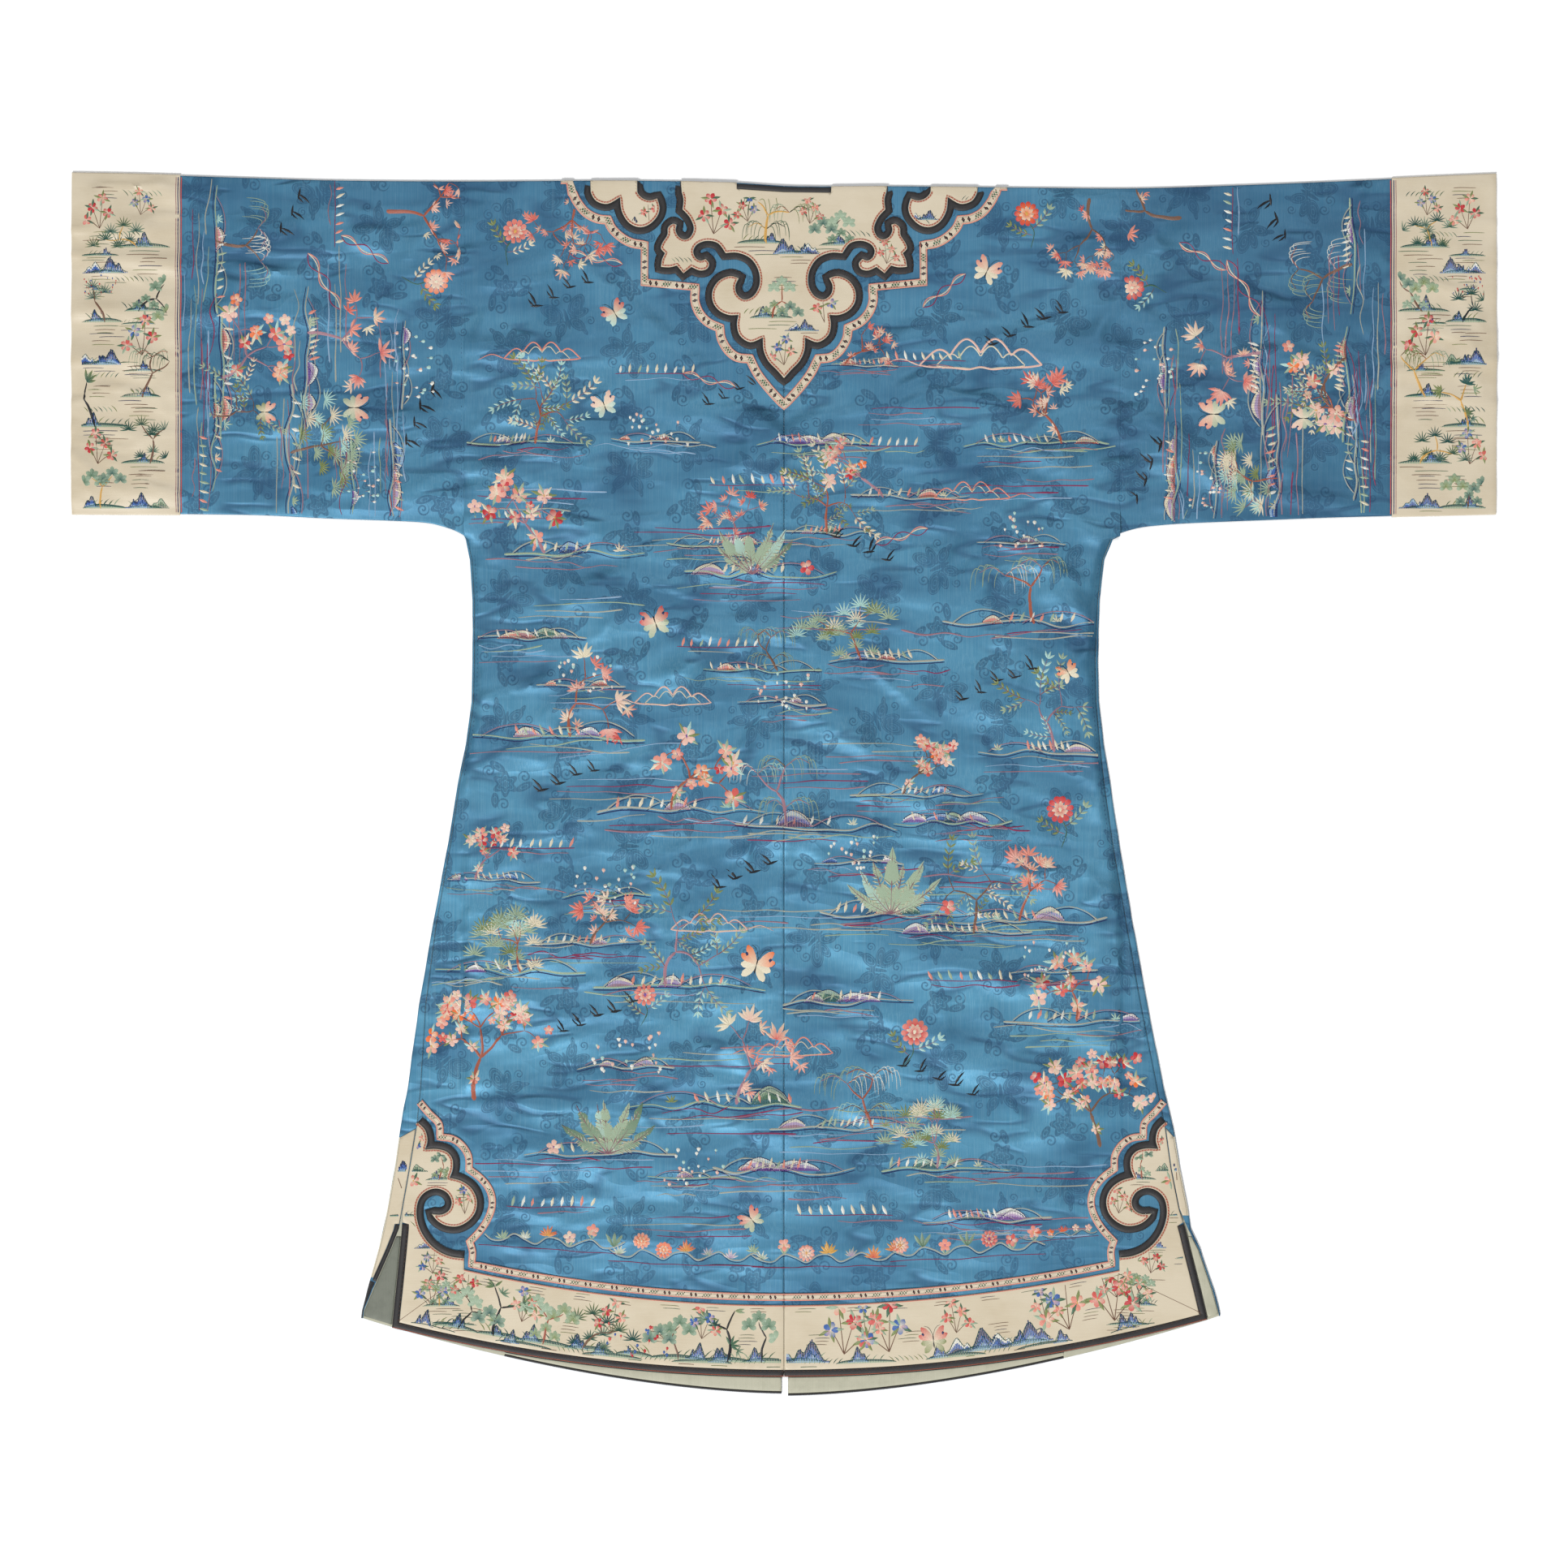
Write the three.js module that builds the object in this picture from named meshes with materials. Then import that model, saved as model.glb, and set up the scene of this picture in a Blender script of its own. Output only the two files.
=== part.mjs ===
// A woman's front-opening surcoat of figured blue silk, laid flat with its back up. Millimetres, +Z up,
// origin under the middle of the garment, +Y towards the shoulders, +X towards the wearer's right sleeve.
// The fronts lie face down on the surface, the backs lie on them, and the ivory trim lies on the backs.
import * as THREE from "three";
import { mergeVertices } from "three/addons/utils/BufferGeometryUtils.js";

// ---------------------------------------------------------------- driving sizes
const WALL = 1.0; // silk with its lining
const SEAM = 0.3; // gap between two pieces at a seam, and under a piece that lies on another
const LAYERS_APART = 0.4; // air between the fronts and the backs where the cloth lies flattest
const FOLD_INSIDE = LAYERS_APART / 2; // inner radius where the cloth folds back on itself
const FOLD_OUTSIDE = FOLD_INSIDE + WALL;
const FRONT_MID = WALL / 2;
const BACK_MID = FRONT_MID + WALL + LAYERS_APART;
const ON_BACK = BACK_MID + WALL / 2 + SEAM; // lowest height of what lies on the backs
const MIDDLE = (FRONT_MID + BACK_MID) / 2; // height of the fold lines
const ON_FRONT = WALL + SEAM; // lowest height of what lies on the fronts' inner face

const TRIM_THICK = 1.0;
const BINDING_THICK = 1.3; // a folded bias strip stands a little prouder than the satin beside it
const BINDING_WIDE = 6.2;
const VENT_LAP_BINDING = 3.8;
const FRONT_HEM_BINDING = 2.0;
const COLLAR_RIBBON_WIDE = 8.7;
const HEM_RIBBON_WIDE = 6.9;
const NECK_BINDING_WIDE = 4.6;
const NECK_HALF = 44;
const FRONT_NECK_HALF = 60;
const FRONT_NECK_DEEP = 78;

const VENT_TOP = -412;
const VENT_SKEW = 1; // the vent runs aslant, so its binding's square end rises a little
const VENT_CLEAR = 12; // below the top of the vent, where the lining starts to show
const HEM_LINING_END = 262; // distance out where the back's hem comes down to the front's
const BAND_PROUD = 1.0; // the sleeve band stands out past the sleeve's two folds

// Each side's own sizes, as distances out from the centre back, and heights.
const LEFT = {
  name: "left", side: -1, sleeveSeam: 299.4, bandSeam: 565.4, sleeveEnd: 667,
  ruyiTip: { out: 342.8, y: -316.9 }, frontEdge: 2.3, frontHem: -571, lapTrimLow: -462, flap: true,
  backCornerY: -509, frontCornerY: -500.2, borderAt: 302, ribbonAt: 292.6,
};
const RIGHT = {
  name: "right", side: 1, sleeveSeam: 314.6, bandSeam: 569.2, sleeveEnd: 667,
  ruyiTip: { out: 357.2, y: -316.4 }, frontEdge: 3.8, frontHem: -573, lapTrimLow: -404, flap: false,
  backCornerY: -501.3, frontCornerY: -498.2, borderAt: 320, ribbonAt: 307,
};

// The body's two sides. left, right: outermost edge of the garment, out from the centre back.
// seamLeft, seamRight: how far in from there the back's edge lies, the side seam above the vents.
// lapLeft, lapRight: how far in the front's cloth comes, round the fold and over the top.
const SIDES = [
  { y: 229, left: 298.0, right: 308.0, seamLeft: 1.8, seamRight: 1.8, lapLeft: 1.5, lapRight: 1.5 },
  { y: 210, left: 294.1, right: 300.2, seamLeft: 1.8, seamRight: 1.8, lapLeft: 1.5, lapRight: 1.5 },
  { y: 172, left: 291.8, right: 295.6, seamLeft: 1.8, seamRight: 1.8, lapLeft: 1.5, lapRight: 1.5 },
  { y: 115, left: 291.8, right: 294.1, seamLeft: 1.8, seamRight: 2.6, lapLeft: 1.5, lapRight: 2.3 },
  { y: 77, left: 292.6, right: 294.9, seamLeft: 1.8, seamRight: 2.6, lapLeft: 1.5, lapRight: 2.3 },
  { y: 39, left: 297.9, right: 299.4, seamLeft: 1.8, seamRight: 3.8, lapLeft: 1.5, lapRight: 3.5 },
  { y: 1, left: 305.5, right: 305.5, seamLeft: 1.8, seamRight: 5.8, lapLeft: 1.5, lapRight: 5.5 },
  { y: -56, left: 314.6, right: 313.9, seamLeft: 2.3, seamRight: 6.0, lapLeft: 2.0, lapRight: 5.7 },
  { y: -132, left: 329.1, right: 326.8, seamLeft: 3.3, seamRight: 6.0, lapLeft: 3.0, lapRight: 5.7 },
  { y: -208, left: 342.0, right: 340.5, seamLeft: 6.3, seamRight: 6.0, lapLeft: 6.0, lapRight: 5.7 },
  { y: -284, left: 352.6, right: 355.7, seamLeft: 12.3, seamRight: 6.2, lapLeft: 12.0, lapRight: 5.9 },
  { y: -322, left: 359.5, right: 364.8, seamLeft: 15.3, seamRight: 7.8, lapLeft: 15.0, lapRight: 7.5 },
  { y: -360, left: 364.8, right: 370.9, seamLeft: 14.3, seamRight: 8.6, lapLeft: 14.0, lapRight: 8.3 },
  { y: -398, left: 371.6, right: 378.5, seamLeft: 14.3, seamRight: 8.6, lapLeft: 14.0, lapRight: 8.3 },
  { y: -417, left: 375.4, right: 381.2, seamLeft: 17.6, seamRight: 5.2, lapLeft: 14.4, lapRight: 2.6 },
  { y: -436, left: 380.0, right: 389.9, seamLeft: 20.4, seamRight: 9.4, lapLeft: 11.4, lapRight: 1.5 },
  { y: -474, left: 390.6, right: 402.8, seamLeft: 27.2, seamRight: 12.7, lapLeft: 5.2, lapRight: 1.5 },
  { y: -493, left: 395.2, right: 408.1, seamLeft: 29.7, seamRight: 13.5, lapLeft: 1.8, lapRight: 1.5 },
  { y: -510, left: 397.0, right: 411.0, seamLeft: 29.9, seamRight: 12.5, lapLeft: 1.5, lapRight: 1.5 },
];

// The fold along the shoulders and the tops of the sleeves, by x.
const SHOULDER = [
  { x: -667, y: 572 }, { x: -600, y: 570.8 }, { x: -500, y: 567.7 }, { x: -420, y: 565.4 },
  { x: -300, y: 564.5 }, { x: -150, y: 565.2 }, { x: -50, y: 563.5 }, { x: 10, y: 560 },
  { x: 100, y: 560 }, { x: 240, y: 558.5 }, { x: 330, y: 558 }, { x: 430, y: 561 },
  { x: 530, y: 565 }, { x: 600, y: 568.2 }, { x: 667, y: 571 },
];

// The fold along the undersides of the sleeves, by distance out from each sleeve's seam.
const UNDERARM = [
  { out: 0, left: 232.6, right: 234.8 }, { out: 8, left: 237.0, right: 237.4 },
  { out: 20, left: 241.2, right: 240.3 }, { out: 34, left: 244.4, right: 242.0 },
  { out: 60, left: 246.2, right: 244.0 }, { out: 130, left: 248.8, right: 246.9 },
  { out: 200, left: 252.0, right: 249.6 }, { out: 368, left: 253.4, right: 253.8 },
];

// The largest folds of the backs and of the sleeves' upper layer: long low swells.
// along and across are half-lengths, turn is in degrees from +X, rise is the height.
const SWELLS = [
  { x: -232, y: 407, along: 92, across: 18, turn: -2, rise: 4.2 },
  { x: -150, y: 436, along: 70, across: 15, turn: -8, rise: 2.4 },
  { x: 225, y: 412, along: 95, across: 20, turn: -4, rise: 4.4 },
  { x: 150, y: 352, along: 70, across: 15, turn: -3, rise: 3.0 },
  { x: -62, y: 345, along: 66, across: 15, turn: -6, rise: 3.2 },
  { x: 34, y: 300, along: 80, across: 18, turn: 6, rise: 2.4 },
  { x: -214, y: 300, along: 80, across: 20, turn: 4, rise: 2.2 },
  { x: 250, y: 305, along: 60, across: 18, turn: -24, rise: 2.6 },
  { x: 262, y: 190, along: 58, across: 17, turn: -50, rise: 3.2 },
  { x: 60, y: 196, along: 90, across: 17, turn: -8, rise: 2.6 },
  { x: -190, y: 176, along: 80, across: 18, turn: 5, rise: 2.4 },
  { x: 70, y: 38, along: 72, across: 15, turn: -36, rise: 3.8 },
  { x: -96, y: 96, along: 60, across: 20, turn: 62, rise: 2.6 },
  { x: 190, y: 74, along: 70, across: 18, turn: -18, rise: 2.6 },
  { x: -172, y: -24, along: 84, across: 15, turn: 21, rise: 3.2 },
  { x: 26, y: -46, along: 110, across: 15, turn: 2, rise: 2.8 },
  { x: 214, y: -70, along: 70, across: 17, turn: -30, rise: 2.4 },
  { x: -190, y: -150, along: 90, across: 20, turn: 12, rise: 2.8 },
  { x: 120, y: -160, along: 90, across: 20, turn: -10, rise: 2.2 },
  { x: -96, y: -262, along: 100, across: 18, turn: 16, rise: 3.2 },
  { x: 196, y: -262, along: 84, across: 17, turn: -20, rise: 3.0 },
  { x: -170, y: -352, along: 96, across: 17, turn: -6, rise: 3.2 },
  { x: 40, y: -372, along: 90, across: 17, turn: 4, rise: 2.6 },
  { x: 176, y: -392, along: 80, across: 17, turn: 12, rise: 2.8 },
  { x: -430, y: 442, along: 84, across: 20, turn: 3, rise: 3.6 },
  { x: -400, y: 340, along: 90, across: 20, turn: -3, rise: 3.0 },
  { x: -505, y: 385, along: 60, across: 18, turn: 6, rise: 2.4 },
  { x: -420, y: 512, along: 90, across: 17, turn: 0, rise: 2.6 },
  { x: 430, y: 446, along: 84, across: 20, turn: -6, rise: 3.2 },
  { x: 462, y: 352, along: 90, across: 20, turn: -10, rise: 3.0 },
  { x: 390, y: 300, along: 60, across: 17, turn: -22, rise: 2.8 },
  { x: 500, y: 505, along: 80, across: 18, turn: 4, rise: 2.6 },
  { x: -612, y: 420, along: 34, across: 28, turn: 84, rise: 1.4 },
  { x: 616, y: 410, along: 34, across: 28, turn: 94, rise: 1.4 },
];

// Half of the cloud collar on the back: out from the centre back, y, and a mark at each sharp point.
const YOKE_EDGE = [
  { out: 97.3, y: 558 }, { out: 94.2, y: 548 }, { out: 95, y: 538, sharp: true },
  { out: 88.2, y: 530.5 }, { out: 84.4, y: 520.6 }, { out: 87.2, y: 512.8 }, { out: 92.7, y: 510 },
  { out: 98.4, y: 512.4 }, { out: 101.4, y: 518.3 }, { out: 100.4, y: 523.6, sharp: true },
  { out: 104.2, y: 524.6 }, { out: 108.6, y: 520.8 }, { out: 109.2, y: 514 }, { out: 113.4, y: 507.4 },
  { out: 115.3, y: 501.6 }, { out: 111.4, y: 497, sharp: true }, { out: 114.2, y: 491 },
  { out: 115.2, y: 484.1, sharp: true }, { out: 107, y: 483.7 }, { out: 100.3, y: 485.4, sharp: true },
  { out: 94.2, y: 478.2, sharp: true }, { out: 86.6, y: 484.1, sharp: true }, { out: 79, y: 480.8 },
  { out: 72.2, y: 482.2 }, { out: 70, y: 487.4 }, { out: 73.4, y: 491.8, sharp: true },
  { out: 78.4, y: 490.2 }, { out: 83.2, y: 493.4 }, { out: 84.8, y: 499.6 }, { out: 81, y: 505.6 },
  { out: 72, y: 508.6 }, { out: 61.6, y: 506.2 }, { out: 54.7, y: 497, sharp: true },
  { out: 43.4, y: 497.4 }, { out: 31.4, y: 492.2 }, { out: 24, y: 481.2 }, { out: 22.8, y: 468 },
  { out: 28.2, y: 457.4 }, { out: 37.2, y: 453.8 }, { out: 44, y: 458.8 }, { out: 45.4, y: 466.6 },
  { out: 42.2, y: 473.6, sharp: true }, { out: 50.6, y: 475.8 }, { out: 60.8, y: 471.4 },
  { out: 66.8, y: 462.1 }, { out: 66.6, y: 451.6 }, { out: 60.8, y: 443.4 }, { out: 51.7, y: 439.2 },
  { out: 42.6, y: 439.3, sharp: true }, { out: 44, y: 429.8 }, { out: 41.2, y: 419.8 },
  { out: 31.4, y: 413.6 }, { out: 19.8, y: 418, sharp: true }, { out: 19.2, y: 406.4 },
  { out: 14.6, y: 396 }, { out: 6.6, y: 387.6 }, { out: 0, y: 380, sharp: true },
];
const LOBE_EDGE = [
  { out: 181.6, y: 559 }, { out: 180.4, y: 552.6 }, { out: 175.4, y: 545.6 }, { out: 164.9, y: 543.2 },
  { out: 153.5, y: 549.5, sharp: true }, { out: 152, y: 536.6 }, { out: 145.7, y: 526 },
  { out: 136.4, y: 521.4 }, { out: 127, y: 523.4 }, { out: 119.2, y: 530.8 }, { out: 116.4, y: 539.2 },
  { out: 118.6, y: 548.4, sharp: true }, { out: 125.4, y: 546.6 }, { out: 132, y: 548.4 },
  { out: 136.8, y: 553.3 }, { out: 137.4, y: 559 },
];
const COLLAR_RIBBON = [
  { out: 209, y: 559 }, { out: 198.4, y: 553.4 }, { out: 194.6, y: 546.4 }, { out: 186, y: 535.4 },
  { out: 175, y: 529.4 }, { out: 164.9, y: 528.2, sharp: true }, { out: 161, y: 520 },
  { out: 152, y: 511.5 }, { out: 142, y: 506.4 }, { out: 130.4, y: 504.6, sharp: true },
  { out: 130.7, y: 469.7, sharp: true }, { out: 82.8, y: 465.1, sharp: true }, { out: 83.4, y: 452.2 },
  { out: 79, y: 440.6 }, { out: 70.7, y: 432 }, { out: 60, y: 427.1, sharp: true },
  { out: 58.6, y: 416.8 }, { out: 52, y: 405.6 }, { out: 43.3, y: 399.4 },
  { out: 31.9, y: 398.2, sharp: true }, { out: 25, y: 384.4 }, { out: 13.6, y: 369.6 },
  { out: 0, y: 354.9, sharp: true },
];

// The cloud head at each side vent, and the ribbon round it, as distances in and down from its tip.
const RUYI_EDGE = [
  { in: 0, down: 0, sharp: true }, { in: 6.8, down: 6.8 }, { in: 9.1, down: 16.7 },
  { in: 6.8, down: 25.1, sharp: true }, { in: 17.5, down: 24.6 }, { in: 27, down: 27.2 },
  { in: 32.4, down: 34 }, { in: 32.6, down: 43.6 }, { in: 29.6, down: 51.7, sharp: true },
  { in: 40.6, down: 54.5 }, { in: 50.4, down: 61.6 }, { in: 55.3, down: 72.4 }, { in: 53.8, down: 83.8 },
  { in: 47, down: 92.4 }, { in: 37, down: 97.2 }, { in: 26.4, down: 96.4 }, { in: 18.4, down: 92 },
  { in: 13, down: 85.6, sharp: true }, { in: 22.4, down: 86 }, { in: 29.6, down: 81.6 },
  { in: 31.6, down: 73.6 }, { in: 27.2, down: 65.6 }, { in: 18.4, down: 61.8 }, { in: 9.4, down: 63.6 },
  { in: 2.4, down: 69.6 }, { in: -0.8, down: 78 }, { in: -0.9, down: 89.4 }, { in: 2.8, down: 101.4 },
  { in: 10, down: 112.4 }, { in: 19.8, down: 120.6 }, { in: 31.2, down: 125.4 },
  { in: 43.3, down: 126.9, sharp: true },
];
const RUYI_RIBBON = [
  { in: 1.6, down: -19 }, { in: 10.4, down: -8.6 }, { in: 19.8, down: 1.4 },
  { in: 20.6, down: 13.7, sharp: true }, { in: 32, down: 15.2 }, { in: 41.2, down: 21.4 },
  { in: 47.4, down: 31.6 }, { in: 47.9, down: 43.8, sharp: true }, { in: 59.3, down: 52.6 },
  { in: 67.2, down: 63.2 }, { in: 69.8, down: 75.6 }, { in: 66.4, down: 88.4 }, { in: 58.6, down: 101 },
  { in: 48.5, down: 111.7, sharp: true }, { in: 51.2, down: 121 }, { in: 50.2, down: 132.9, sharp: true },
];

const BACK_HEM = { centre: -555, rise: 47, at: 371, power: 2 };
const borderTop = (s) => ({ centre: -488, rise: 34, at: s.borderAt, power: 2 });
const ribbonLine = (s) => ({ centre: -480.5, rise: 30.9, at: s.ribbonAt, power: 2 });
const frontHem = (s) => ({ centre: s.frontHem, rise: 72, at: 400, power: 1.7 });

// Where the swells fade out: under the cloud collar, under the hem trim, and along the edges.
const COLLAR_FLAT = { y: 343, slope: 0.9 };
const HEM_FLAT = { low: -466, high: -282, from: 222, to: 260 };
const FADE = 26;
const SLEEVE_FLAT_BELOW = 244;

// Grid steps.
const BACK_ACROSS = 9;
const BACK_STEP = 19;
const FRONT_ACROSS = 3;
const FRONT_STEP = 64;
const NECK_STEP = 10;
const SHORTEST_ROW = 6;
const SQUARE_SHARE = WALL * 0.45;
const FOLD_STEPS = 3;
const SLEEVE_ALONG = 9;
const SLEEVE_ACROSS = 18;
const BAND_ALONG = 4;
const HEM_STEPS = 12;
const LOOP_MOST = 6; // the most segments in a loop that an offset path drops
const MITRE_MOST = 1.12; // how far past its width a strip's corner may reach
const SPLINE_STEPS = 1; // between two points of a table; the rows are close where the outline turns

// ---------------------------------------------------------------- colours
const COLOURS = {
  silk: { color: 0x3f80aa, roughness: 0.42 },
  satin: { color: 0xdccfb4, roughness: 0.45 },
  binding: { color: 0x2a2422, roughness: 0.6 },
  ribbon: { color: 0xb98a80, roughness: 0.6 },
  lining: { color: 0xb4b39c, roughness: 0.5 },
};

// ---------------------------------------------------------------- reading the tables
const mix = (a, b, t) => a + (b - a) * t;
const ease = (t) => {
  const c = Math.min(Math.max(t, 0), 1);
  return c * c * (3 - 2 * c);
};

// Smooth reading of one column of a table that is sorted, up or down, by its key column.
function read(table, key, column, at) {
  const last = table.length - 1;
  const rising = table[last][key] > table[0][key];
  const place = (i) => (rising ? table[i][key] : -table[i][key]);
  const want = Math.min(Math.max(rising ? at : -at, place(0)), place(last));
  let i = 0;
  while (i < last - 1 && place(i + 1) < want) i += 1;
  const slope = (k) => {
    const a = Math.max(k - 1, 0);
    const b = Math.min(k + 1, last);
    return (table[b][column] - table[a][column]) / (place(b) - place(a));
  };
  const step = place(i + 1) - place(i);
  const t = (want - place(i)) / step;
  const [a, b] = [table[i][column], table[i + 1][column]];
  const bend = t * (1 - t) * step * ((1 - t) * slope(i) - t * slope(i + 1));
  return mix(a, b, t * t * (3 - 2 * t)) + bend;
}

const sag = (line, x) => line.centre + line.rise * (Math.abs(x) / line.at) ** line.power;
const shoulderAt = (x) => read(SHOULDER, "x", "y", x);
const underarmAt = (s, out) => read(UNDERARM, "out", s.name, out - s.sleeveSeam);
const column = (s, name) => (s.side < 0 ? `${name}Left` : `${name}Right`);
// The sides are read straight between rows, and every panel has its rows there, so the seams stay even.
const sideAt = (name, y) => {
  const below = SIDES.findIndex((row, k) => k > 0 && row.y <= y);
  const k = below < 0 ? SIDES.length - 1 : below;
  const share = (SIDES[k - 1].y - y) / (SIDES[k - 1].y - SIDES[k].y);
  return mix(SIDES[k - 1][name], SIDES[k][name], Math.min(Math.max(share, 0), 1));
};
const outerEdge = (s, y) => sideAt(s.name, y);
const backEdge = (s, y) => outerEdge(s, y) - sideAt(column(s, "seam"), y);
const lapEdge = (s, y) => outerEdge(s, y) - sideAt(column(s, "lap"), y);
const armpit = SIDES[0].y + 2;

// Height of the swells over the flat cloth at one place.
function swellAt(x, y) {
  const collar = ease((COLLAR_FLAT.y + COLLAR_FLAT.slope * Math.abs(x) - y) / FADE);
  const towardsVent = ease((Math.abs(x) - HEM_FLAT.from) / (HEM_FLAT.to - HEM_FLAT.from));
  const hem = ease((y - mix(HEM_FLAT.low, HEM_FLAT.high, towardsVent)) / FADE);
  const isBody = Math.abs(x) < LEFT.sleeveSeam;
  const under = isBody ? 1 : ease((y - SLEEVE_FLAT_BELOW) / FADE);
  const rise = SWELLS.reduce((sum, w) => {
    const turn = THREE.MathUtils.degToRad(w.turn);
    const along = ((x - w.x) * Math.cos(turn) + (y - w.y) * Math.sin(turn)) / w.along;
    const across = ((y - w.y) * Math.cos(turn) - (x - w.x) * Math.sin(turn)) / w.across;
    return sum + w.rise * Math.exp(-along * along - across * across);
  }, 0);
  return rise * (isBody ? Math.min(collar, hem) : under);
}
const edgeFade = (distance) => ease(distance / FADE);

// ---------------------------------------------------------------- making solids
function mesh(name, geometry, finish) {
  const made = new THREE.Mesh(geometry, new THREE.MeshStandardMaterial({ ...COLOURS[finish], metalness: 0 }));
  made.name = name;
  return made;
}

// Closed wall between an outer and an inner grid of points; round joins the last column to the first.
function wall(outer, inner, round = false) {
  const rows = outer.length;
  const columns = outer[0].length;
  const points = [...outer.flat(), ...inner.flat()];
  const o = (i, j) => i * columns + (j % columns);
  const n = (i, j) => rows * columns + o(i, j);
  const faces = [];
  const quad = (a, b, c, d) => faces.push(a, b, c, a, c, d);
  const spans = round ? columns : columns - 1;
  for (let i = 0; i < rows - 1; i += 1)
    for (let j = 0; j < spans; j += 1) {
      quad(o(i, j), o(i, j + 1), o(i + 1, j + 1), o(i + 1, j));
      quad(n(i, j), n(i + 1, j), n(i + 1, j + 1), n(i, j + 1));
    }
  const end = rows - 1;
  for (let j = 0; j < spans; j += 1) {
    quad(o(0, j + 1), o(0, j), n(0, j), n(0, j + 1));
    quad(o(end, j), o(end, j + 1), n(end, j + 1), n(end, j));
  }
  if (!round)
    for (let i = 0; i < rows - 1; i += 1) {
      quad(o(i, 0), o(i + 1, 0), n(i + 1, 0), n(i, 0));
      quad(o(i + 1, columns - 1), o(i, columns - 1), n(i, columns - 1), n(i + 1, columns - 1));
    }
  return facingOut(points, faces);
}

function facingOut(points, faces) {
  let volume = 0;
  for (let k = 0; k < faces.length; k += 3) {
    const [a, b, c] = [points[faces[k]], points[faces[k + 1]], points[faces[k + 2]]];
    volume += a.dot(new THREE.Vector3().crossVectors(b, c));
  }
  const geometry = new THREE.BufferGeometry().setFromPoints(points);
  geometry.setIndex(volume < 0 ? faces.reverse() : faces);
  geometry.computeVertexNormals();
  return geometry;
}

// Flat piece of cloth cut to an outline and laid at a height.
function cut(outline, low, thick) {
  const geometry = new THREE.ExtrudeGeometry(new THREE.Shape(outline), { depth: thick, bevelEnabled: false });
  geometry.translate(0, 0, low);
  geometry.deleteAttribute("normal");
  geometry.deleteAttribute("uv");
  return mergeVertices(geometry, 1e-4);
}

// Points along a table of points: smooth between the sharp ones.
function smoothPath(points) {
  const path = [points[0]];
  let from = 0;
  points.forEach((p, k) => {
    if (k === 0 || !(p.sharp || k === points.length - 1)) return;
    const stretch = points.slice(from, k + 1).map((q) => new THREE.Vector2(q.x, q.y));
    const spline = new THREE.SplineCurve(stretch);
    const steps = stretch.length === 2 ? 1 : (stretch.length - 1) * SPLINE_STEPS;
    for (let i = 1; i <= steps; i += 1) path.push(spline.getPoint(i / steps));
    from = k;
  });
  return path.map((p) => new THREE.Vector2(p.x, p.y));
}

// Where two segments cross, or null.
function crossing(a, b, c, d) {
  const one = new THREE.Vector2().subVectors(b, a);
  const two = new THREE.Vector2().subVectors(d, c);
  const between = new THREE.Vector2().subVectors(c, a);
  const area = one.cross(two);
  if (Math.abs(area) < 1e-9) return null;
  const t = between.cross(two) / area;
  const u = between.cross(one) / area;
  return t > 0 && t < 1 && u > 0 && u < 1 ? a.clone().addScaledVector(one, t) : null;
}

// The path without the small loops that it makes where it is moved into a narrow inward corner.
function withoutLoops(path) {
  const kept = [...path];
  for (let i = 0; i < kept.length - 3; i += 1)
    for (let j = Math.min(i + LOOP_MOST, kept.length - 2); j > i + 1; j -= 1) {
      const at = crossing(kept[i], kept[i + 1], kept[j], kept[j + 1]);
      if (at) {
        kept.splice(i + 1, j - i, at);
        break;
      }
    }
  return kept;
}

// The path moved sideways by a distance, to its left when positive, with mitred corners.
function beside(path, distance) {
  const moved = path.map((p, k) => {
    const before = new THREE.Vector2().subVectors(p, path[Math.max(k - 1, 0)]);
    const after = new THREE.Vector2().subVectors(path[Math.min(k + 1, path.length - 1)], p);
    if (k === 0) before.copy(after);
    if (k === path.length - 1) after.copy(before);
    const a = new THREE.Vector2(-before.y, before.x).normalize();
    const b = new THREE.Vector2(-after.y, after.x).normalize();
    const middle = a.clone().add(b).normalize();
    const reach = Math.min(1 / Math.max(middle.dot(a), 0.2), MITRE_MOST);
    return p.clone().addScaledVector(middle, distance * reach);
  });
  return withoutLoops(moved);
}

// Strip of cloth along a path, between two distances to its left.
const stripAlong = (path, near, far, low, thick) =>
  cut([...beside(path, near), ...beside(path, far).reverse()], low, thick);

// ---------------------------------------------------------------- the body
// Heights of a panel's rows along its side, from the hem's corner to the shoulder: a row at each row of
// the table, one on each side of the armhole's foot, and others between them no more than a step apart.
function rowHeights(s, cornerY, step, stepAbove = step) {
  const table = SIDES.map((row) => row.y).reverse().filter((y) => y > cornerY + SHORTEST_ROW);
  const marks = [cornerY, ...table, armpit + 1, shoulderAt(s.side * s.sleeveSeam) - FOLD_OUTSIDE];
  const heights = [cornerY];
  for (let k = 1; k < marks.length; k += 1) {
    const steps = Math.ceil((marks[k] - marks[k - 1]) / (marks[k - 1] > armpit ? stepAbove : step));
    for (let i = 1; i <= steps; i += 1) heights.push(mix(marks[k - 1], marks[k], i / steps));
  }
  return heights;
}

// The row of a body panel that meets the side at a height, and its points: over is 0 at the centre,
// 1 at the side.
function bodyRow(s, hem, edge, inner, sideY) {
  const onSleeve = sideY > armpit;
  const out = onSleeve ? s.sleeveSeam - SEAM / 2 : edge(s, sideY);
  const top = (x) => shoulderAt(x) - FOLD_OUTSIDE;
  const up = (sideY - sag(hem, out)) / (top(s.side * out) - sag(hem, out));
  const at = (over) => {
    const x = s.side * mix(inner(mix(hem.centre, top(0), up)), out, over);
    return new THREE.Vector2(x, mix(sag(hem, x), top(x), up));
  };
  return { onSleeve, out, at };
}

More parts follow.
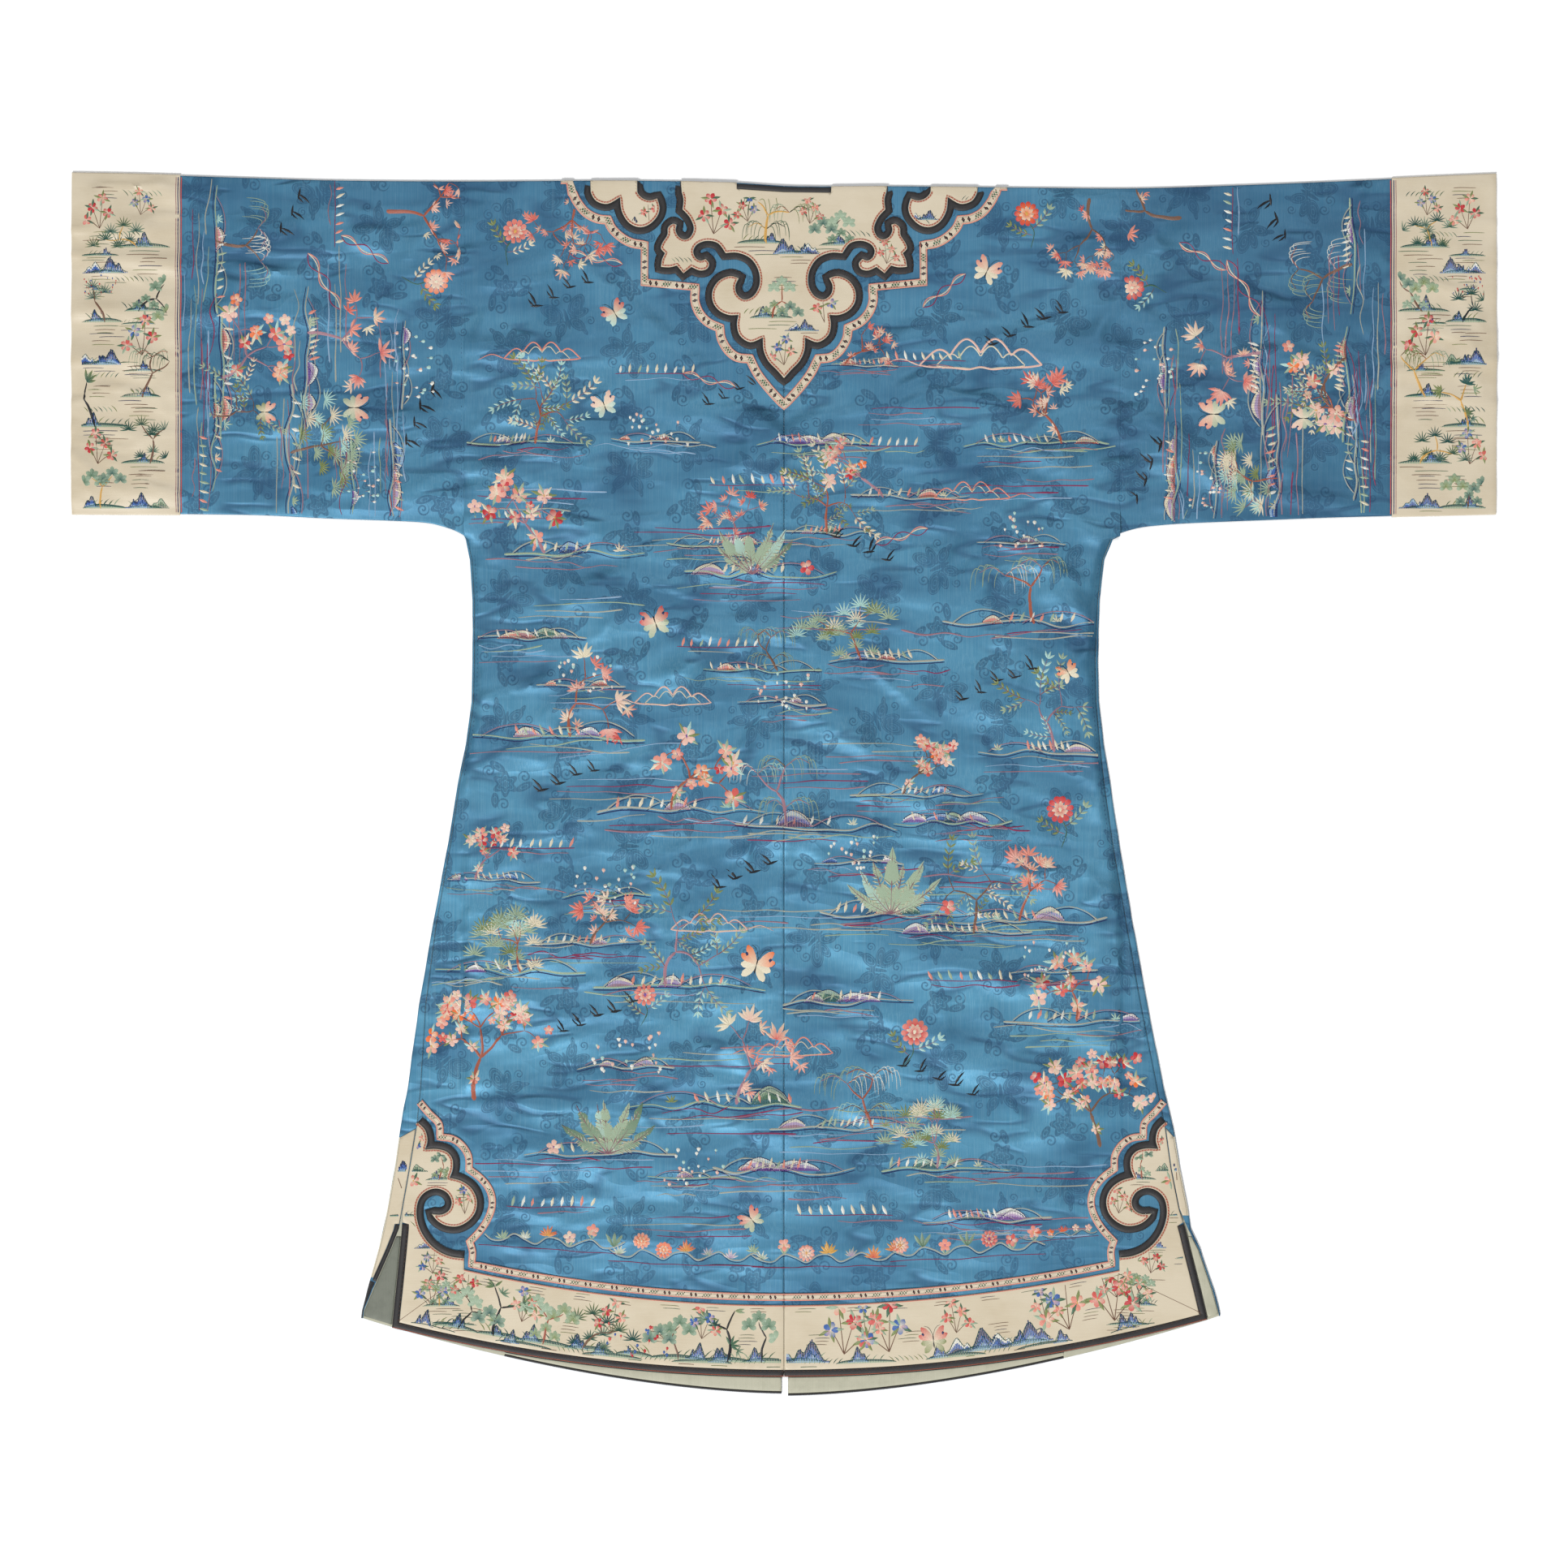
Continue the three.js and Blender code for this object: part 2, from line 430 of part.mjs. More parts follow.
// Half of the back: from its hem up to the shoulder, and over the fold to meet the front.
function backPanel(s) {
  const outer = [];
  const inner = [];
  for (const sideY of rowHeights(s, s.backCornerY, BACK_STEP)) {
    const row = bodyRow(s, BACK_HEM, backEdge, () => SEAM / 2, sideY);
    const points = Array.from({ length: BACK_ACROSS + 1 }, (_, j) => {
      const p = row.at(j / BACK_ACROSS);
      const fade = edgeFade(shoulderAt(p.x) - p.y) * (row.onSleeve ? 1 : edgeFade(row.out - Math.abs(p.x)));
      return new THREE.Vector3(p.x, p.y, BACK_MID + swellAt(p.x, p.y) * fade);
    });
    outer.push(points.map((p) => new THREE.Vector3(p.x, p.y, p.z + WALL / 2)));
    inner.push(points.map((p) => new THREE.Vector3(p.x, p.y, p.z - WALL / 2)));
  }
  const top = outer.at(-1);
  for (let k = 1; k <= FOLD_STEPS + 1; k += 1) {
    const angle = Math.PI * Math.min(k / FOLD_STEPS, 1);
    const on = k > FOLD_STEPS ? -FOLD_OUTSIDE : 0;
    const turned = (radius) => {
      const [over, up] = [on + radius * Math.sin(angle), MIDDLE + radius * Math.cos(angle)];
      return top.map((p) => new THREE.Vector3(p.x, p.y + over, up));
    };
    outer.push(turned(FOLD_OUTSIDE));
    inner.push(turned(FOLD_INSIDE));
  }
  return mesh(`back_${s.name}`, wall(outer, inner), "silk");
}

// Half of the front, face down under the back. Below the armhole its side folds up and laps over.
function frontPanel(s) {
  const hem = frontHem(s);
  const neckEdge = (y) => {
    const below = (shoulderAt(0) - y) / FRONT_NECK_DEEP;
    const neck = below < 1 ? FRONT_NECK_HALF * Math.sqrt(1 - Math.max(below, 0) ** 2) : 0;
    return Math.max(neck, s.frontEdge);
  };
  const outer = [];
  const inner = [];
  const heights = rowHeights(s, s.frontCornerY, FRONT_STEP, NECK_STEP);
  heights[heights.length - 1] -= FOLD_OUTSIDE + SEAM;
  for (const sideY of heights) {
    const row = bodyRow(s, hem, outerEdge, neckEdge, sideY);
    const low = [];
    const high = [];
    for (let j = 0; j <= FRONT_ACROSS; j += 1) {
      const p = row.at(j / FRONT_ACROSS);
      const x = s.side * Math.min(Math.abs(p.x), row.out - FOLD_OUTSIDE);
      low.push(new THREE.Vector3(x, p.y, 0));
      high.push(new THREE.Vector3(x, p.y, WALL));
    }
    for (let k = 1; k <= FOLD_STEPS + 1; k += 1) {
      const angle = Math.PI * Math.min(k / FOLD_STEPS, 1);
      const turned = (radius) => {
        const out = k > FOLD_STEPS ? lapEdge(s, sideY) : row.out - FOLD_OUTSIDE + radius * Math.sin(angle);
        return new THREE.Vector3(s.side * out, sideY, MIDDLE - radius * Math.cos(angle));
      };
      // beside the sleeve the cloth ends square, and the points of the fold share its end
      const square = (z) => new THREE.Vector3(s.side * row.out, sideY, z);
      const share = (k / (FOLD_STEPS + 1)) * SQUARE_SHARE;
      low.push(row.onSleeve ? square(share) : turned(FOLD_OUTSIDE));
      high.push(row.onSleeve ? square(WALL - share) : turned(FOLD_INSIDE));
    }
    outer.push(low);
    inner.push(high);
  }
  return mesh(`front_${s.name}`, wall(outer, inner), "silk");
}

// A flattened tube of cloth along the sleeve, from one distance out to another.
function sleeveTube(name, s, from, to, steps, proud, finish) {
  const outer = [];
  const inner = [];
  for (let i = 0; i <= steps; i += 1) {
    const out = mix(from, to, i / steps);
    const x = s.side * out;
    const high = shoulderAt(x) + proud - FOLD_OUTSIDE;
    const low = underarmAt(s, out) - proud + FOLD_OUTSIDE;
    const ring = (radius) => {
      const half = radius - (FOLD_INSIDE + WALL / 2);
      const points = [];
      for (let j = 0; j <= SLEEVE_ACROSS; j += 1) {
        const y = mix(high, low, j / SLEEVE_ACROSS);
        const rise = swellAt(x, y) * edgeFade(Math.min(high - y, y - low));
        points.push(new THREE.Vector3(x, y, BACK_MID + rise + half));
      }
      for (let k = 1; k <= FOLD_STEPS; k += 1) {
        const angle = (Math.PI * k) / FOLD_STEPS;
        points.push(new THREE.Vector3(x, low - radius * Math.sin(angle), MIDDLE + radius * Math.cos(angle)));
      }
      for (let k = 0; k < FOLD_STEPS; k += 1) {
        const angle = (Math.PI * k) / FOLD_STEPS;
        points.push(new THREE.Vector3(x, high + radius * Math.sin(angle), MIDDLE - radius * Math.cos(angle)));
      }
      return points;
    };
    outer.push(ring(FOLD_OUTSIDE));
    inner.push(ring(FOLD_INSIDE));
  }
  return mesh(name, wall(outer, inner, true), finish);
}

// ---------------------------------------------------------------- the cloud collar
const leftHalf = (table) => table.map((p) => ({ x: -p.out, y: p.y, sharp: p.sharp }));
const rightHalf = (table) => table.map((p) => ({ x: p.out, y: p.y, sharp: p.sharp })).reverse();
const bothHalves = (table) => [...leftHalf(table), ...rightHalf(table).slice(1)];

function collar() {
  const yoke = smoothPath(bothHalves(YOKE_EDGE));
  const neck = [NECK_HALF, 0, -NECK_HALF].map(
    (x) => new THREE.Vector2(x, shoulderAt(x) - FOLD_OUTSIDE - NECK_BINDING_WIDE - SEAM),
  );
  const neckEdge = [-NECK_HALF, -NECK_HALF / 2, 0, NECK_HALF / 2, NECK_HALF].map(
    (x) => new THREE.Vector2(x, shoulderAt(x) - FOLD_OUTSIDE),
  );
  const pieces = [
    mesh("collar_yoke", cut([...yoke, ...neck], ON_BACK, TRIM_THICK), "satin"),
    mesh("collar_binding", stripAlong(yoke, -SEAM, -SEAM - BINDING_WIDE, ON_BACK, BINDING_THICK), "binding"),
    mesh("collar_ribbon", ribbonStrip(smoothPath(bothHalves(COLLAR_RIBBON)), COLLAR_RIBBON_WIDE), "ribbon"),
    mesh("neck_binding", stripAlong(neckEdge, 0, -NECK_BINDING_WIDE, ON_BACK, BINDING_THICK), "binding"),
  ];
  for (const s of [LEFT, RIGHT]) {
    const lobe = smoothPath(s.side < 0 ? leftHalf(LOBE_EDGE) : rightHalf(LOBE_EDGE));
    pieces.push(
      mesh(`collar_lobe_${s.name}`, cut(lobe, ON_BACK, TRIM_THICK), "satin"),
      mesh(
        `lobe_binding_${s.name}`,
        stripAlong(lobe, -SEAM, -SEAM - BINDING_WIDE, ON_BACK, BINDING_THICK),
        "binding",
      ),
    );
  }
  return pieces;
}

const ribbonStrip = (path, wide) => stripAlong(path, wide / 2, -wide / 2, ON_BACK, TRIM_THICK);

// ---------------------------------------------------------------- the hem and the side vents
const fromTip = (s, table) =>
  table.map((p) => ({ x: s.side * (s.ruyiTip.out - p.in), y: s.ruyiTip.y - p.down, sharp: p.sharp }));

// Points along a hem line between two distances out.
function alongLine(s, line, from, to, lift = 0) {
  return Array.from({ length: HEM_STEPS + 1 }, (_, k) => {
    const out = mix(from, to, k / HEM_STEPS);
    return new THREE.Vector2(s.side * out, sag(line, out) + lift);
  });
}

// Heights from one to another down a side, with the distance out given by an edge.
function downEdge(s, edge, from, to, inset, steps = 6) {
  return Array.from({ length: steps + 1 }, (_, k) => {
    const y = mix(from, to, k / steps);
    return new THREE.Vector2(s.side * (edge(s, y) - inset), y);
  });
}

function hemTrim(s) {
  const corner = backEdge(s, s.backCornerY);
  const cornerY = s.backCornerY;
  // the bound edge: down the vent and along the hem to the centre back
  const bound = [
    ...downEdge(s, backEdge, VENT_TOP, cornerY, 0),
    ...alongLine(s, BACK_HEM, corner, SEAM / 2).slice(1),
  ];
  const inward = s.side < 0 ? 1 : -1; // which hand the garment lies on along that edge
  const insideBinding = beside(bound, inward * (BINDING_WIDE + SEAM));
  const head = smoothPath(fromTip(s, RUYI_EDGE));
  const step = new THREE.Vector2(s.side * (s.ruyiTip.out - RUYI_EDGE.at(-1).in), 0);
  step.y = sag(borderTop(s), step.x);
  const border = [
    ...head,
    step,
    ...alongLine(s, borderTop(s), Math.abs(step.x), SEAM / 2).slice(1),
    ...insideBinding.reverse(),
    ...downEdge(s, backEdge, VENT_TOP + 2 * SEAM + VENT_SKEW, s.ruyiTip.y - 4, SEAM, 4),
  ];
  const ribbon = [
    ...smoothPath(fromTip(s, RUYI_RIBBON)),
    ...alongLine(s, ribbonLine(s), s.ruyiTip.out - RUYI_RIBBON.at(-1).in - 6, SEAM / 2).slice(1),
  ];
  return [
    mesh(`hem_border_${s.name}`, cut(border, ON_BACK, TRIM_THICK), "satin"),
    mesh(
      `hem_binding_${s.name}`,
      stripAlong(bound, 0, inward * BINDING_WIDE, ON_BACK, BINDING_THICK),
      "binding",
    ),
    mesh(
      `cloud_head_binding_${s.name}`,
      stripAlong(head, inward * SEAM, inward * (SEAM + BINDING_WIDE), ON_BACK, BINDING_THICK),
      "binding",
    ),
    mesh(`hem_ribbon_${s.name}`, ribbonStrip(ribbon, HEM_RIBBON_WIDE), "ribbon"),
  ];
}

// What shows of the fronts past the backs: lining, bound hem, and the trim on the lap at each side.
function frontTrim(s) {
  const hem = frontHem(s);
  const corner = outerEdge(s, s.frontCornerY) - FOLD_OUTSIDE - SEAM;
  const backCorner = backEdge(s, s.backCornerY);
  const clear = 2 * SEAM;
  const insideHem = FRONT_HEM_BINDING + SEAM;
  const hemLining = [
    ...alongLine(s, BACK_HEM, HEM_LINING_END, s.frontEdge, -clear),
    ...alongLine(s, hem, s.frontEdge, HEM_LINING_END, insideHem),
  ];
  const ventLining = [
    ...downEdge(s, backEdge, VENT_TOP - VENT_CLEAR, sag(hem, backCorner + clear) + insideHem, -clear),
    ...downEdge(s, lapEdge, sag(hem, corner) + insideHem, VENT_TOP - VENT_CLEAR, clear),
  ];
  const boundHem = alongLine(s, hem, s.frontEdge, HEM_LINING_END);
  const flapBinding = s.flap ? VENT_LAP_BINDING + SEAM : 0;
  const lapTrim = [
    ...downEdge(s, outerEdge, s.ruyiTip.y - 14, s.lapTrimLow, FOLD_OUTSIDE + SEAM),
    ...(s.flap ? downEdge(s, lapEdge, s.lapTrimLow, VENT_TOP, -flapBinding - SEAM) : []),
    ...downEdge(s, lapEdge, s.flap ? VENT_TOP + SEAM : s.lapTrimLow, s.ruyiTip.y - 6, -SEAM),
  ];
  const pieces = [
    mesh(`hem_lining_${s.name}`, cut(hemLining, ON_FRONT, TRIM_THICK), "lining"),
    mesh(`vent_lining_${s.name}`, cut(ventLining, ON_FRONT, TRIM_THICK), "lining"),
    mesh(
      `front_hem_binding_${s.name}`,
      stripAlong(boundHem, 0, s.side * FRONT_HEM_BINDING, ON_FRONT, TRIM_THICK),
      "binding",
    ),
    mesh(`front_border_lap_${s.name}`, cut(lapTrim, ON_BACK, TRIM_THICK), "satin"),
  ];
  if (s.flap) {
    const boundFlap = downEdge(s, lapEdge, VENT_TOP - 1, s.lapTrimLow - 4, 0);
    pieces.push(
      mesh(
        "flap_binding_left",
        stripAlong(boundFlap, 0, -VENT_LAP_BINDING, ON_BACK, BINDING_THICK),
        "binding",
      ),
    );
  }
  return pieces;
}

// ---------------------------------------------------------------- the surcoat
const surcoat = new THREE.Group();
for (const s of [LEFT, RIGHT]) {
  const [sleeveFrom, sleeveTo] = [s.sleeveSeam + SEAM / 2, s.bandSeam - SEAM / 2];
  const bandFrom = s.bandSeam + SEAM / 2;
  surcoat.add(frontPanel(s), backPanel(s));
  surcoat.add(
    sleeveTube(`sleeve_${s.name}`, s, sleeveFrom, sleeveTo, SLEEVE_ALONG, 0, "silk"),
    sleeveTube(`sleeve_band_${s.name}`, s, bandFrom, s.sleeveEnd, BAND_ALONG, BAND_PROUD, "satin"),
  );
  surcoat.add(...hemTrim(s), ...frontTrim(s));
}
surcoat.add(...collar());

export default surcoat;
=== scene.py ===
"""Looks of a woman's front-opening surcoat of figured blue silk, laid flat with its back up.

Sizes are in millimetres, in the frame's own axes, until a mesh is made: +Z up, +Y towards the shoulders.
"""
import logging
import math
from dataclasses import dataclass, field, replace
from enum import Enum
from functools import cache, partialmethod, reduce
from typing import Callable, Iterable, NamedTuple, Sequence

import bpy
import numpy as np
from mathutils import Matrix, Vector
from mathutils.geometry import delaunay_2d_cdt


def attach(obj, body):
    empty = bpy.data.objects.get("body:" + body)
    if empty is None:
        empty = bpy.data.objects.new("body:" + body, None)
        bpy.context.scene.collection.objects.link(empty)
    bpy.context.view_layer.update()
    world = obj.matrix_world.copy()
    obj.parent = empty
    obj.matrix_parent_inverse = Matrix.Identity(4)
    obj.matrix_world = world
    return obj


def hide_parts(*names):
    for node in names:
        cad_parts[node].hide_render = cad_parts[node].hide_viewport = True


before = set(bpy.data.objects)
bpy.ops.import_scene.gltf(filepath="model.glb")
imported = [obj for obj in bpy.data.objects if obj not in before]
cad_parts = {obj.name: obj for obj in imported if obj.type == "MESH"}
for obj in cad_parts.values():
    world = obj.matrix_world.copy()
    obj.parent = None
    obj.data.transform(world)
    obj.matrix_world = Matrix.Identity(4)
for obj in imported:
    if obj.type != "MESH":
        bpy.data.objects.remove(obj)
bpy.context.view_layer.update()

MM = 0.001
LOG = logging.getLogger("surcoat")
Array = np.ndarray
Socket = bpy.types.NodeSocket
Thing = bpy.types.Object
Cloth = bpy.types.Material

# ---------------------------------------------------------------- sizes shared with the solids
WALL = 1.0
SEAM = 0.3
CLOSE_SEAM = 0.03
LAYERS_APART = 0.4
FOLD_INSIDE = LAYERS_APART / 2
FOLD_OUTSIDE = FOLD_INSIDE + WALL
FRONT_MID = WALL / 2
BACK_MID = FRONT_MID + WALL + LAYERS_APART
BACK_TOP = BACK_MID + WALL / 2
ON_BACK = BACK_TOP + SEAM
MIDDLE = (FRONT_MID + BACK_MID) / 2
ON_FRONT = WALL + SEAM
TRIM_THICK = 1.0
BINDING_THICK = 1.3
BINDING_WIDE = 6.2
VENT_LAP_BINDING = 3.8
FRONT_HEM_BINDING = 2.0
COLLAR_RIBBON_WIDE = 8.7
HEM_RIBBON_WIDE = 6.9
NECK_BINDING_WIDE = 4.6
NECK_HALF = 44.0
FRONT_NECK_HALF = 60.0
FRONT_NECK_DEEP = 78.0
VENT_TOP = -412.0
VENT_SKEW = 1.0
VENT_CLEAR = 12.0
HEM_LINING_END = 262.0
BAND_PROUD = 1.0
ARMPIT = 231.0
COLLAR_FLAT_Y, COLLAR_FLAT_SLOPE = 343.0, 0.9
FADE = 26.0
SLEEVE_FLAT_BELOW = 244.0
HEM_STEPS = 60


class SideRow(NamedTuple):
    """One height of the body's two sides: outermost edges, seam insets and lap insets."""

    y: float
    left: float
    right: float
    seam_left: float
    seam_right: float
    lap_left: float
    lap_right: float


SIDES = tuple(SideRow(*row) for row in (
    (229, 298.0, 308.0, 1.8, 1.8, 1.5, 1.5), (210, 294.1, 300.2, 1.8, 1.8, 1.5, 1.5),
    (172, 291.8, 295.6, 1.8, 1.8, 1.5, 1.5), (115, 291.8, 294.1, 1.8, 2.6, 1.5, 2.3),
    (77, 292.6, 294.9, 1.8, 2.6, 1.5, 2.3), (39, 297.9, 299.4, 1.8, 3.8, 1.5, 3.5),
    (1, 305.5, 305.5, 1.8, 5.8, 1.5, 5.5), (-56, 314.6, 313.9, 2.3, 6.0, 2.0, 5.7),
    (-132, 329.1, 326.8, 3.3, 6.0, 3.0, 5.7), (-208, 342.0, 340.5, 6.3, 6.0, 6.0, 5.7),
    (-284, 352.6, 355.7, 12.3, 6.2, 12.0, 5.9), (-322, 359.5, 364.8, 15.3, 7.8, 15.0, 7.5),
    (-360, 364.8, 370.9, 14.3, 8.6, 14.0, 8.3), (-398, 371.6, 378.5, 14.3, 8.6, 14.0, 8.3),
    (-417, 375.4, 381.2, 17.6, 5.2, 14.4, 2.6), (-436, 380.0, 389.9, 20.4, 9.4, 11.4, 1.5),
    (-474, 390.6, 402.8, 27.2, 12.7, 5.2, 1.5), (-493, 395.2, 408.1, 29.7, 13.5, 1.8, 1.5),
    (-510, 397.0, 411.0, 29.9, 12.5, 1.5, 1.5),
))

# Height of the shoulder fold at places across.
SHOULDER = (
    (-667, 572), (-600, 570.8), (-500, 567.7), (-420, 565.4), (-300, 564.5), (-150, 565.2),
    (-50, 563.5), (10, 560), (100, 560), (240, 558.5), (330, 558), (430, 561), (530, 565),
    (600, 568.2), (667, 571),
)


class UnderarmRow(NamedTuple):
    """Height of the underarm folds at a distance out from the sleeve's seam."""

    out: float
    left: float
    right: float


UNDERARM = tuple(UnderarmRow(*row) for row in (
    (0, 232.6, 234.8), (8, 237.0, 237.4), (20, 241.2, 240.3), (34, 244.4, 242.0),
    (60, 246.2, 244.0), (130, 248.8, 246.9), (200, 252.0, 249.6), (368, 253.4, 253.8),
))


class Swell(NamedTuple):
    """A long low fold of the cloth: centre, half-lengths, turn in degrees from +X, and height."""

    x: float
    y: float
    along: float
    across: float
    turn: float
    rise: float


SWELLS = tuple(Swell(*row) for row in (
    (-232, 407, 92, 18, -2, 4.2), (-150, 436, 70, 15, -8, 2.4), (225, 412, 95, 20, -4, 4.4),
    (150, 352, 70, 15, -3, 3.0), (-62, 345, 66, 15, -6, 3.2), (34, 300, 80, 18, 6, 2.4),
    (-214, 300, 80, 20, 4, 2.2), (250, 305, 60, 18, -24, 2.6), (262, 190, 58, 17, -50, 3.2),
    (60, 196, 90, 17, -8, 2.6), (-190, 176, 80, 18, 5, 2.4), (70, 38, 72, 15, -36, 3.8),
    (-96, 96, 60, 20, 62, 2.6), (190, 74, 70, 18, -18, 2.6), (-172, -24, 84, 15, 21, 3.2),
    (26, -46, 110, 15, 2, 2.8), (214, -70, 70, 17, -30, 2.4), (-190, -150, 90, 20, 12, 2.8),
    (120, -160, 90, 20, -10, 2.2), (-96, -262, 100, 18, 16, 3.2), (196, -262, 84, 17, -20, 3.0),
    (-170, -352, 96, 17, -6, 3.2), (40, -372, 90, 17, 4, 2.6), (176, -392, 80, 17, 12, 2.8),
    (-430, 442, 84, 20, 3, 3.6), (-400, 340, 90, 20, -3, 3.0), (-505, 385, 60, 18, 6, 2.4),
    (-420, 512, 90, 17, 0, 2.6), (430, 446, 84, 20, -6, 3.2), (462, 352, 90, 20, -10, 3.0),
    (390, 300, 60, 17, -22, 2.8), (500, 505, 80, 18, 4, 2.6), (-612, 420, 34, 28, 84, 1.4),
    (616, 410, 34, 28, 94, 1.4),
))

# Finer creases between the swells, pressed in by folding and by the embroidery's pull.
CREASES = tuple(Swell(*row) for row in (
    (-262, 470, 34, 7, 8, 1.2), (-205, 370, 46, 7, -7, 1.4), (-120, 318, 52, 6, -10, 1.2),
    (-250, 262, 40, 7, 12, 1.1), (-150, 246, 56, 6, 3, 1.2), (-52, 268, 38, 6, -14, 1.1),
    (58, 348, 42, 6, 12, 1.4), (120, 300, 50, 6, -5, 1.2), (210, 352, 48, 7, -12, 1.5),
    (262, 258, 44, 7, -38, 1.6), (208, 226, 40, 6, -30, 1.1), (120, 240, 44, 6, 4, 1.0),
    (-70, 196, 48, 6, 16, 1.1), (-238, 130, 40, 7, -8, 1.2), (-140, 118, 44, 6, 20, 1.2),
    (22, 126, 40, 6, -24, 1.3), (98, 96, 46, 6, -40, 1.4), (232, 120, 44, 7, -26, 1.3),
    (-30, 44, 42, 6, 54, 1.2), (-120, 30, 50, 6, 24, 1.5), (-236, 20, 48, 7, 10, 1.2),
    (140, 2, 52, 6, -28, 1.4), (244, -8, 40, 7, -14, 1.2), (-66, -70, 60, 6, 10, 1.3),
    (88, -92, 56, 6, -6, 1.3), (-262, -78, 46, 7, 18, 1.3), (-140, -104, 54, 6, 14, 1.2),
    (176, -118, 50, 6, -18, 1.3), (278, -150, 40, 7, -8, 1.3), (20, -132, 54, 6, 6, 1.1),
    (-270, -206, 52, 7, 8, 1.3), (-40, -200, 56, 6, 12, 1.3), (110, -222, 54, 6, -16, 1.2),
    (268, -226, 44, 7, -24, 1.3), (-196, -236, 52, 6, 18, 1.4), (36, -272, 56, 6, 8, 1.3),
    (132, -306, 52, 6, -12, 1.3), (-250, -296, 48, 7, 4, 1.3), (-130, -310, 56, 6, -8, 1.3),
    (238, -330, 44, 6, 8, 1.2), (-60, -338, 48, 6, 10, 1.4), (-20, -418, 56, 6, -4, 1.4),
    (96, -434, 50, 6, 6, 1.4), (-150, -428, 52, 6, 4, 1.4), (200, -438, 40, 6, 14, 1.3),
    (-222, -404, 42, 6, -12, 1.3), (-340, 480, 40, 7, 6, 1.2), (-350, 392, 44, 6, -5, 1.2),
    (-480, 330, 46, 6, 5, 1.2), (-350, 288, 42, 6, -10, 1.2), (-520, 446, 34, 6, 0, 1.1),
    (-470, 480, 44, 6, 2, 1.1), (350, 500, 44, 7, -4, 1.3), (470, 400, 46, 6, -10, 1.3),
    (372, 396, 42, 6, -6, 1.2), (440, 300, 46, 6, -14, 1.2), (352, 336, 38, 6, -26, 1.3),
    (520, 320, 36, 6, -8, 1.1), (528, 440, 34, 6, 2, 1.1),
))


class Turn(NamedTuple):
    """A point of a cut outline; a sharp one is a corner."""

    a: float
    b: float
    sharp: bool = False


def turns(*rows: Sequence[float]) -> tuple[Turn, ...]:
    """Gives the rows of an outline's table; a third value marks a sharp point."""
    return tuple(Turn(row[0], row[1], len(row) > 2) for row in rows)


# Half of the cloud collar on the back, as distances out from the centre back, and heights.
YOKE_EDGE = turns(
    (97.3, 558), (94.2, 548), (95, 538, 1), (88.2, 530.5), (84.4, 520.6), (87.2, 512.8), (92.7, 510),
    (98.4, 512.4), (101.4, 518.3), (100.4, 523.6, 1), (104.2, 524.6), (108.6, 520.8), (109.2, 514),
    (113.4, 507.4), (115.3, 501.6), (111.4, 497, 1), (114.2, 491), (115.2, 484.1, 1), (107, 483.7),
    (100.3, 485.4, 1), (94.2, 478.2, 1), (86.6, 484.1, 1), (79, 480.8), (72.2, 482.2), (70, 487.4),
    (73.4, 491.8, 1), (78.4, 490.2), (83.2, 493.4), (84.8, 499.6), (81, 505.6), (72, 508.6),
    (61.6, 506.2), (54.7, 497, 1), (43.4, 497.4), (31.4, 492.2), (24, 481.2), (22.8, 468),
    (28.2, 457.4), (37.2, 453.8), (44, 458.8), (45.4, 466.6), (42.2, 473.6, 1), (50.6, 475.8),
    (60.8, 471.4), (66.8, 462.1), (66.6, 451.6), (60.8, 443.4), (51.7, 439.2), (42.6, 439.3, 1),
    (44, 429.8), (41.2, 419.8), (31.4, 413.6), (19.8, 418, 1), (19.2, 406.4), (14.6, 396),
    (6.6, 387.6), (0, 380, 1),
)
LOBE_EDGE = turns(
    (181.6, 559), (180.4, 552.6), (175.4, 545.6), (164.9, 543.2), (153.5, 549.5, 1), (152, 536.6),
    (145.7, 526), (136.4, 521.4), (127, 523.4), (119.2, 530.8), (116.4, 539.2), (118.6, 548.4, 1),
    (125.4, 546.6), (132, 548.4), (136.8, 553.3), (137.4, 559),
)
COLLAR_RIBBON = turns(
    (209, 559), (198.4, 553.4), (194.6, 546.4), (186, 535.4), (175, 529.4), (164.9, 528.2, 1),
    (161, 520), (152, 511.5), (142, 506.4), (130.4, 504.6, 1), (130.7, 469.7, 1), (82.8, 465.1, 1),
    (83.4, 452.2), (79, 440.6), (70.7, 432), (60, 427.1, 1), (58.6, 416.8), (52, 405.6),
    (43.3, 399.4), (31.9, 398.2, 1), (25, 384.4), (13.6, 369.6), (0, 354.9, 1),
)
# The cloud head at each vent and the ribbon round it, as distances in and down from its tip.
RUYI_EDGE = turns(
    (0, 0, 1), (6.8, 6.8), (9.1, 16.7), (6.8, 25.1, 1), (17.5, 24.6), (27, 27.2), (32.4, 34),
    (32.6, 43.6), (29.6, 51.7, 1), (40.6, 54.5), (50.4, 61.6), (55.3, 72.4), (53.8, 83.8), (47, 92.4),
    (37, 97.2), (26.4, 96.4), (18.4, 92), (13, 85.6, 1), (22.4, 86), (29.6, 81.6), (31.6, 73.6),
    (27.2, 65.6), (18.4, 61.8), (9.4, 63.6), (2.4, 69.6), (-0.8, 78), (-0.9, 89.4), (2.8, 101.4),
    (10, 112.4), (19.8, 120.6), (31.2, 125.4), (43.3, 126.9, 1),
)
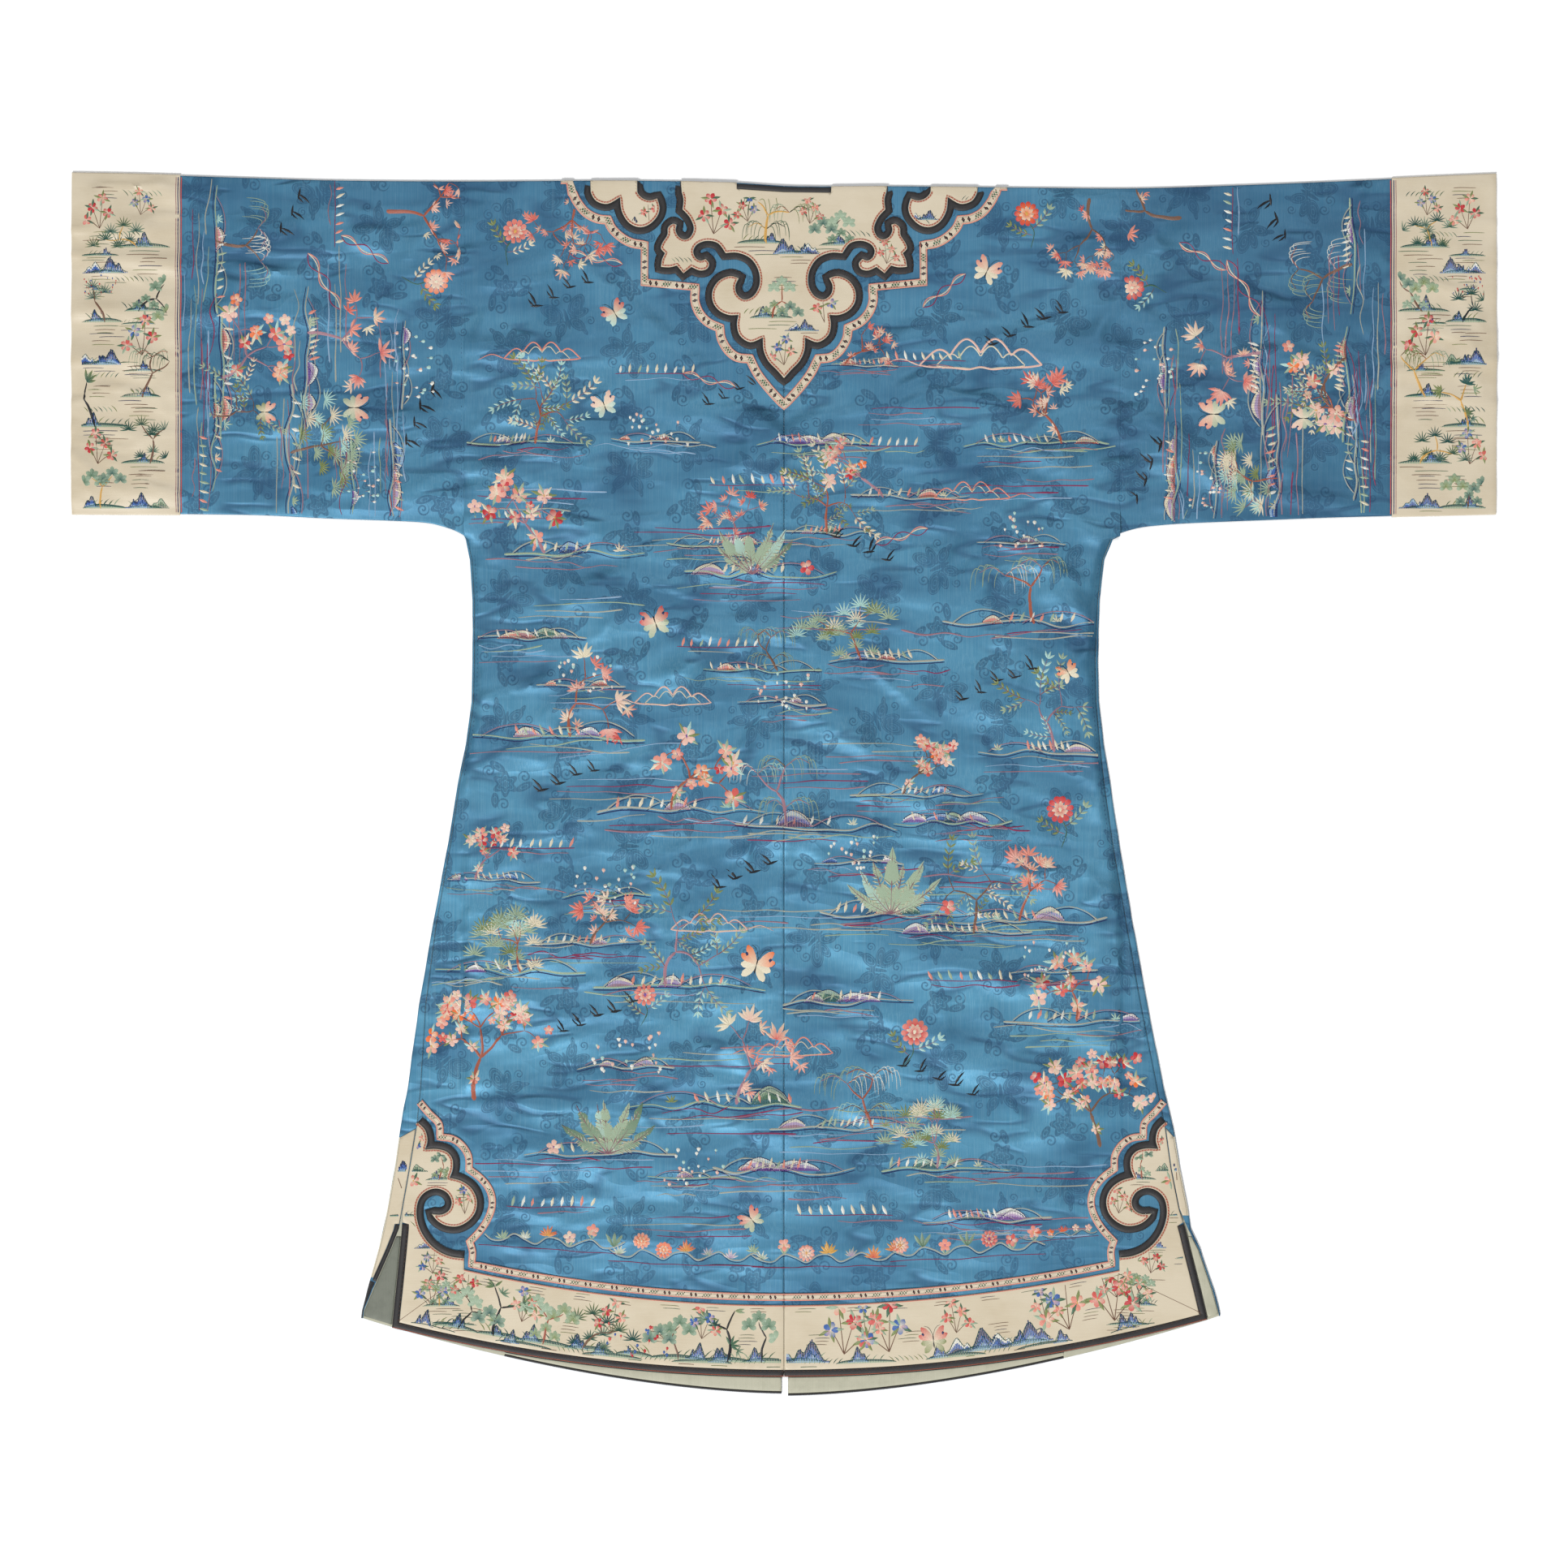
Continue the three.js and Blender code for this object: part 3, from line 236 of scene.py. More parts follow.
RUYI_RIBBON = turns(
    (1.6, -19), (10.4, -8.6), (19.8, 1.4), (20.6, 13.7, 1), (32, 15.2), (41.2, 21.4), (47.4, 31.6),
    (47.9, 43.8, 1), (59.3, 52.6), (67.2, 63.2), (69.8, 75.6), (66.4, 88.4), (58.6, 101),
    (48.5, 111.7, 1), (51.2, 121), (50.2, 132.9, 1),
)


@dataclass(frozen=True)
class HemLine:
    """A line across the hem that rises towards the sides."""

    centre: float
    rise: float
    at: float
    power: float

    def y(self, x: Array | float) -> Array | float:
        """Height of the line at a place across."""
        return self.centre + self.rise * (np.abs(x) / self.at) ** self.power


BACK_HEM = HemLine(-555, 47, 371, 2)


# ---------------------------------------------------------------- small mathematics
def mix(a: Array | float, b: Array | float, t: Array | float) -> Array | float:
    """Blends a into b as t goes from 0 to 1."""
    return a + (b - a) * t


def ease(t: Array | float) -> Array:
    """Smooth step from 0 to 1."""
    c = np.clip(t, 0, 1)
    return c * c * (3 - 2 * c)


def read(places: Sequence[float], values: Sequence[float], at: Array | float) -> Array:
    """Reads a rising table smoothly.

    Args:
        places: the key column, rising.
        values: the column that is read.
        at: where to read it.

    Returns:
        The values there, on cubic curves through the rows.
    """
    keys = np.asarray(places, float)
    vals = np.asarray(values, float)
    want = np.clip(np.asarray(at, float), keys[0], keys[-1])
    i = np.clip(np.searchsorted(keys, want, side="right") - 1, 0, len(keys) - 2)
    before = np.maximum(np.arange(len(keys)) - 1, 0)
    after = np.minimum(np.arange(len(keys)) + 1, len(keys) - 1)
    slope = (vals[after] - vals[before]) / (keys[after] - keys[before])
    step = keys[i + 1] - keys[i]
    t = (want - keys[i]) / step
    bend = t * (1 - t) * step * ((1 - t) * slope[i] - t * slope[i + 1])
    return mix(vals[i], vals[i + 1], t * t * (3 - 2 * t)) + bend


def compass(degrees: float) -> tuple[float, float]:
    """Cosine and sine of an angle in degrees."""
    return math.cos(math.radians(degrees)), math.sin(math.radians(degrees))


def gone_along(points: Array) -> Array:
    """Distance from a line's start to each of its points."""
    return np.concatenate([[0], np.cumsum(np.linalg.norm(np.diff(points, axis=0), axis=1))])


def unit(ways: Array) -> Array:
    """Brings directions to a length of 1."""
    return ways / np.maximum(np.linalg.norm(ways, axis=1, keepdims=True), 1e-9)


def left_of(ways: Array) -> Array:
    """Turns directions a quarter to the left."""
    return np.stack([-ways[:, 1], ways[:, 0]], 1)


def soft_noise(u: Array | float, v: Array | float, seed: int) -> Array:
    """Smooth noise from 0 to 1 with one lattice cell to a unit.

    Args:
        u: first coordinate, in cells.
        v: second coordinate, in cells.
        seed: which lattice.

    Returns:
        The noise at each point.
    """
    lattice = np.random.RandomState(seed).rand(256, 256)
    iu, iv = np.floor(u).astype(int), np.floor(v).astype(int)
    fu, fv = ease(u - iu), ease(v - iv)
    near = mix(lattice[iv % 256, iu % 256], lattice[iv % 256, (iu + 1) % 256], fu)
    far = mix(lattice[(iv + 1) % 256, iu % 256], lattice[(iv + 1) % 256, (iu + 1) % 256], fu)
    return mix(near, far, fv)


def shoulder_at(x: Array | float) -> Array:
    """Height of the shoulder fold."""
    return read(*zip(*SHOULDER), x)


# ---------------------------------------------------------------- the two sides
@dataclass(frozen=True)
class Half:
    """One side's own sizes: distances out from the centre back, and heights."""

    name: str
    side: int
    sleeve_seam: float
    band_seam: float
    sleeve_end: float
    tip_out: float
    tip_y: float
    front_edge: float
    front_hem_centre: float
    lap_trim_low: float
    flap: bool
    back_corner_y: float
    front_corner_y: float
    border_at: float
    ribbon_at: float

    def across(self, column: str, y: Array | float) -> Array:
        """Reads one column of the table of sides straight between its rows."""
        ys = [row.y for row in reversed(SIDES)]
        return np.interp(y, ys, [getattr(row, column) for row in reversed(SIDES)])

    def outer_edge(self, y: Array | float) -> Array:
        """Distance out of the garment's edge."""
        return self.across(self.name, y)

    def back_edge(self, y: Array | float) -> Array:
        """Distance out of the back panel's edge."""
        return self.outer_edge(y) - self.across(f"seam_{self.name}", y)

    def lap_edge(self, y: Array | float) -> Array:
        """Distance out of the front's cloth where it comes over the side fold."""
        return self.outer_edge(y) - self.across(f"lap_{self.name}", y)

    def underarm(self, out: Array | float) -> Array:
        """Height of the fold under the sleeve."""
        rows = [getattr(row, self.name) for row in UNDERARM]
        return read([row.out for row in UNDERARM], rows, np.asarray(out) - self.sleeve_seam)

    @property
    def border_top(self) -> HemLine:
        """Upper edge of the ivory hem border."""
        return HemLine(-488, 34, self.border_at, 2)

    @property
    def ribbon_line(self) -> HemLine:
        """Middle of the hem's ribbon."""
        return HemLine(-480.5, 30.9, self.ribbon_at, 2)

    @property
    def front_hem(self) -> HemLine:
        """Hem of the front panel."""
        return HemLine(self.front_hem_centre, 72, 400, 1.7)


LEFT = Half("left", -1, 299.4, 565.4, 667, 342.8, -316.9, 2.3, -571, -462, True, -509, -500.2, 302, 292.6)
RIGHT = Half("right", 1, 314.6, 569.2, 667, 357.2, -316.4, 3.8, -573, -404, False, -501.3, -498.2, 320, 307)
HALVES = (LEFT, RIGHT)


# ---------------------------------------------------------------- the lie of the cloth
@dataclass(frozen=True)
class Lie:
    """Heights of the upper layer of cloth: long swells, creases, puckers at the seams, small ripples."""

    ripple_long: float = 44.0
    ripple_wide: float = 15.0
    ripple_rise: float = 4.4
    ridge_long: float = 62.0
    ridge_wide: float = 19.0
    ridge_rise: float = 2.9
    small_long: float = 19.0
    small_wide: float = 8.5
    small_rise: float = 1.0
    drift: float = 34.0
    pucker_pitch: float = 11.0
    pucker_reach: float = 26.0
    side_pucker: float = 2.8
    centre_pucker: float = 1.4
    swell_gain: float = 1.5
    crease_gain: float = 1.7
    low_calm: float = 0.7
    edge_fade: float = 9.0
    under_trim: float = 0.1
    head_low: float = 60.0
    head_reach: float = 77.0
    seed: int = 11

    @staticmethod
    def ridges(table: Iterable[Swell], x: Array, y: Array) -> Array:
        """Sum of the rows of a table of folds at each point.

        Args:
            table: the folds.
            x: places across.
            y: places up.

        Returns:
            The height at each point.
        """
        total = np.zeros(np.shape(x))
        for w in table:
            c, s = compass(w.turn)
            along = ((x - w.x) * c + (y - w.y) * s) / w.along
            across = ((y - w.y) * c - (x - w.x) * s) / w.across
            total += w.rise * np.exp(-along * along - across * across)
        return total

    def ripples(self, x: Array, y: Array) -> Array:
        """Uneven small undulations that run mostly across the garment.

        Args:
            x: places across.
            y: places up.

        Returns:
            The height at each point.
        """
        x = x + self.drift * (soft_noise(x / 88, y / 52, self.seed + 6) - 0.5)
        y = y + self.drift * (soft_noise(x / 74, y / 96, self.seed + 7) - 0.5) + 10 * np.sin(x / 90)
        u, v = x / self.ripple_long, y / self.ripple_wide
        calm = 0.2 + 0.8 * ease(1.6 * soft_noise(x / 105, y / 64, self.seed + 1) - 0.3)
        big = soft_noise(u, v, self.seed) ** 1.5
        ridge = 1 - np.abs(2 * soft_noise(x / self.ridge_long, y / self.ridge_wide, self.seed + 11) - 1)
        fine = soft_noise(x / self.small_long, y / self.small_wide, self.seed + 2)
        return calm * (self.ripple_rise * big + self.ridge_rise * ridge ** 3 + self.small_rise * fine)

    def puckers(self, half: Half, x: Array, y: Array) -> Array:
        """Short ridges that the stitching draws in along the side and centre seams.

        Args:
            half: the side.
            x: places across.
            y: places up.

        Returns:
            The height at each point.
        """
        out = np.abs(x)
        side = soft_noise(y / self.pucker_pitch, out * 0 + half.side, self.seed + 3)
        reach = self.pucker_reach * (0.5 + soft_noise(y / 20, out / 40, self.seed + 4))
        body = y < ARMPIT + 20
        beside = np.exp(-(np.maximum(half.back_edge(y) - out, 0) / reach) ** 2)
        middle = soft_noise(y / (self.pucker_pitch * 0.8), out * 0, self.seed + 5)
        near = np.exp(-(out / (reach * 0.7)) ** 2)
        return np.where(body, self.side_pucker * side * beside, 0) + self.centre_pucker * middle * near

    def rise(self, half: Half, x: Array, y: Array) -> Array:
        """Height of the cloth over its flat lie.

        Args:
            half: the side on which the points lie.
            x: places across.
            y: places up.

        Returns:
            The rise at each point, none where trims lie on the cloth and at its edges.
        """
        x, y = np.asarray(x, float), np.asarray(y, float)
        out = np.abs(x)
        on_sleeve = out >= half.sleeve_seam
        collar = ease((COLLAR_FLAT_Y + COLLAR_FLAT_SLOPE * out - y) / FADE)
        past_head = np.hypot(out - half.tip_out, y - half.tip_y + self.head_low) - self.head_reach
        hem = ease(np.minimum(y - half.ribbon_line.y(x) - HEM_RIBBON_WIDE, past_head) / FADE)
        free = np.where(on_sleeve, ease((y - SLEEVE_FLAT_BELOW) / FADE), np.minimum(collar, hem))
        low = np.where(on_sleeve, half.underarm(out) + FOLD_OUTSIDE, -1e3)
        beside = np.where(on_sleeve | (y > ARMPIT), 1e3, half.back_edge(y) - out)
        edge = np.minimum(np.minimum(shoulder_at(x) - FOLD_OUTSIDE - y, y - low), beside)
        large = self.swell_gain * self.ridges(SWELLS, x, y) * free * ease(edge / FADE)
        small = self.crease_gain * self.ridges(CREASES, x, y) + self.ripples(x, y)
        small = small * np.maximum(free, self.under_trim) * ease(edge / self.edge_fade)
        pucker = np.where(on_sleeve, 0, self.puckers(half, x, y))
        calm = np.interp(y, (-460, -180), (self.low_calm, 1.0))
        return calm * (large + small) + pucker * np.maximum(free, self.under_trim) * ease(edge / 5)

    def top(self, x: Array, y: Array) -> Array:
        """Height of the upper face of the backs and sleeves at each point."""
        left, right = (self.rise(half, x, y) for half in HALVES)
        return BACK_TOP + np.where(np.asarray(x) < 0, left, right)

    def trim(self, x: Array, y: Array) -> Array:
        """How far a trim that lies on the cloth is lifted by slack in it.

        Args:
            x: places across.
            y: places up.

        Returns:
            The lift at each point.
        """
        slack = soft_noise(x / 21, y / 33, self.seed + 8) * soft_noise(x / 60, y / 60, self.seed + 9)
        full = FOLD_OUTSIDE + SEAM + TRIM_THICK
        over = np.clip(y - shoulder_at(x) + FOLD_OUTSIDE, 0, full * 0.95)
        dip = full - np.sqrt(full ** 2 - over ** 2)
        return 0.75 * slack + 0.1 * soft_noise(x / 7, y / 12, self.seed + 10) - dip


LIE = Lie()


# ---------------------------------------------------------------- paths and outlines
class Path:
    """Points of a plane line, with the ways that a cutter uses one."""

    SPLINE_STEPS = 4
    MITRE_MOST = 1.12
    LOOP_MOST = 20

    def __init__(self, points: Array | Sequence[Sequence[float]]) -> None:
        """Keeps the points as an array of pairs."""
        self.points = np.asarray(points, float).reshape(-1, 2)

    @classmethod
    def through(cls, table: Sequence[Turn], place: Callable[[Turn], tuple[float, float]]) -> "Path":
        """Makes a smooth line through a table's points, with corners at the sharp ones.

        Args:
            table: the rows of the outline.
            place: gives a row's x and y.

        Returns:
            The line.
        """
        marks = [np.array(place(row)) for row in table]
        line = [marks[0]]
        start = 0
        for k in range(1, len(marks)):
            if not (table[k].sharp or k == len(marks) - 1):
                continue
            stretch = [marks[start], *marks[start:k + 1], marks[k]]
            steps = cls.SPLINE_STEPS if k - start > 1 else 1
            for i in range(k - start):
                p0, p1, p2, p3 = stretch[i:i + 4]
                v0, v1 = (p2 - p0) / 2, (p3 - p1) / 2
                for t in np.arange(1, steps + 1) / steps:
                    cubic = (2 * (p1 - p2) + v0 + v1) * t ** 3
                    line.append(cubic + (3 * (p2 - p1) - 2 * v0 - v1) * t ** 2 + v0 * t + p1)
            start = k
        return cls(line)

    @classmethod
    def both_halves(cls, table: Sequence[Turn]) -> "Path":
        """Makes the line on the left, down to the centre back, and up again on the right."""
        left = cls.through(table, lambda p: (-p.a, p.b)).points
        return cls(np.concatenate([left, (left * (-1, 1))[::-1][1:]])).to_fold()

    def to_fold(self, near: float = 555.0) -> "Path":
        """Draws the points near the shoulder out to its fold."""
        x, y = self.points.T
        return Path(np.stack([x, np.where(y > near, shoulder_at(x) + 1, y)], 1))

    def without_loops(self) -> "Path":
        """Drops the small loops that a moved line makes in narrow inward corners.

        Returns:
            The line without them.
        """
        kept = list(self.points)
        i = 0
        while i < len(kept) - 3:
            for j in range(min(i + self.LOOP_MOST, len(kept) - 2), i + 1, -1):
                at = self.crossing(kept[i], kept[i + 1], kept[j], kept[j + 1])
                if at is not None:
                    kept[i + 1:j + 1] = [at]
                    break
            i += 1
        return Path(kept)

    @staticmethod
    def crossing(a: Array, b: Array, c: Array, d: Array) -> Array | None:
        """Gives the point where two segments cross, or None.

        Args:
            a: start of the first segment.
            b: its end.
            c: start of the second one.
            d: its end.

        Returns:
            The point, or None.
        """
        one, two, between = b - a, d - c, c - a
        area = one[0] * two[1] - one[1] * two[0]
        if abs(area) < 1e-9:
            return None
        t = (between[0] * two[1] - between[1] * two[0]) / area
        u = (between[0] * one[1] - between[1] * one[0]) / area
        return a + one * t if 0 < t < 1 and 0 < u < 1 else None

    def beside(self, distance: float, tidy: bool = True) -> "Path":
        """Moves the line sideways, to its left when positive, with mitred corners.

        Args:
            distance: how far.
            tidy: drops the loops, which changes the number of points.

        Returns:
            The moved line.
        """
        p = self.points
        ahead = unit(np.diff(p, axis=0))
        left = left_of(np.vstack([ahead[:1], ahead]))
        middle = unit(left + left_of(np.vstack([ahead, ahead[-1:]])))
        reach = np.minimum(1 / np.maximum((middle * left).sum(1), 0.2), self.MITRE_MOST)
        moved = Path(p + middle * (distance * reach)[:, None])
        return moved.without_loops() if tidy else moved

    def strip(self, near: float, far: float) -> Array:
        """Outline of a strip along the line between two distances to its left."""
        return np.concatenate([self.beside(near).points, self.beside(far).points[::-1]])

    def marks(self, pitch: float, start: float = 0.0) -> list[tuple[Array, float]]:
        """Places along the line at an even pitch.

        Args:
            pitch: distance between two marks.
            start: distance of the first mark from the line's start.

        Returns:
            Each mark's point and the line's direction there in radians.
        """
        gone = gone_along(self.points)
        found = []
        for s in np.arange(start, gone[-1], pitch):
            i = min(int(np.searchsorted(gone, s, side="right")) - 1, len(gone) - 2)
            t = (s - gone[i]) / max(gone[i + 1] - gone[i], 1e-9)
            way = self.points[i + 1] - self.points[i]
            found.append((mix(self.points[i], self.points[i + 1], t), math.atan2(way[1], way[0])))
        return found


def along_line(half: Half, line: HemLine, start: float, end: float, lift: float = 0) -> Array:
    """Points along a hem line between two distances out.

    Args:
        half: the side.
        line: the hem line.
        start: first distance out.
        end: last distance out.
        lift: how far above the line.

    Returns:
        The points.
    """
    out = np.linspace(start, end, HEM_STEPS + 1)
    return np.stack([half.side * out, line.y(out) + lift], 1)


def down_edge(half: Half, edge: Callable, start: float, end: float, inset: float, steps: int = 24) -> Array:
    """Points down a side between two heights.

    Args:
        half: the side.
        edge: gives the distance out at a height.
        start: first height.
        end: last height.
        inset: how far in from the edge.
        steps: number of stretches.

    Returns:
        The points.
    """
    y = np.linspace(start, end, steps + 1)
    return np.stack([half.side * (edge(y) - inset), y], 1)


# ---------------------------------------------------------------- making meshes
def placed(name: str, data: bpy.types.ID) -> Thing:
    """Puts a mesh, light or camera into the scene.

    Args:
        name: the object's name.
        data: what it shows.

    Returns:
        The new object.
    """
    thing = bpy.data.objects.new(name, data)
    bpy.context.scene.collection.objects.link(thing)
    return thing


class Maker:
    """Turns points in millimetres into pieces that ride with the garment."""

    SHARP = math.radians(48)

    @classmethod
    def piece(cls, name: str, points: Array, faces: Sequence, finish: Cloth) -> Thing:
        """Makes a smooth-shaded piece.

        Args:
            name: the piece's name.
            points: its points, in millimetres.
            faces: its faces, as lists of indices.
            finish: its material.

        Returns:
            The new object, riding on the root body.
        """
        made = bpy.data.meshes.new(name)
        made.from_pydata((np.asarray(points) * MM).tolist(), [], [list(map(int, f)) for f in faces])
        made.polygons.foreach_set("use_smooth", [True] * len(made.polygons))
        made.set_sharp_from_angle(angle=cls.SHARP)
        made.materials.append(finish)
        made.update()
        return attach(placed(name, made), "root")

    @classmethod
    def shell(cls, name: str, outer: Array, inner: Array, finish: Cloth,
              closed: bool = False) -> Thing:
        """Makes a wall of cloth between an outer and an inner grid of points.

        Args:
            name: the piece's name.
            outer: rows by columns of points of the outer face.
            inner: the same for the inner face.
            finish: its material.
            closed: joins the last column to the first.

        Returns:
            The piece.
        """
        rows, columns = outer.shape[:2]
        spans = columns if closed else columns - 1
        i, j = np.meshgrid(np.arange(rows - 1), np.arange(spans), indexing="ij")
        k = (j + 1) % columns
        o = lambda r, c: r * columns + c
        n = lambda r, c: rows * columns + r * columns + c
        faces = [np.stack([o(i, j), o(i, k), o(i + 1, k), o(i + 1, j)], -1).reshape(-1, 4),
                 np.stack([n(i, j), n(i + 1, j), n(i + 1, k), n(i, k)], -1).reshape(-1, 4)]
        j, k, e = np.arange(spans), (np.arange(spans) + 1) % columns, rows - 1
        faces += [np.stack([o(0, k), o(0, j), n(0, j), n(0, k)], -1),
                  np.stack([o(e, j), o(e, k), n(e, k), n(e, j)], -1)]
        if not closed:
            i, c = np.arange(rows - 1), columns - 1
            faces += [np.stack([o(i, 0), o(i + 1, 0), n(i + 1, 0), n(i, 0)], -1),
                      np.stack([o(i + 1, c), o(i, c), n(i, c), n(i + 1, c)], -1)]
        points = np.concatenate([outer.reshape(-1, 3), inner.reshape(-1, 3)])
        faces = np.concatenate(faces)
        if cls.volume(points, faces) < 0:
            faces = faces[:, ::-1]
        piece = cls.piece(name, points, faces, finish)
        piece.data.materials.append(Finish.LINING.material())
        which = np.zeros(len(faces), int)
        which[(rows - 1) * spans:2 * (rows - 1) * spans] = 1
        piece.data.polygons.foreach_set("material_index", which)
        return piece

    @staticmethod
    def volume(points: Array, faces: Array) -> float:
        """Gives six times the volume that four-sided faces close in, negative when they face in."""
        a, b, c, d = (points[faces[:, k]] for k in range(4))
        return float((a * np.cross(b, c)).sum() + (a * np.cross(c, d)).sum())

    @staticmethod
    def clear_of(outline: Array, points: Array) -> tuple[Array, Array]:
        """Measures points against a closed outline.

        Args:
            outline: the outline's points.
            points: the points to measure.

        Returns:
            Each point's distance to the outline, and whether it is inside.
        """
        a, b = outline, np.roll(outline, -1, axis=0)
        way = b - a
        length = np.maximum((way ** 2).sum(1), 1e-12)
        far, inside = np.empty(len(points)), np.empty(len(points), bool)
        for start in range(0, len(points), 4000):
            p = points[start:start + 4000, None, :]
            t = np.clip(((p - a) * way).sum(-1) / length, 0, 1)
            far[start:start + 4000] = np.linalg.norm(a + way * t[..., None] - p, axis=-1).min(1)
            over = (a[:, 1] > p[..., 1]) != (b[:, 1] > p[..., 1])
            rise = np.where(np.abs(way[:, 1]) < 1e-12, 1e-12, way[:, 1])
            reach = a[:, 0] + (p[..., 1] - a[:, 1]) / rise * way[:, 0]
            inside[start:start + 4000] = (over & (p[..., 0] < reach)).sum(1) % 2 == 1
        return far, inside

    @classmethod
    def patch(cls, name: str, outline: Array, low: float, thick: float, finish: Cloth,
              step: float = 4.0, rim: float = 1.0, rim_share: float = 0.4,
              lift: Callable[[Array, Array], Array] | None = None) -> Thing:
        """Makes a piece of cloth cut to an outline, with a rounded rim.

        Args:
            name: the piece's name.
            outline: its outline's points.
            low: height of its underside.
            thick: its thickness.
            finish: its material.
            step: spacing of the points inside.
            rim: width of the rounded rim.
            rim_share: share of the thickness that the rim's outermost edge has.
            lift: how far the piece is raised at each point.

        Returns:
            The piece.
        """
        edge = cls.resampled(outline, step)
        lowest, highest = edge.min(0), edge.max(0)
        grid = np.stack(np.meshgrid(*(np.arange(lowest[k] + step / 2, highest[k], step) for k in (0, 1))), -1)
        grid = grid.reshape(-1, 2)
        grid[::2] += step * 0.13
        far, inside = cls.clear_of(edge, grid)
        extra = [grid[inside & (far > max(step * 0.5, rim * 1.4))]]
        for inset in (rim * 0.4, rim):
            ring = np.concatenate([Path(edge).beside(s * inset, tidy=False).points for s in (1, -1)])
            far, inside = cls.clear_of(edge, ring)
            extra.append(ring[inside & (far > inset * 0.9)])
        count = len(edge)
        flat = np.concatenate([edge, *extra])
        found = delaunay_2d_cdt([Vector(p) for p in flat.tolist()], [], [list(range(count))], 1, 1e-4)
        flat = np.array([tuple(p) for p in found[0]])
        faces = np.array([f for f in found[2] if len(f) == 3], int)
        used = np.unique(faces)
        flat, faces = flat[used], np.searchsorted(used, faces)
        turned = np.cross(flat[faces[:, 1]] - flat[faces[:, 0]], flat[faces[:, 2]] - flat[faces[:, 0]])
        faces[turned < 0] = faces[turned < 0][:, ::-1]
        far, _ = cls.clear_of(edge, flat)
        share = rim_share + (1 - rim_share) * np.sqrt(1 - (1 - np.clip(far / rim, 0, 1)) ** 2)
        raised = lift(flat[:, 0], flat[:, 1]) if lift else 0
        top = np.column_stack([flat, low + thick * share + raised])
        under = np.column_stack([flat, np.full(len(flat), low) + raised])
        n = len(flat)
        sides = np.concatenate([faces[:, [0, 1]], faces[:, [1, 2]], faces[:, [2, 0]]])
        both = {tuple(e) for e in sides.tolist()}
        rim_edges = [(a, b) for a, b in both if (b, a) not in both]
        walls = [(b, a, a + n, b + n) for a, b in rim_edges]
        return cls.piece(name, np.concatenate([top, under]),
                         [*faces.tolist(), *(faces[:, ::-1] + n).tolist(), *walls], finish)

    @staticmethod
    def resampled(outline: Array, step: float) -> Array:
        """Adds points so that no stretch of a closed outline is longer than a step.

        Args:
            outline: the outline's points.
            step: the longest stretch allowed.

        Returns:
            The outline with more points.
        """
        points = []
        for a, b in zip(outline, np.roll(outline, -1, axis=0)):
            length = float(np.linalg.norm(b - a))
            if length < 0.05:
                continue
            parts = max(1, math.ceil(length / step))
            points.extend(mix(a, b, k / parts) for k in range(parts))
        return np.array(points)


# ---------------------------------------------------------------- finishes
def tint(r: int, g: int, b: int) -> tuple[float, float, float, float]:
    """Turns a display colour into a linear one."""
    linear = (((c / 255 + 0.055) / 1.055) ** 2.4 if c > 10 else c / 255 / 12.92 for c in (r, g, b))
    return (*linear, 1.0)


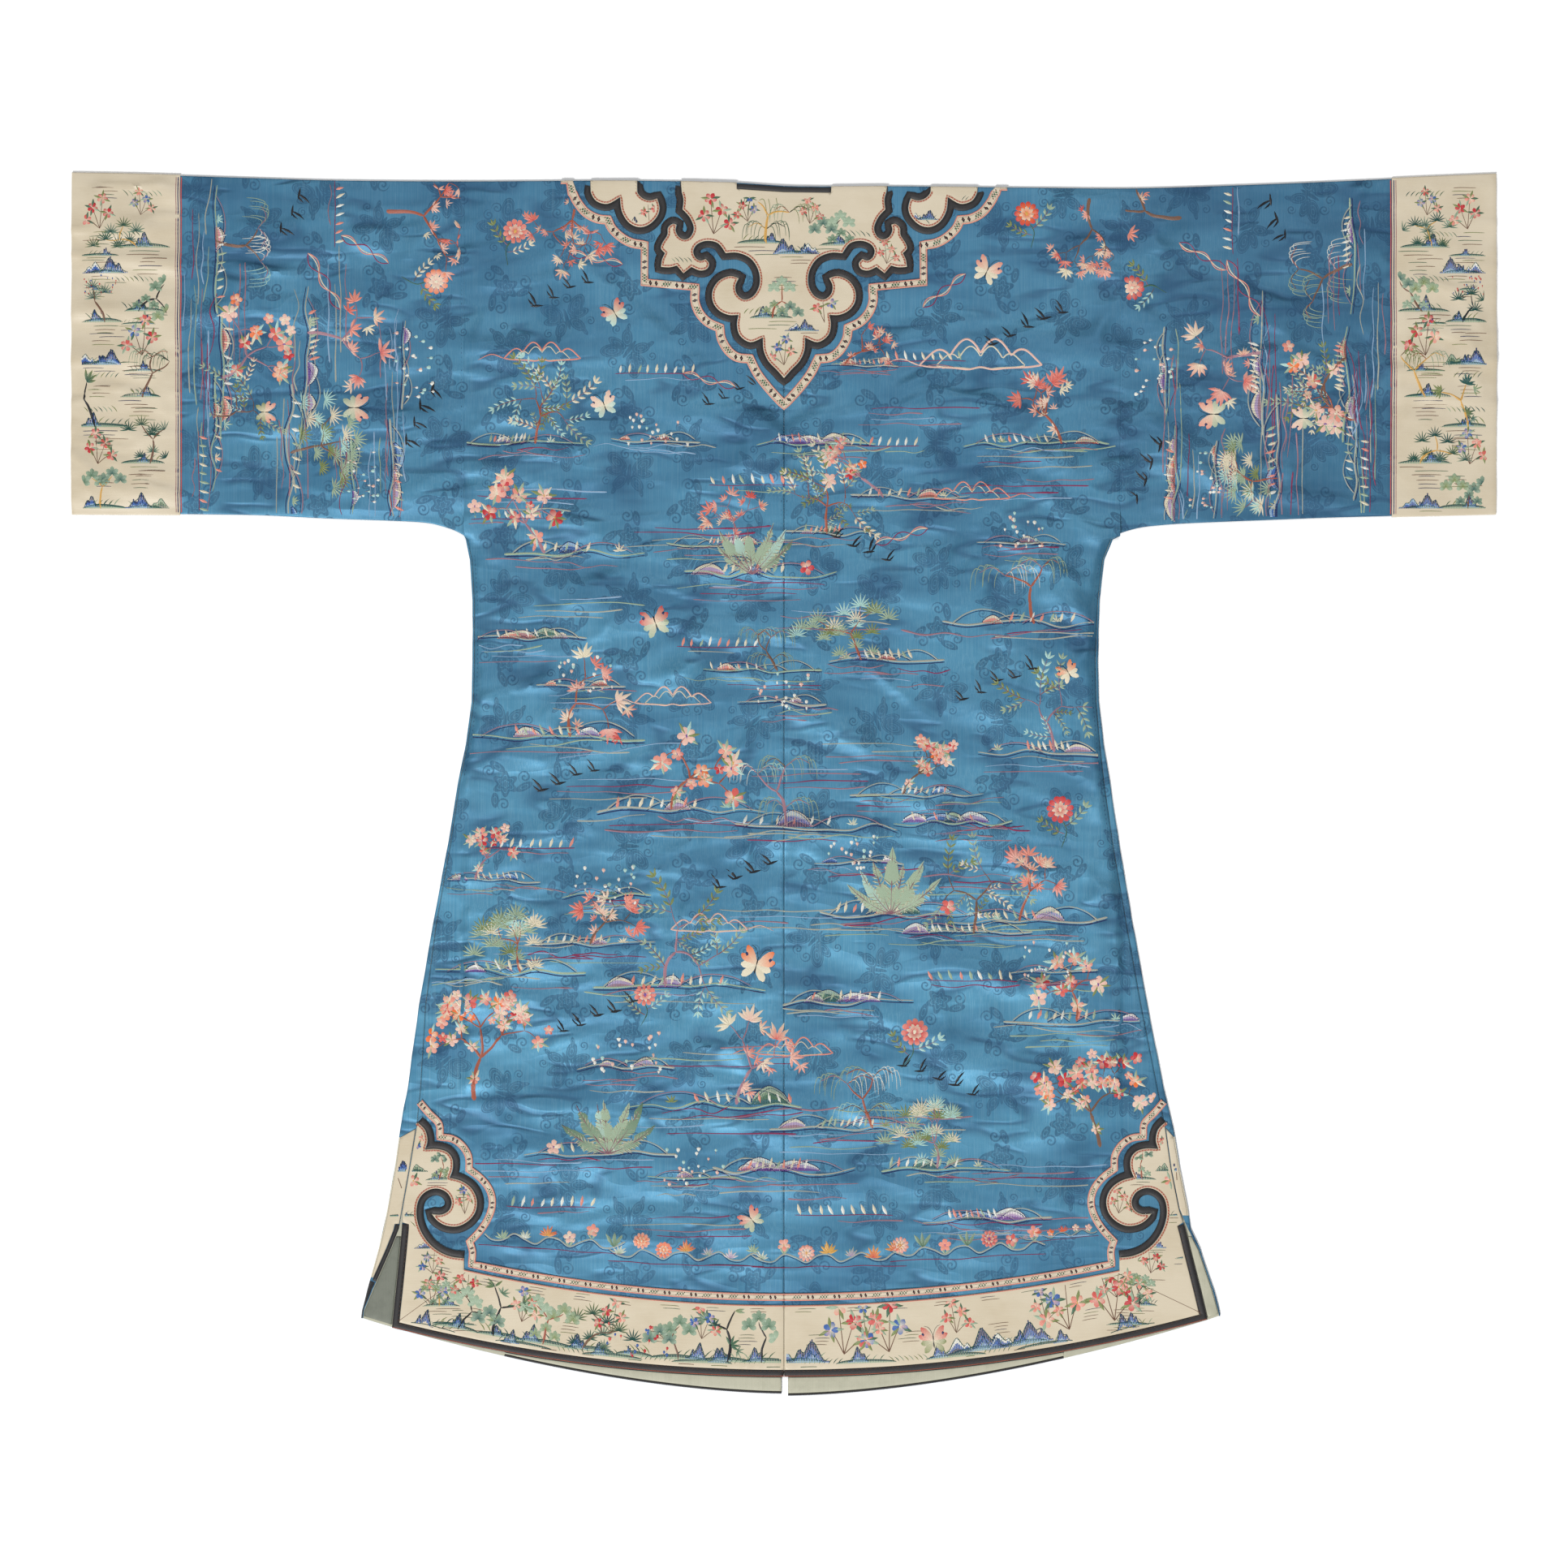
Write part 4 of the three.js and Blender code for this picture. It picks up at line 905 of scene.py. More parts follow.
class Weaver:
    """Writes a node material: short calls for the sums and textures that the finishes use."""

    def __init__(self, name: str) -> None:
        """Starts a material with a Principled shader and coordinates in millimetres.

        Args:
            name: the material's name.
        """
        self.material = bpy.data.materials.new(name)
        self.material.use_nodes = True
        self.tree = self.material.node_tree
        self.shader = self.tree.nodes["Principled BSDF"]
        where = self.tree.nodes.new("ShaderNodeTexCoord")
        scaled = self.tree.nodes.new("ShaderNodeVectorMath")
        scaled.operation = "SCALE"
        scaled.inputs["Scale"].default_value = 1 / MM
        self.tree.links.new(where.outputs["Object"], scaled.inputs[0])
        self.place = scaled.outputs[0]
        self.uv = where.outputs["UV"]

    def node(self, kind: str, **settings: object) -> bpy.types.Node:
        """Adds a node and sets its own settings.

        Args:
            kind: the node's type.
            **settings: its settings by name.

        Returns:
            The node.
        """
        made = self.tree.nodes.new(kind)
        for key, value in settings.items():
            setattr(made, key, value)
        return made

    def feed(self, socket: Socket, value: object) -> None:
        """Links a socket, or sets its value.

        Args:
            socket: the socket to feed.
            value: another socket, or a value.
        """
        if isinstance(value, Socket):
            self.tree.links.new(value, socket)
        else:
            socket.default_value = value

    def sum(self, operation: str, *values: object) -> Socket:
        """Adds a math node over sockets or numbers.

        Args:
            operation: which sum.
            *values: sockets or numbers.

        Returns:
            The result.
        """
        made = self.node("ShaderNodeMath", operation=operation)
        for k, value in enumerate(values):
            self.feed(made.inputs[k], value)
        return made.outputs[0]

    times = partialmethod(sum, "MULTIPLY")
    plus = partialmethod(sum, "ADD")
    less = partialmethod(sum, "SUBTRACT")
    over = partialmethod(sum, "DIVIDE")

    def far(self, u: object, v: object) -> Socket:
        """Gives the length of a pair."""
        return self.sum("SQRT", self.plus(self.times(u, u), self.times(v, v)))

    def split(self, vector: Socket) -> tuple[Socket, ...]:
        """Parts a vector into its three values.

        Args:
            vector: the vector.

        Returns:
            Its three values.
        """
        made = self.node("ShaderNodeSeparateXYZ")
        self.feed(made.inputs[0], vector)
        return tuple(made.outputs)

    def scaled(self, factors: Sequence[float]) -> Socket:
        """Gives the coordinates times a factor for each axis.

        Args:
            factors: a factor for each axis.

        Returns:
            The scaled coordinates.
        """
        made = self.node("ShaderNodeVectorMath", operation="MULTIPLY")
        self.feed(made.inputs[0], self.place)
        made.inputs[1].default_value = tuple(factors)
        return made.outputs[0]

    def noise(self, factors: Sequence[float], detail: float = 2.0, rough: float = 0.5) -> Socket:
        """Adds noise with cells of one over the factors, in millimetres.

        Args:
            factors: cells to a millimetre along each axis.
            detail: number of finer layers.
            rough: how strong those are.

        Returns:
            The noise, from 0 to 1.
        """
        made = self.node("ShaderNodeTexNoise")
        made.inputs["Scale"].default_value = 1.0
        made.inputs["Detail"].default_value = detail
        made.inputs["Roughness"].default_value = rough
        self.feed(made.inputs["Vector"], self.scaled(factors))
        return made.outputs["Fac"]

    def span(self, value: object, low: float, high: float, start: float, end: float,
             smooth: bool = False) -> Socket:
        """Maps a value from one range onto another, held at its ends.

        Args:
            value: the value.
            low: start of its range.
            high: end of its range.
            start: what the range starts at afterwards.
            end: what it ends at.
            smooth: eases in and out.

        Returns:
            The mapped value.
        """
        made = self.node("ShaderNodeMapRange", interpolation_type="SMOOTHSTEP" if smooth else "LINEAR")
        for k, item in enumerate((value, low, high, start, end)):
            self.feed(made.inputs[k], item)
        return made.outputs[0]

    def blend(self, share: object, a: object, b: object, kind: str = "MIX") -> Socket:
        """Mixes two colours.

        Args:
            share: share of the second colour.
            a: first colour.
            b: second colour.
            kind: way of mixing.

        Returns:
            The mixed colour.
        """
        made = self.node("ShaderNodeMix", data_type="RGBA", blend_type=kind)
        self.feed(made.inputs[0], share)
        self.feed(made.inputs[6], a)
        self.feed(made.inputs[7], b)
        return made.outputs[2]

    def bump(self, height: Socket, deep: float, strength: float = 1.0) -> None:
        """Adds relief of a depth in millimetres to the shader.

        Args:
            height: the relief.
            deep: its depth.
            strength: how strongly it shows.
        """
        made = self.node("ShaderNodeBump")
        made.inputs["Strength"].default_value = strength
        made.inputs["Distance"].default_value = deep * MM
        self.feed(made.inputs["Height"], height)
        self.feed(self.shader.inputs["Normal"], made.outputs[0])

    def set(self, **values: object) -> None:
        """Sets or links the shader's sockets, named with underscores for spaces."""
        for key, value in values.items():
            self.feed(self.shader.inputs[key.replace("_", " ")], value)

    def threads(self, pitch: float) -> Socket:
        """Gives the height of a plain weave of a pitch in millimetres.

        Args:
            pitch: distance between two threads.

        Returns:
            The weave's height.
        """
        x, y, _ = self.split(self.place)
        waves = [self.sum("SINE", self.times(c, 2 * math.pi / pitch)) for c in (x, y)]
        return self.times(waves[0], waves[1])


@dataclass(frozen=True)
class DamaskSilk:
    """Blue satin damask: butterflies and flower scrolls in a half-drop repeat, matt on a glossy ground."""

    name: str = "blue_silk_damask"
    ground: tuple = tint(71, 134, 164)
    figure: tuple = tint(40, 88, 117)
    pitch: float = 58.0
    motif_size: float = 25.0
    figure_show: float = 0.8

    def ellipse(self, w: Weaver, u: object, v: object, at: tuple[float, float], size: tuple[float, float],
                turn: float) -> Socket:
        """Gives the distance from an ellipse's centre, 1 on its rim.

        Args:
            w: the material's writer.
            u: first local coordinate.
            v: second local coordinate.
            at: the ellipse's centre.
            size: its half-lengths.
            turn: its turn in degrees.

        Returns:
            The socket with the distance.
        """
        c, s = compass(turn)
        du, dv = w.less(u, at[0]), w.less(v, at[1])
        p = w.plus(w.times(du, c / size[0]), w.times(dv, s / size[0]))
        q = w.less(w.times(dv, c / size[1]), w.times(du, s / size[1]))
        return w.far(p, q)

    def banded(self, w: Weaver, distance: Socket, rings: float) -> Socket:
        """Fills an ellipse with rings of figure, parted by lines of ground.

        Args:
            w: the material's writer.
            distance: distance from the shape's middle, 1 on its rim.
            rings: how close the rings lie.

        Returns:
            The figure's mask.
        """
        inside = w.sum("LESS_THAN", distance, 1.0)
        line = w.sum("GREATER_THAN", w.sum("SINE", w.times(distance, rings)), -0.86)
        return w.times(inside, line)

    def curl(self, w: Weaver, u: object, v: object, at: tuple[float, float], size: float) -> Socket:
        """Draws a curling tendril of about one turn and a half.

        Args:
            w: the material's writer.
            u: first local coordinate.
            v: second local coordinate.
            at: the tendril's middle.
            size: its radius.

        Returns:
            The figure's mask.
        """
        du, dv = w.less(u, at[0]), w.less(v, at[1])
        far = w.far(du, dv)
        turned = w.less(w.times(far, 1.5 / size * 2 * math.pi), w.sum("ARCTAN2", dv, du))
        arm = w.sum("GREATER_THAN", w.sum("SINE", turned), 0.35)
        return w.times(arm, w.sum("LESS_THAN", far, size))

    def butterfly(self, w: Weaver, u: object, v: object) -> Socket:
        """Draws a butterfly with its head towards +v.

        Args:
            w: the material's writer.
            u: first local coordinate.
            v: second local coordinate.

        Returns:
            The figure's mask.
        """
        a = w.sum("ABSOLUTE", u)
        shapes = (
            ((0.48, 0.40), (0.46, 0.25), 42, 20), ((0.50, 0.06), (0.38, 0.17), 6, 14),
            ((0.32, -0.32), (0.34, 0.2), -52, 15), ((0.5, -0.62), (0.2, 0.08), -70, 9),
            ((0.0, -0.02), (0.07, 0.4), 0, 3),
        )
        parts = [self.banded(w, self.ellipse(w, a, v, *shape), rings) for *shape, rings in shapes]
        parts += [self.curl(w, a, v, (0.2, 0.72), 0.2), self.curl(w, a, v, (0.82, -0.34), 0.17)]
        return self.any_of(w, parts)

    def flower(self, w: Weaver, u: object, v: object) -> Socket:
        """Draws a scalloped flower with leaves and curls.

        Args:
            w: the material's writer.
            u: first local coordinate.
            v: second local coordinate.

        Returns:
            The figure's mask.
        """
        around = w.sum("ARCTAN2", v, u)
        petals = w.plus(0.42, w.times(w.sum("COSINE", w.times(around, 6)), 0.09))
        parts = [self.banded(w, w.over(w.far(u, v), petals), 17)]
        for turn, long in ((24, 0.34), (148, 0.30), (262, 0.36)):
            c, s = compass(turn)
            leaf = self.ellipse(w, u, v, (0.72 * c, 0.72 * s), (long, 0.15), turn + 34)
            parts.append(self.banded(w, leaf, 11))
            parts.append(self.curl(w, u, v, (0.68 * c - 0.36 * s, 0.68 * s + 0.36 * c), 0.24))
        return self.any_of(w, parts)

    @staticmethod
    def any_of(w: Weaver, parts: Sequence[Socket]) -> Socket:
        """Joins shapes into one."""
        return reduce(lambda whole, part: w.sum("MAXIMUM", whole, part), parts)

    def figures(self, w: Weaver) -> Socket:
        """Repeats the motifs, each turned its own way, over the cloth.

        Args:
            w: the material's writer.

        Returns:
            The mask of all figures.
        """
        x, y, _ = w.split(w.place)
        column = w.sum("FLOOR", w.over(x, self.pitch))
        drop = w.times(w.sum("MODULO", w.sum("ABSOLUTE", column), 2), self.pitch / 2)
        fall = w.plus(y, drop)
        row = w.sum("FLOOR", w.over(fall, self.pitch))
        local = [w.less(w.less(value, w.times(cell, self.pitch)), self.pitch / 2)
                 for value, cell in ((x, column), (fall, row))]
        kind = w.sum("MODULO", w.sum("ABSOLUTE", w.plus(row, w.times(column, 2))), 2)
        turn = w.plus(w.times(column, 2.2), w.times(row, 1.3))
        c, s = w.sum("COSINE", turn), w.sum("SINE", turn)
        u = w.over(w.plus(w.times(local[0], c), w.times(local[1], s)), self.motif_size)
        v = w.over(w.less(w.times(local[1], c), w.times(local[0], s)), self.motif_size)
        flowers = w.times(self.flower(w, u, v), w.less(1.0, kind))
        return w.plus(w.times(self.butterfly(w, u, v), kind), flowers)

    def material(self) -> Cloth:
        """Writes the material: figure, warp streaks, painted shade of folds and of uneven light, gloss and
        weave.

        Returns:
            The material.
        """
        w = Weaver(self.name)
        figure = w.times(self.figures(w), self.figure_show)
        streak = w.noise((1.5, 0.012, 1), 2, 0.7)
        # painted shade: broad random dark patches in the colour stand in for the shade of the folds
        painted_fold_shade = w.noise((0.009, 0.026, 0.02), 3)
        crumple = w.sum("ABSOLUTE", w.less(w.noise((0.012, 0.03, 0.02), 2, 0.4), 0.5))
        line = w.sum("ABSOLUTE", w.less(w.noise((0.013, 0.046, 0.02), 1, 0.4), 0.5))
        where = w.span(w.noise((0.017, 0.021, 0.02), 0), 0.46, 0.6, 0.0, 1.0, True)
        crease = w.times(w.span(line, 0.0, 0.1, 1.0, 0.0, True), where)
        x, y, _ = w.split(w.place)
        base = w.blend(figure, self.ground, self.figure)
        for share, veil in (
            (w.span(streak, 0.42, 0.74, 0.0, 0.42), tint(124, 170, 191)),
            # painted fold shade in random patches
            (w.span(painted_fold_shade, 0.3, 0.62, 0.6, 0.0), tint(22, 74, 108)),
            # painted shade: darker towards the right side, standing in for the light's falloff there
            (w.span(x, 240, 430, 0.0, 0.32), tint(16, 56, 88)),
            # painted shade in the thin creases, which the bump below also presses in
            (w.times(crease, 0.5), tint(14, 54, 90)),
            # painted shade: darker towards the shoulders and sleeves, where less light falls
            (w.span(y, -300, 520, 0.0, 0.36), tint(26, 70, 104)),
            # painted shade: darker towards the hem, to tone down the stronger sheen of the light there
            (w.span(y, -480, -220, 0.32, 0.0), tint(34, 82, 114)),
        ):
            base = w.blend(share, base, veil)
        gloss = w.span(figure, 0, 1, 0.53, 0.64)
        w.set(Base_Color=base, Roughness=gloss, Metallic=0.42, Specular_IOR_Level=0.5)
        relief = w.plus(w.times(figure, 0.6), w.times(streak, 0.55))
        relief = w.less(relief, w.times(crumple, 55.0))
        relief = w.less(relief, w.times(crease, 9.0))
        w.bump(w.plus(relief, w.times(w.threads(0.7), 0.1)), 0.12, 0.6)
        return w.material


@dataclass(frozen=True)
class IvorySatin:
    """Ivory satin of the bands, collar and borders: a fine rib across, softly stained."""

    name: str = "ivory_satin"
    ground: tuple = tint(194, 182, 159)
    stain: tuple = tint(170, 154, 124)

    def material(self) -> Cloth:
        """Writes the material.

        Returns:
            The material.
        """
        w = Weaver(self.name)
        rib = w.noise((0.05, 1.6, 1), 2, 0.6)
        age = w.noise((0.013, 0.02, 0.02), 4, 0.6)
        base = w.blend(w.span(age, 0.42, 0.72, 0.0, 0.55), self.ground, self.stain)
        base = w.blend(w.span(rib, 0.3, 0.75, 0.0, 0.22), base, tint(204, 194, 172))
        w.set(Base_Color=base, Roughness=0.46, Sheen_Weight=0.1, Sheen_Roughness=0.4, Specular_IOR_Level=0.5)
        w.bump(w.plus(rib, w.times(w.threads(0.8), 0.15)), 0.12, 0.5)
        return w.material


@dataclass(frozen=True)
class PlainSilk:
    """A plain silk cut on a given grain: bindings and linings."""

    name: str
    ground: tuple
    worn: tuple
    roughness: float
    rib: tuple[float, float]
    deep: float = 0.12

    def material(self) -> Cloth:
        """Writes the material.

        Returns:
            The material.
        """
        w = Weaver(self.name)
        rib = w.noise((*self.rib, 1), 2, 0.6)
        wear = w.noise((0.06, 0.06, 0.1), 4, 0.65)
        base = w.blend(w.span(wear, 0.45, 0.75, 0.0, 0.5), self.ground, self.worn)
        base = w.blend(w.span(rib, 0.4, 0.8, 0.0, 0.3), base, self.worn)
        w.set(Base_Color=base, Roughness=self.roughness, Sheen_Weight=0.15, Sheen_Roughness=0.4)
        w.bump(w.plus(rib, w.times(w.threads(0.9), 0.3)), self.deep, 0.6)
        return w.material


@dataclass(frozen=True)
class SilkThread:
    """Embroidery silk, whose colour each stitched shape carries in its points."""

    name: str = "embroidery_silk"
    layer: str = "thread"
    strands: float = 0.62

    def material(self) -> Cloth:
        """Writes the material; strands run along each shape, with painted shade in the low grooves between
        them.

        Returns:
            The material.
        """
        w = Weaver(self.name)
        colour = w.node("ShaderNodeAttribute", attribute_name=self.layer)
        u, v, _ = w.split(w.uv)
        strand = w.sum("SINE", w.times(u, 2 * math.pi / self.strands))
        uneven = w.noise((0.9, 0.9, 0.9), 2)
        height = w.plus(strand, w.times(uneven, 1.2))
        # painted shade: the colour darkens where the relief of the strands and their unevenness lies low
        shade = w.span(height, -1.0, 1.8, 0.25, 0.0)
        base = w.blend(shade, colour.outputs["Color"], tint(60, 40, 40), "MULTIPLY")
        w.set(Base_Color=base, Roughness=0.42, Sheen_Weight=0.1, Sheen_Roughness=0.4, Specular_IOR_Level=0.5)
        w.bump(height, 0.1, 0.6)
        return w.material


class Finish(Enum):
    """The finishes that the garment's pieces choose from."""

    SILK = DamaskSilk()
    SATIN = IvorySatin()
    BINDING = PlainSilk("black_bias_silk", tint(15, 13, 16), tint(40, 35, 35), 0.58, (0.9, 0.9))
    LINING = PlainSilk("celadon_lining_silk", tint(170, 168, 148), tint(146, 146, 126), 0.5, (1.3, 0.02))
    SHADED_LINING = PlainSilk("shaded_vent_lining_silk", tint(104, 108, 96), tint(76, 80, 70), 0.55,
                              (1.3, 0.02))
    RIBBON = PlainSilk("woven_ribbon_ground", tint(200, 188, 166), tint(166, 146, 126), 0.6, (0.7, 0.7))
    THREAD = SilkThread()

    @cache
    def material(self) -> Cloth:
        """Gives the finish's material, made once."""
        return self.value.material()


# ---------------------------------------------------------------- the silk panels
def even_steps(marks: Sequence[float], step: float) -> Array:
    """Fills in between rising marks so that no stretch is longer than a step."""
    parts = [np.linspace(a, b, max(1, math.ceil((b - a) / step)) + 1)[:-1] for a, b in zip(marks, marks[1:])]
    return np.concatenate([*parts, [marks[-1]]])


@dataclass
class BodyPanel:
    """What the back and the front of one side share: rows between the hem and the shoulder."""

    half: Half
    step: float = 3.8
    seam_round: float = 1.8
    seam_dip: float = 0.55
    sleeve_seam_dip: float = 0.08

    def row_heights(self, corner_y: float, top_y: float) -> Array:
        """Heights of the rows along the side, one on each side of the armhole's foot."""
        table = [row.y for row in reversed(SIDES) if row.y > corner_y + 6]
        return even_steps([corner_y, *table, ARMPIT + 1, top_y], self.step)

    def rows(self, hem: HemLine, edge: Callable, inner: Callable, heights: Array,
             over: Array) -> tuple[Array, Array, Array]:
        """Lays out the panel's points.

        Args:
            hem: the panel's hem.
            edge: gives the distance out of its side at a height.
            inner: gives the distance out of its inner edge at a height.
            heights: where the rows meet the side.
            over: places along a row, 0 at the inner edge and 1 at the side.

        Returns:
            The x and y of every point, and each row's distance out.
        """
        s = self.half
        out = np.where(heights > ARMPIT, s.sleeve_seam - CLOSE_SEAM, edge(heights))
        top = lambda x: shoulder_at(x) - FOLD_OUTSIDE
        up = (heights - hem.y(out)) / (top(s.side * out) - hem.y(out))
        inner_out = inner(mix(hem.centre, top(0.0), up))
        x = s.side * mix(inner_out[:, None], out[:, None], over[None, :])
        return x, mix(hem.y(x), top(x), up[:, None]), out

    def across(self, width: float, count_step: float) -> Array:
        """Places along a row, close together beside the two seams.

        Args:
            width: the row's width.
            count_step: spacing in its middle.

        Returns:
            The places, from 0 to 1.
        """
        close = np.array([0, 0.5, 1.2, 2.2])
        middle = np.linspace(close[-1], width - close[-1], math.ceil(width / count_step))[1:-1]
        return np.concatenate([close, middle, width - close[::-1]]) / width


@dataclass
class BackPanel(BodyPanel):
    """Half of the back, from its hem over the shoulder fold."""

    flat: tuple[float, float] = (0.375, 1.120)
    area: float = 0.375

    def build(self) -> Thing:
        """Builds the panel as a thin shell that stands for its solid.

        Returns:
            The panel.
        """
        s = self.half
        heights = self.row_heights(s.back_corner_y, float(shoulder_at(s.side * s.sleeve_seam)) - FOLD_OUTSIDE)
        over = self.across(s.sleeve_seam, self.step)
        x, y, out = self.rows(BACK_HEM, s.back_edge, lambda at: at * 0 + SEAM / 2, heights, over)
        rise = LIE.rise(s, x, y)
        beside = np.minimum(np.abs(x) - SEAM / 2, out[:, None] - np.abs(x))
        deep = np.where((y > ARMPIT) & (np.abs(x) > s.sleeve_seam / 2), self.sleeve_seam_dip, self.seam_dip)
        dip = deep * (1 - np.sqrt(1 - (1 - np.clip(beside / self.seam_round, 0, 1)) ** 2))
        outer = np.stack([x, y, BACK_TOP + rise - dip], -1)
        inner = np.stack([x, y, BACK_MID - WALL / 2 + rise], -1)
        folds = [(outer, FOLD_OUTSIDE), (inner, FOLD_INSIDE)]
        grids = [np.concatenate([grid, self.over_shoulder(grid[-1], radius)]) for grid, radius in folds]
        piece = Maker.shell(f"back_panel_{s.name}", *grids, Finish.SILK.material())
        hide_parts(f"back_{s.name}")
        return piece

    def over_shoulder(self, last: Array, radius: float, steps: int = 6) -> Array:
        """Rows that turn over the shoulder fold and end flat under it.

        Args:
            last: the last row before the fold.
            radius: the fold's radius.
            steps: number of rows round it.

        Returns:
            The rows.
        """
        rows = []
        for k in range(1, steps + 2):
            angle = math.pi * min(k / steps, 1)
            on = -FOLD_OUTSIDE if k > steps else 0
            z = np.full(len(last), MIDDLE + radius * math.cos(angle))
            rows.append(np.stack([last[:, 0], last[:, 1] + on + radius * math.sin(angle), z], 1))
        return np.array(rows)


@dataclass
class FrontPanel(BodyPanel):
    """Half of the front, face down, whose side folds up and laps over below the armhole."""

    step: float = 7.5
    across_step: float = 11.0
    fold_steps: int = 6
    edge_waver: float = 0.55
    flat: tuple[float, float] = (0.42, 1.130)
    area: float = 0.39

    def neck(self, y: Array) -> Array:
        """Distance out of the inner edge, which curves round the neck at the top.

        Args:
            y: heights.

        Returns:
            The distance at each height.
        """
        below = (float(shoulder_at(0.0)) - y) / FRONT_NECK_DEEP
        curve = FRONT_NECK_HALF * np.sqrt(np.clip(1 - np.maximum(below, 0) ** 2, 0, 1))
        return np.maximum(curve, self.half.front_edge)

    def build(self) -> Thing:
        """Builds the panel as a thin shell that stands for its solid.

        Returns:
            The panel.
        """
        s = self.half
        top_y = float(shoulder_at(s.side * s.sleeve_seam)) - 2 * FOLD_OUTSIDE - SEAM
        heights = self.row_heights(s.front_corner_y, top_y)
        over = np.linspace(0, 1, math.ceil(s.sleeve_seam / self.across_step) + 1)
        x, y, out = self.rows(s.front_hem, s.outer_edge, self.neck, heights, over)
        free = heights <= ARMPIT
        waver = self.edge_waver * (soft_noise(heights / 16, heights * 0 + s.side, 31) - 0.5) * free
        reach = out + waver
        x = s.side * np.minimum(np.abs(x), (reach - FOLD_OUTSIDE)[:, None])
        low, high = (np.stack([x, y, np.full(x.shape, z)], -1) for z in (0.0, WALL))
        folded = []
        for grid, radius, start in ((low, FOLD_OUTSIDE, 0.0), (high, FOLD_INSIDE, WALL)):
            columns = []
            for k in range(1, self.fold_steps + 4):
                angle = math.pi * min(k / self.fold_steps, 1)
                past = max(k - self.fold_steps, 0) / 3
                turned = reach - FOLD_OUTSIDE + radius * math.sin(angle)
                across = mix(turned, s.lap_edge(heights), past)
                share = k / (self.fold_steps + 3) * WALL * 0.45
                flat = start + (share if start == 0 else -share)
                z = np.where(free, MIDDLE - radius * math.cos(angle), flat)
                columns.append(np.stack([s.side * np.where(free, across, out), heights, z], -1))
            folded.append(np.concatenate([grid, np.stack(columns, 1)], 1))
        piece = Maker.shell(f"front_panel_{s.name}", *folded, Finish.SILK.material())
        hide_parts(f"front_{s.name}")
        return piece


@dataclass
class Sleeve:
    """A stretch of one sleeve: a tube of cloth pressed flat, or its ivory end band."""

    half: Half
    name: str
    start: float
    end: float
    finish: Finish
    slot: str
    node: str
    proud: float = 0.0
    step: float = 3.8
    under_steps: int = 12
    fold_steps: int = 6

    def ring(self, radius: float) -> Array:
        """Points round the tube at every distance along it, for one face of its wall.

        Args:
            radius: radius of the face's folds.

        Returns:
            Rows by columns of points.
        """
        s = self.half
        out = even_steps([self.start, self.start + 1.2, self.end - 1.2, self.end], self.step)
        x = (s.side * out)[:, None]
        high = (shoulder_at(s.side * out) + self.proud - FOLD_OUTSIDE)[:, None]
        low = (s.underarm(out) - self.proud + FOLD_OUTSIDE)[:, None]
        count = math.ceil(float((high - low).max()) / self.step)
        over = np.linspace(0, 1, count + 1)[None, :]
        y = mix(high, low, over)
        deep = np.where(out < s.sleeve_seam + 5, 0.08, 0.45)
        end_dip = (deep * (1 - ease(np.minimum(out - self.start, self.end - out) / 1.5)))[:, None]
        half_wall = radius - (FOLD_INSIDE + WALL / 2)
        rise = LIE.rise(s, np.broadcast_to(x, y.shape), y) - (end_dip if half_wall > 0 else 0)
        parts = [np.stack(np.broadcast_arrays(x, y, BACK_MID + rise + half_wall), -1)]
        angle = (math.pi * np.arange(1, self.fold_steps + 1) / self.fold_steps)[None, :]
        parts.append(self.column(x, low - radius * np.sin(angle), MIDDLE + radius * np.cos(angle)))
        under = mix(low, high, (np.arange(1, self.under_steps) / self.under_steps)[None, :])
        parts.append(self.column(x, under, under * 0 + MIDDLE - radius))
        angle = (math.pi * np.arange(self.fold_steps) / self.fold_steps)[None, :]
        parts.append(self.column(x, high + radius * np.sin(angle), MIDDLE - radius * np.cos(angle)))
        return np.concatenate(parts, 1)

    @staticmethod
    def column(x: Array, y: Array, z: Array) -> Array:
        """Joins coordinates of unlike shapes into points."""
        return np.stack(np.broadcast_arrays(x, y, z), -1)

    def build(self, rests_on: str) -> Thing:
        """Builds the tube as a thin shell that stands for its solid.

        Args:
            rests_on: not used.

        Returns:
            The piece.
        """
        piece = Maker.shell(self.name, self.ring(FOLD_OUTSIDE), self.ring(FOLD_INSIDE),
                            self.finish.material(), closed=True)
        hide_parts(self.node)
        middle = (self.start + self.end) / 2
        tall = float(shoulder_at(self.half.side * middle) - self.half.underarm(middle)) + 2 * self.proud
        return piece


# ---------------------------------------------------------------- trims
def trim_piece(name: str, node: str, outline: Array, finish: Finish, low: float, thick: float = TRIM_THICK,
               **shape: object) -> Thing:
    """Makes a cut piece of trim that stands for a solid.

    Args:
        name: the piece's name.
        node: the solid that it stands for.
        outline: its cut outline.
        finish: its finish.
        low: height of its underside.
        thick: its thickness.
        **shape: what the patch takes besides.

    Returns:
        The piece.
    """
    outline = np.stack([outline[:, 0], np.minimum(outline[:, 1], shoulder_at(outline[:, 0]))], 1)
    piece = Maker.patch(name, outline, low, thick, finish.material(), **shape)
    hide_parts(node)
    slots = {Finish.SATIN: "satin", Finish.BINDING: "binding", Finish.RIBBON: "ribbon"}
    slots.get(finish, "lining")
    return piece


def binding(name: str, node: str, outline: Array) -> Thing:
    """Makes a folded black bias strip with a full, rounded section."""
    return trim_piece(name, node, outline, Finish.BINDING, ON_BACK, BINDING_THICK, step=2.6, rim=2.6,
                      rim_share=0.25, lift=LIE.trim)


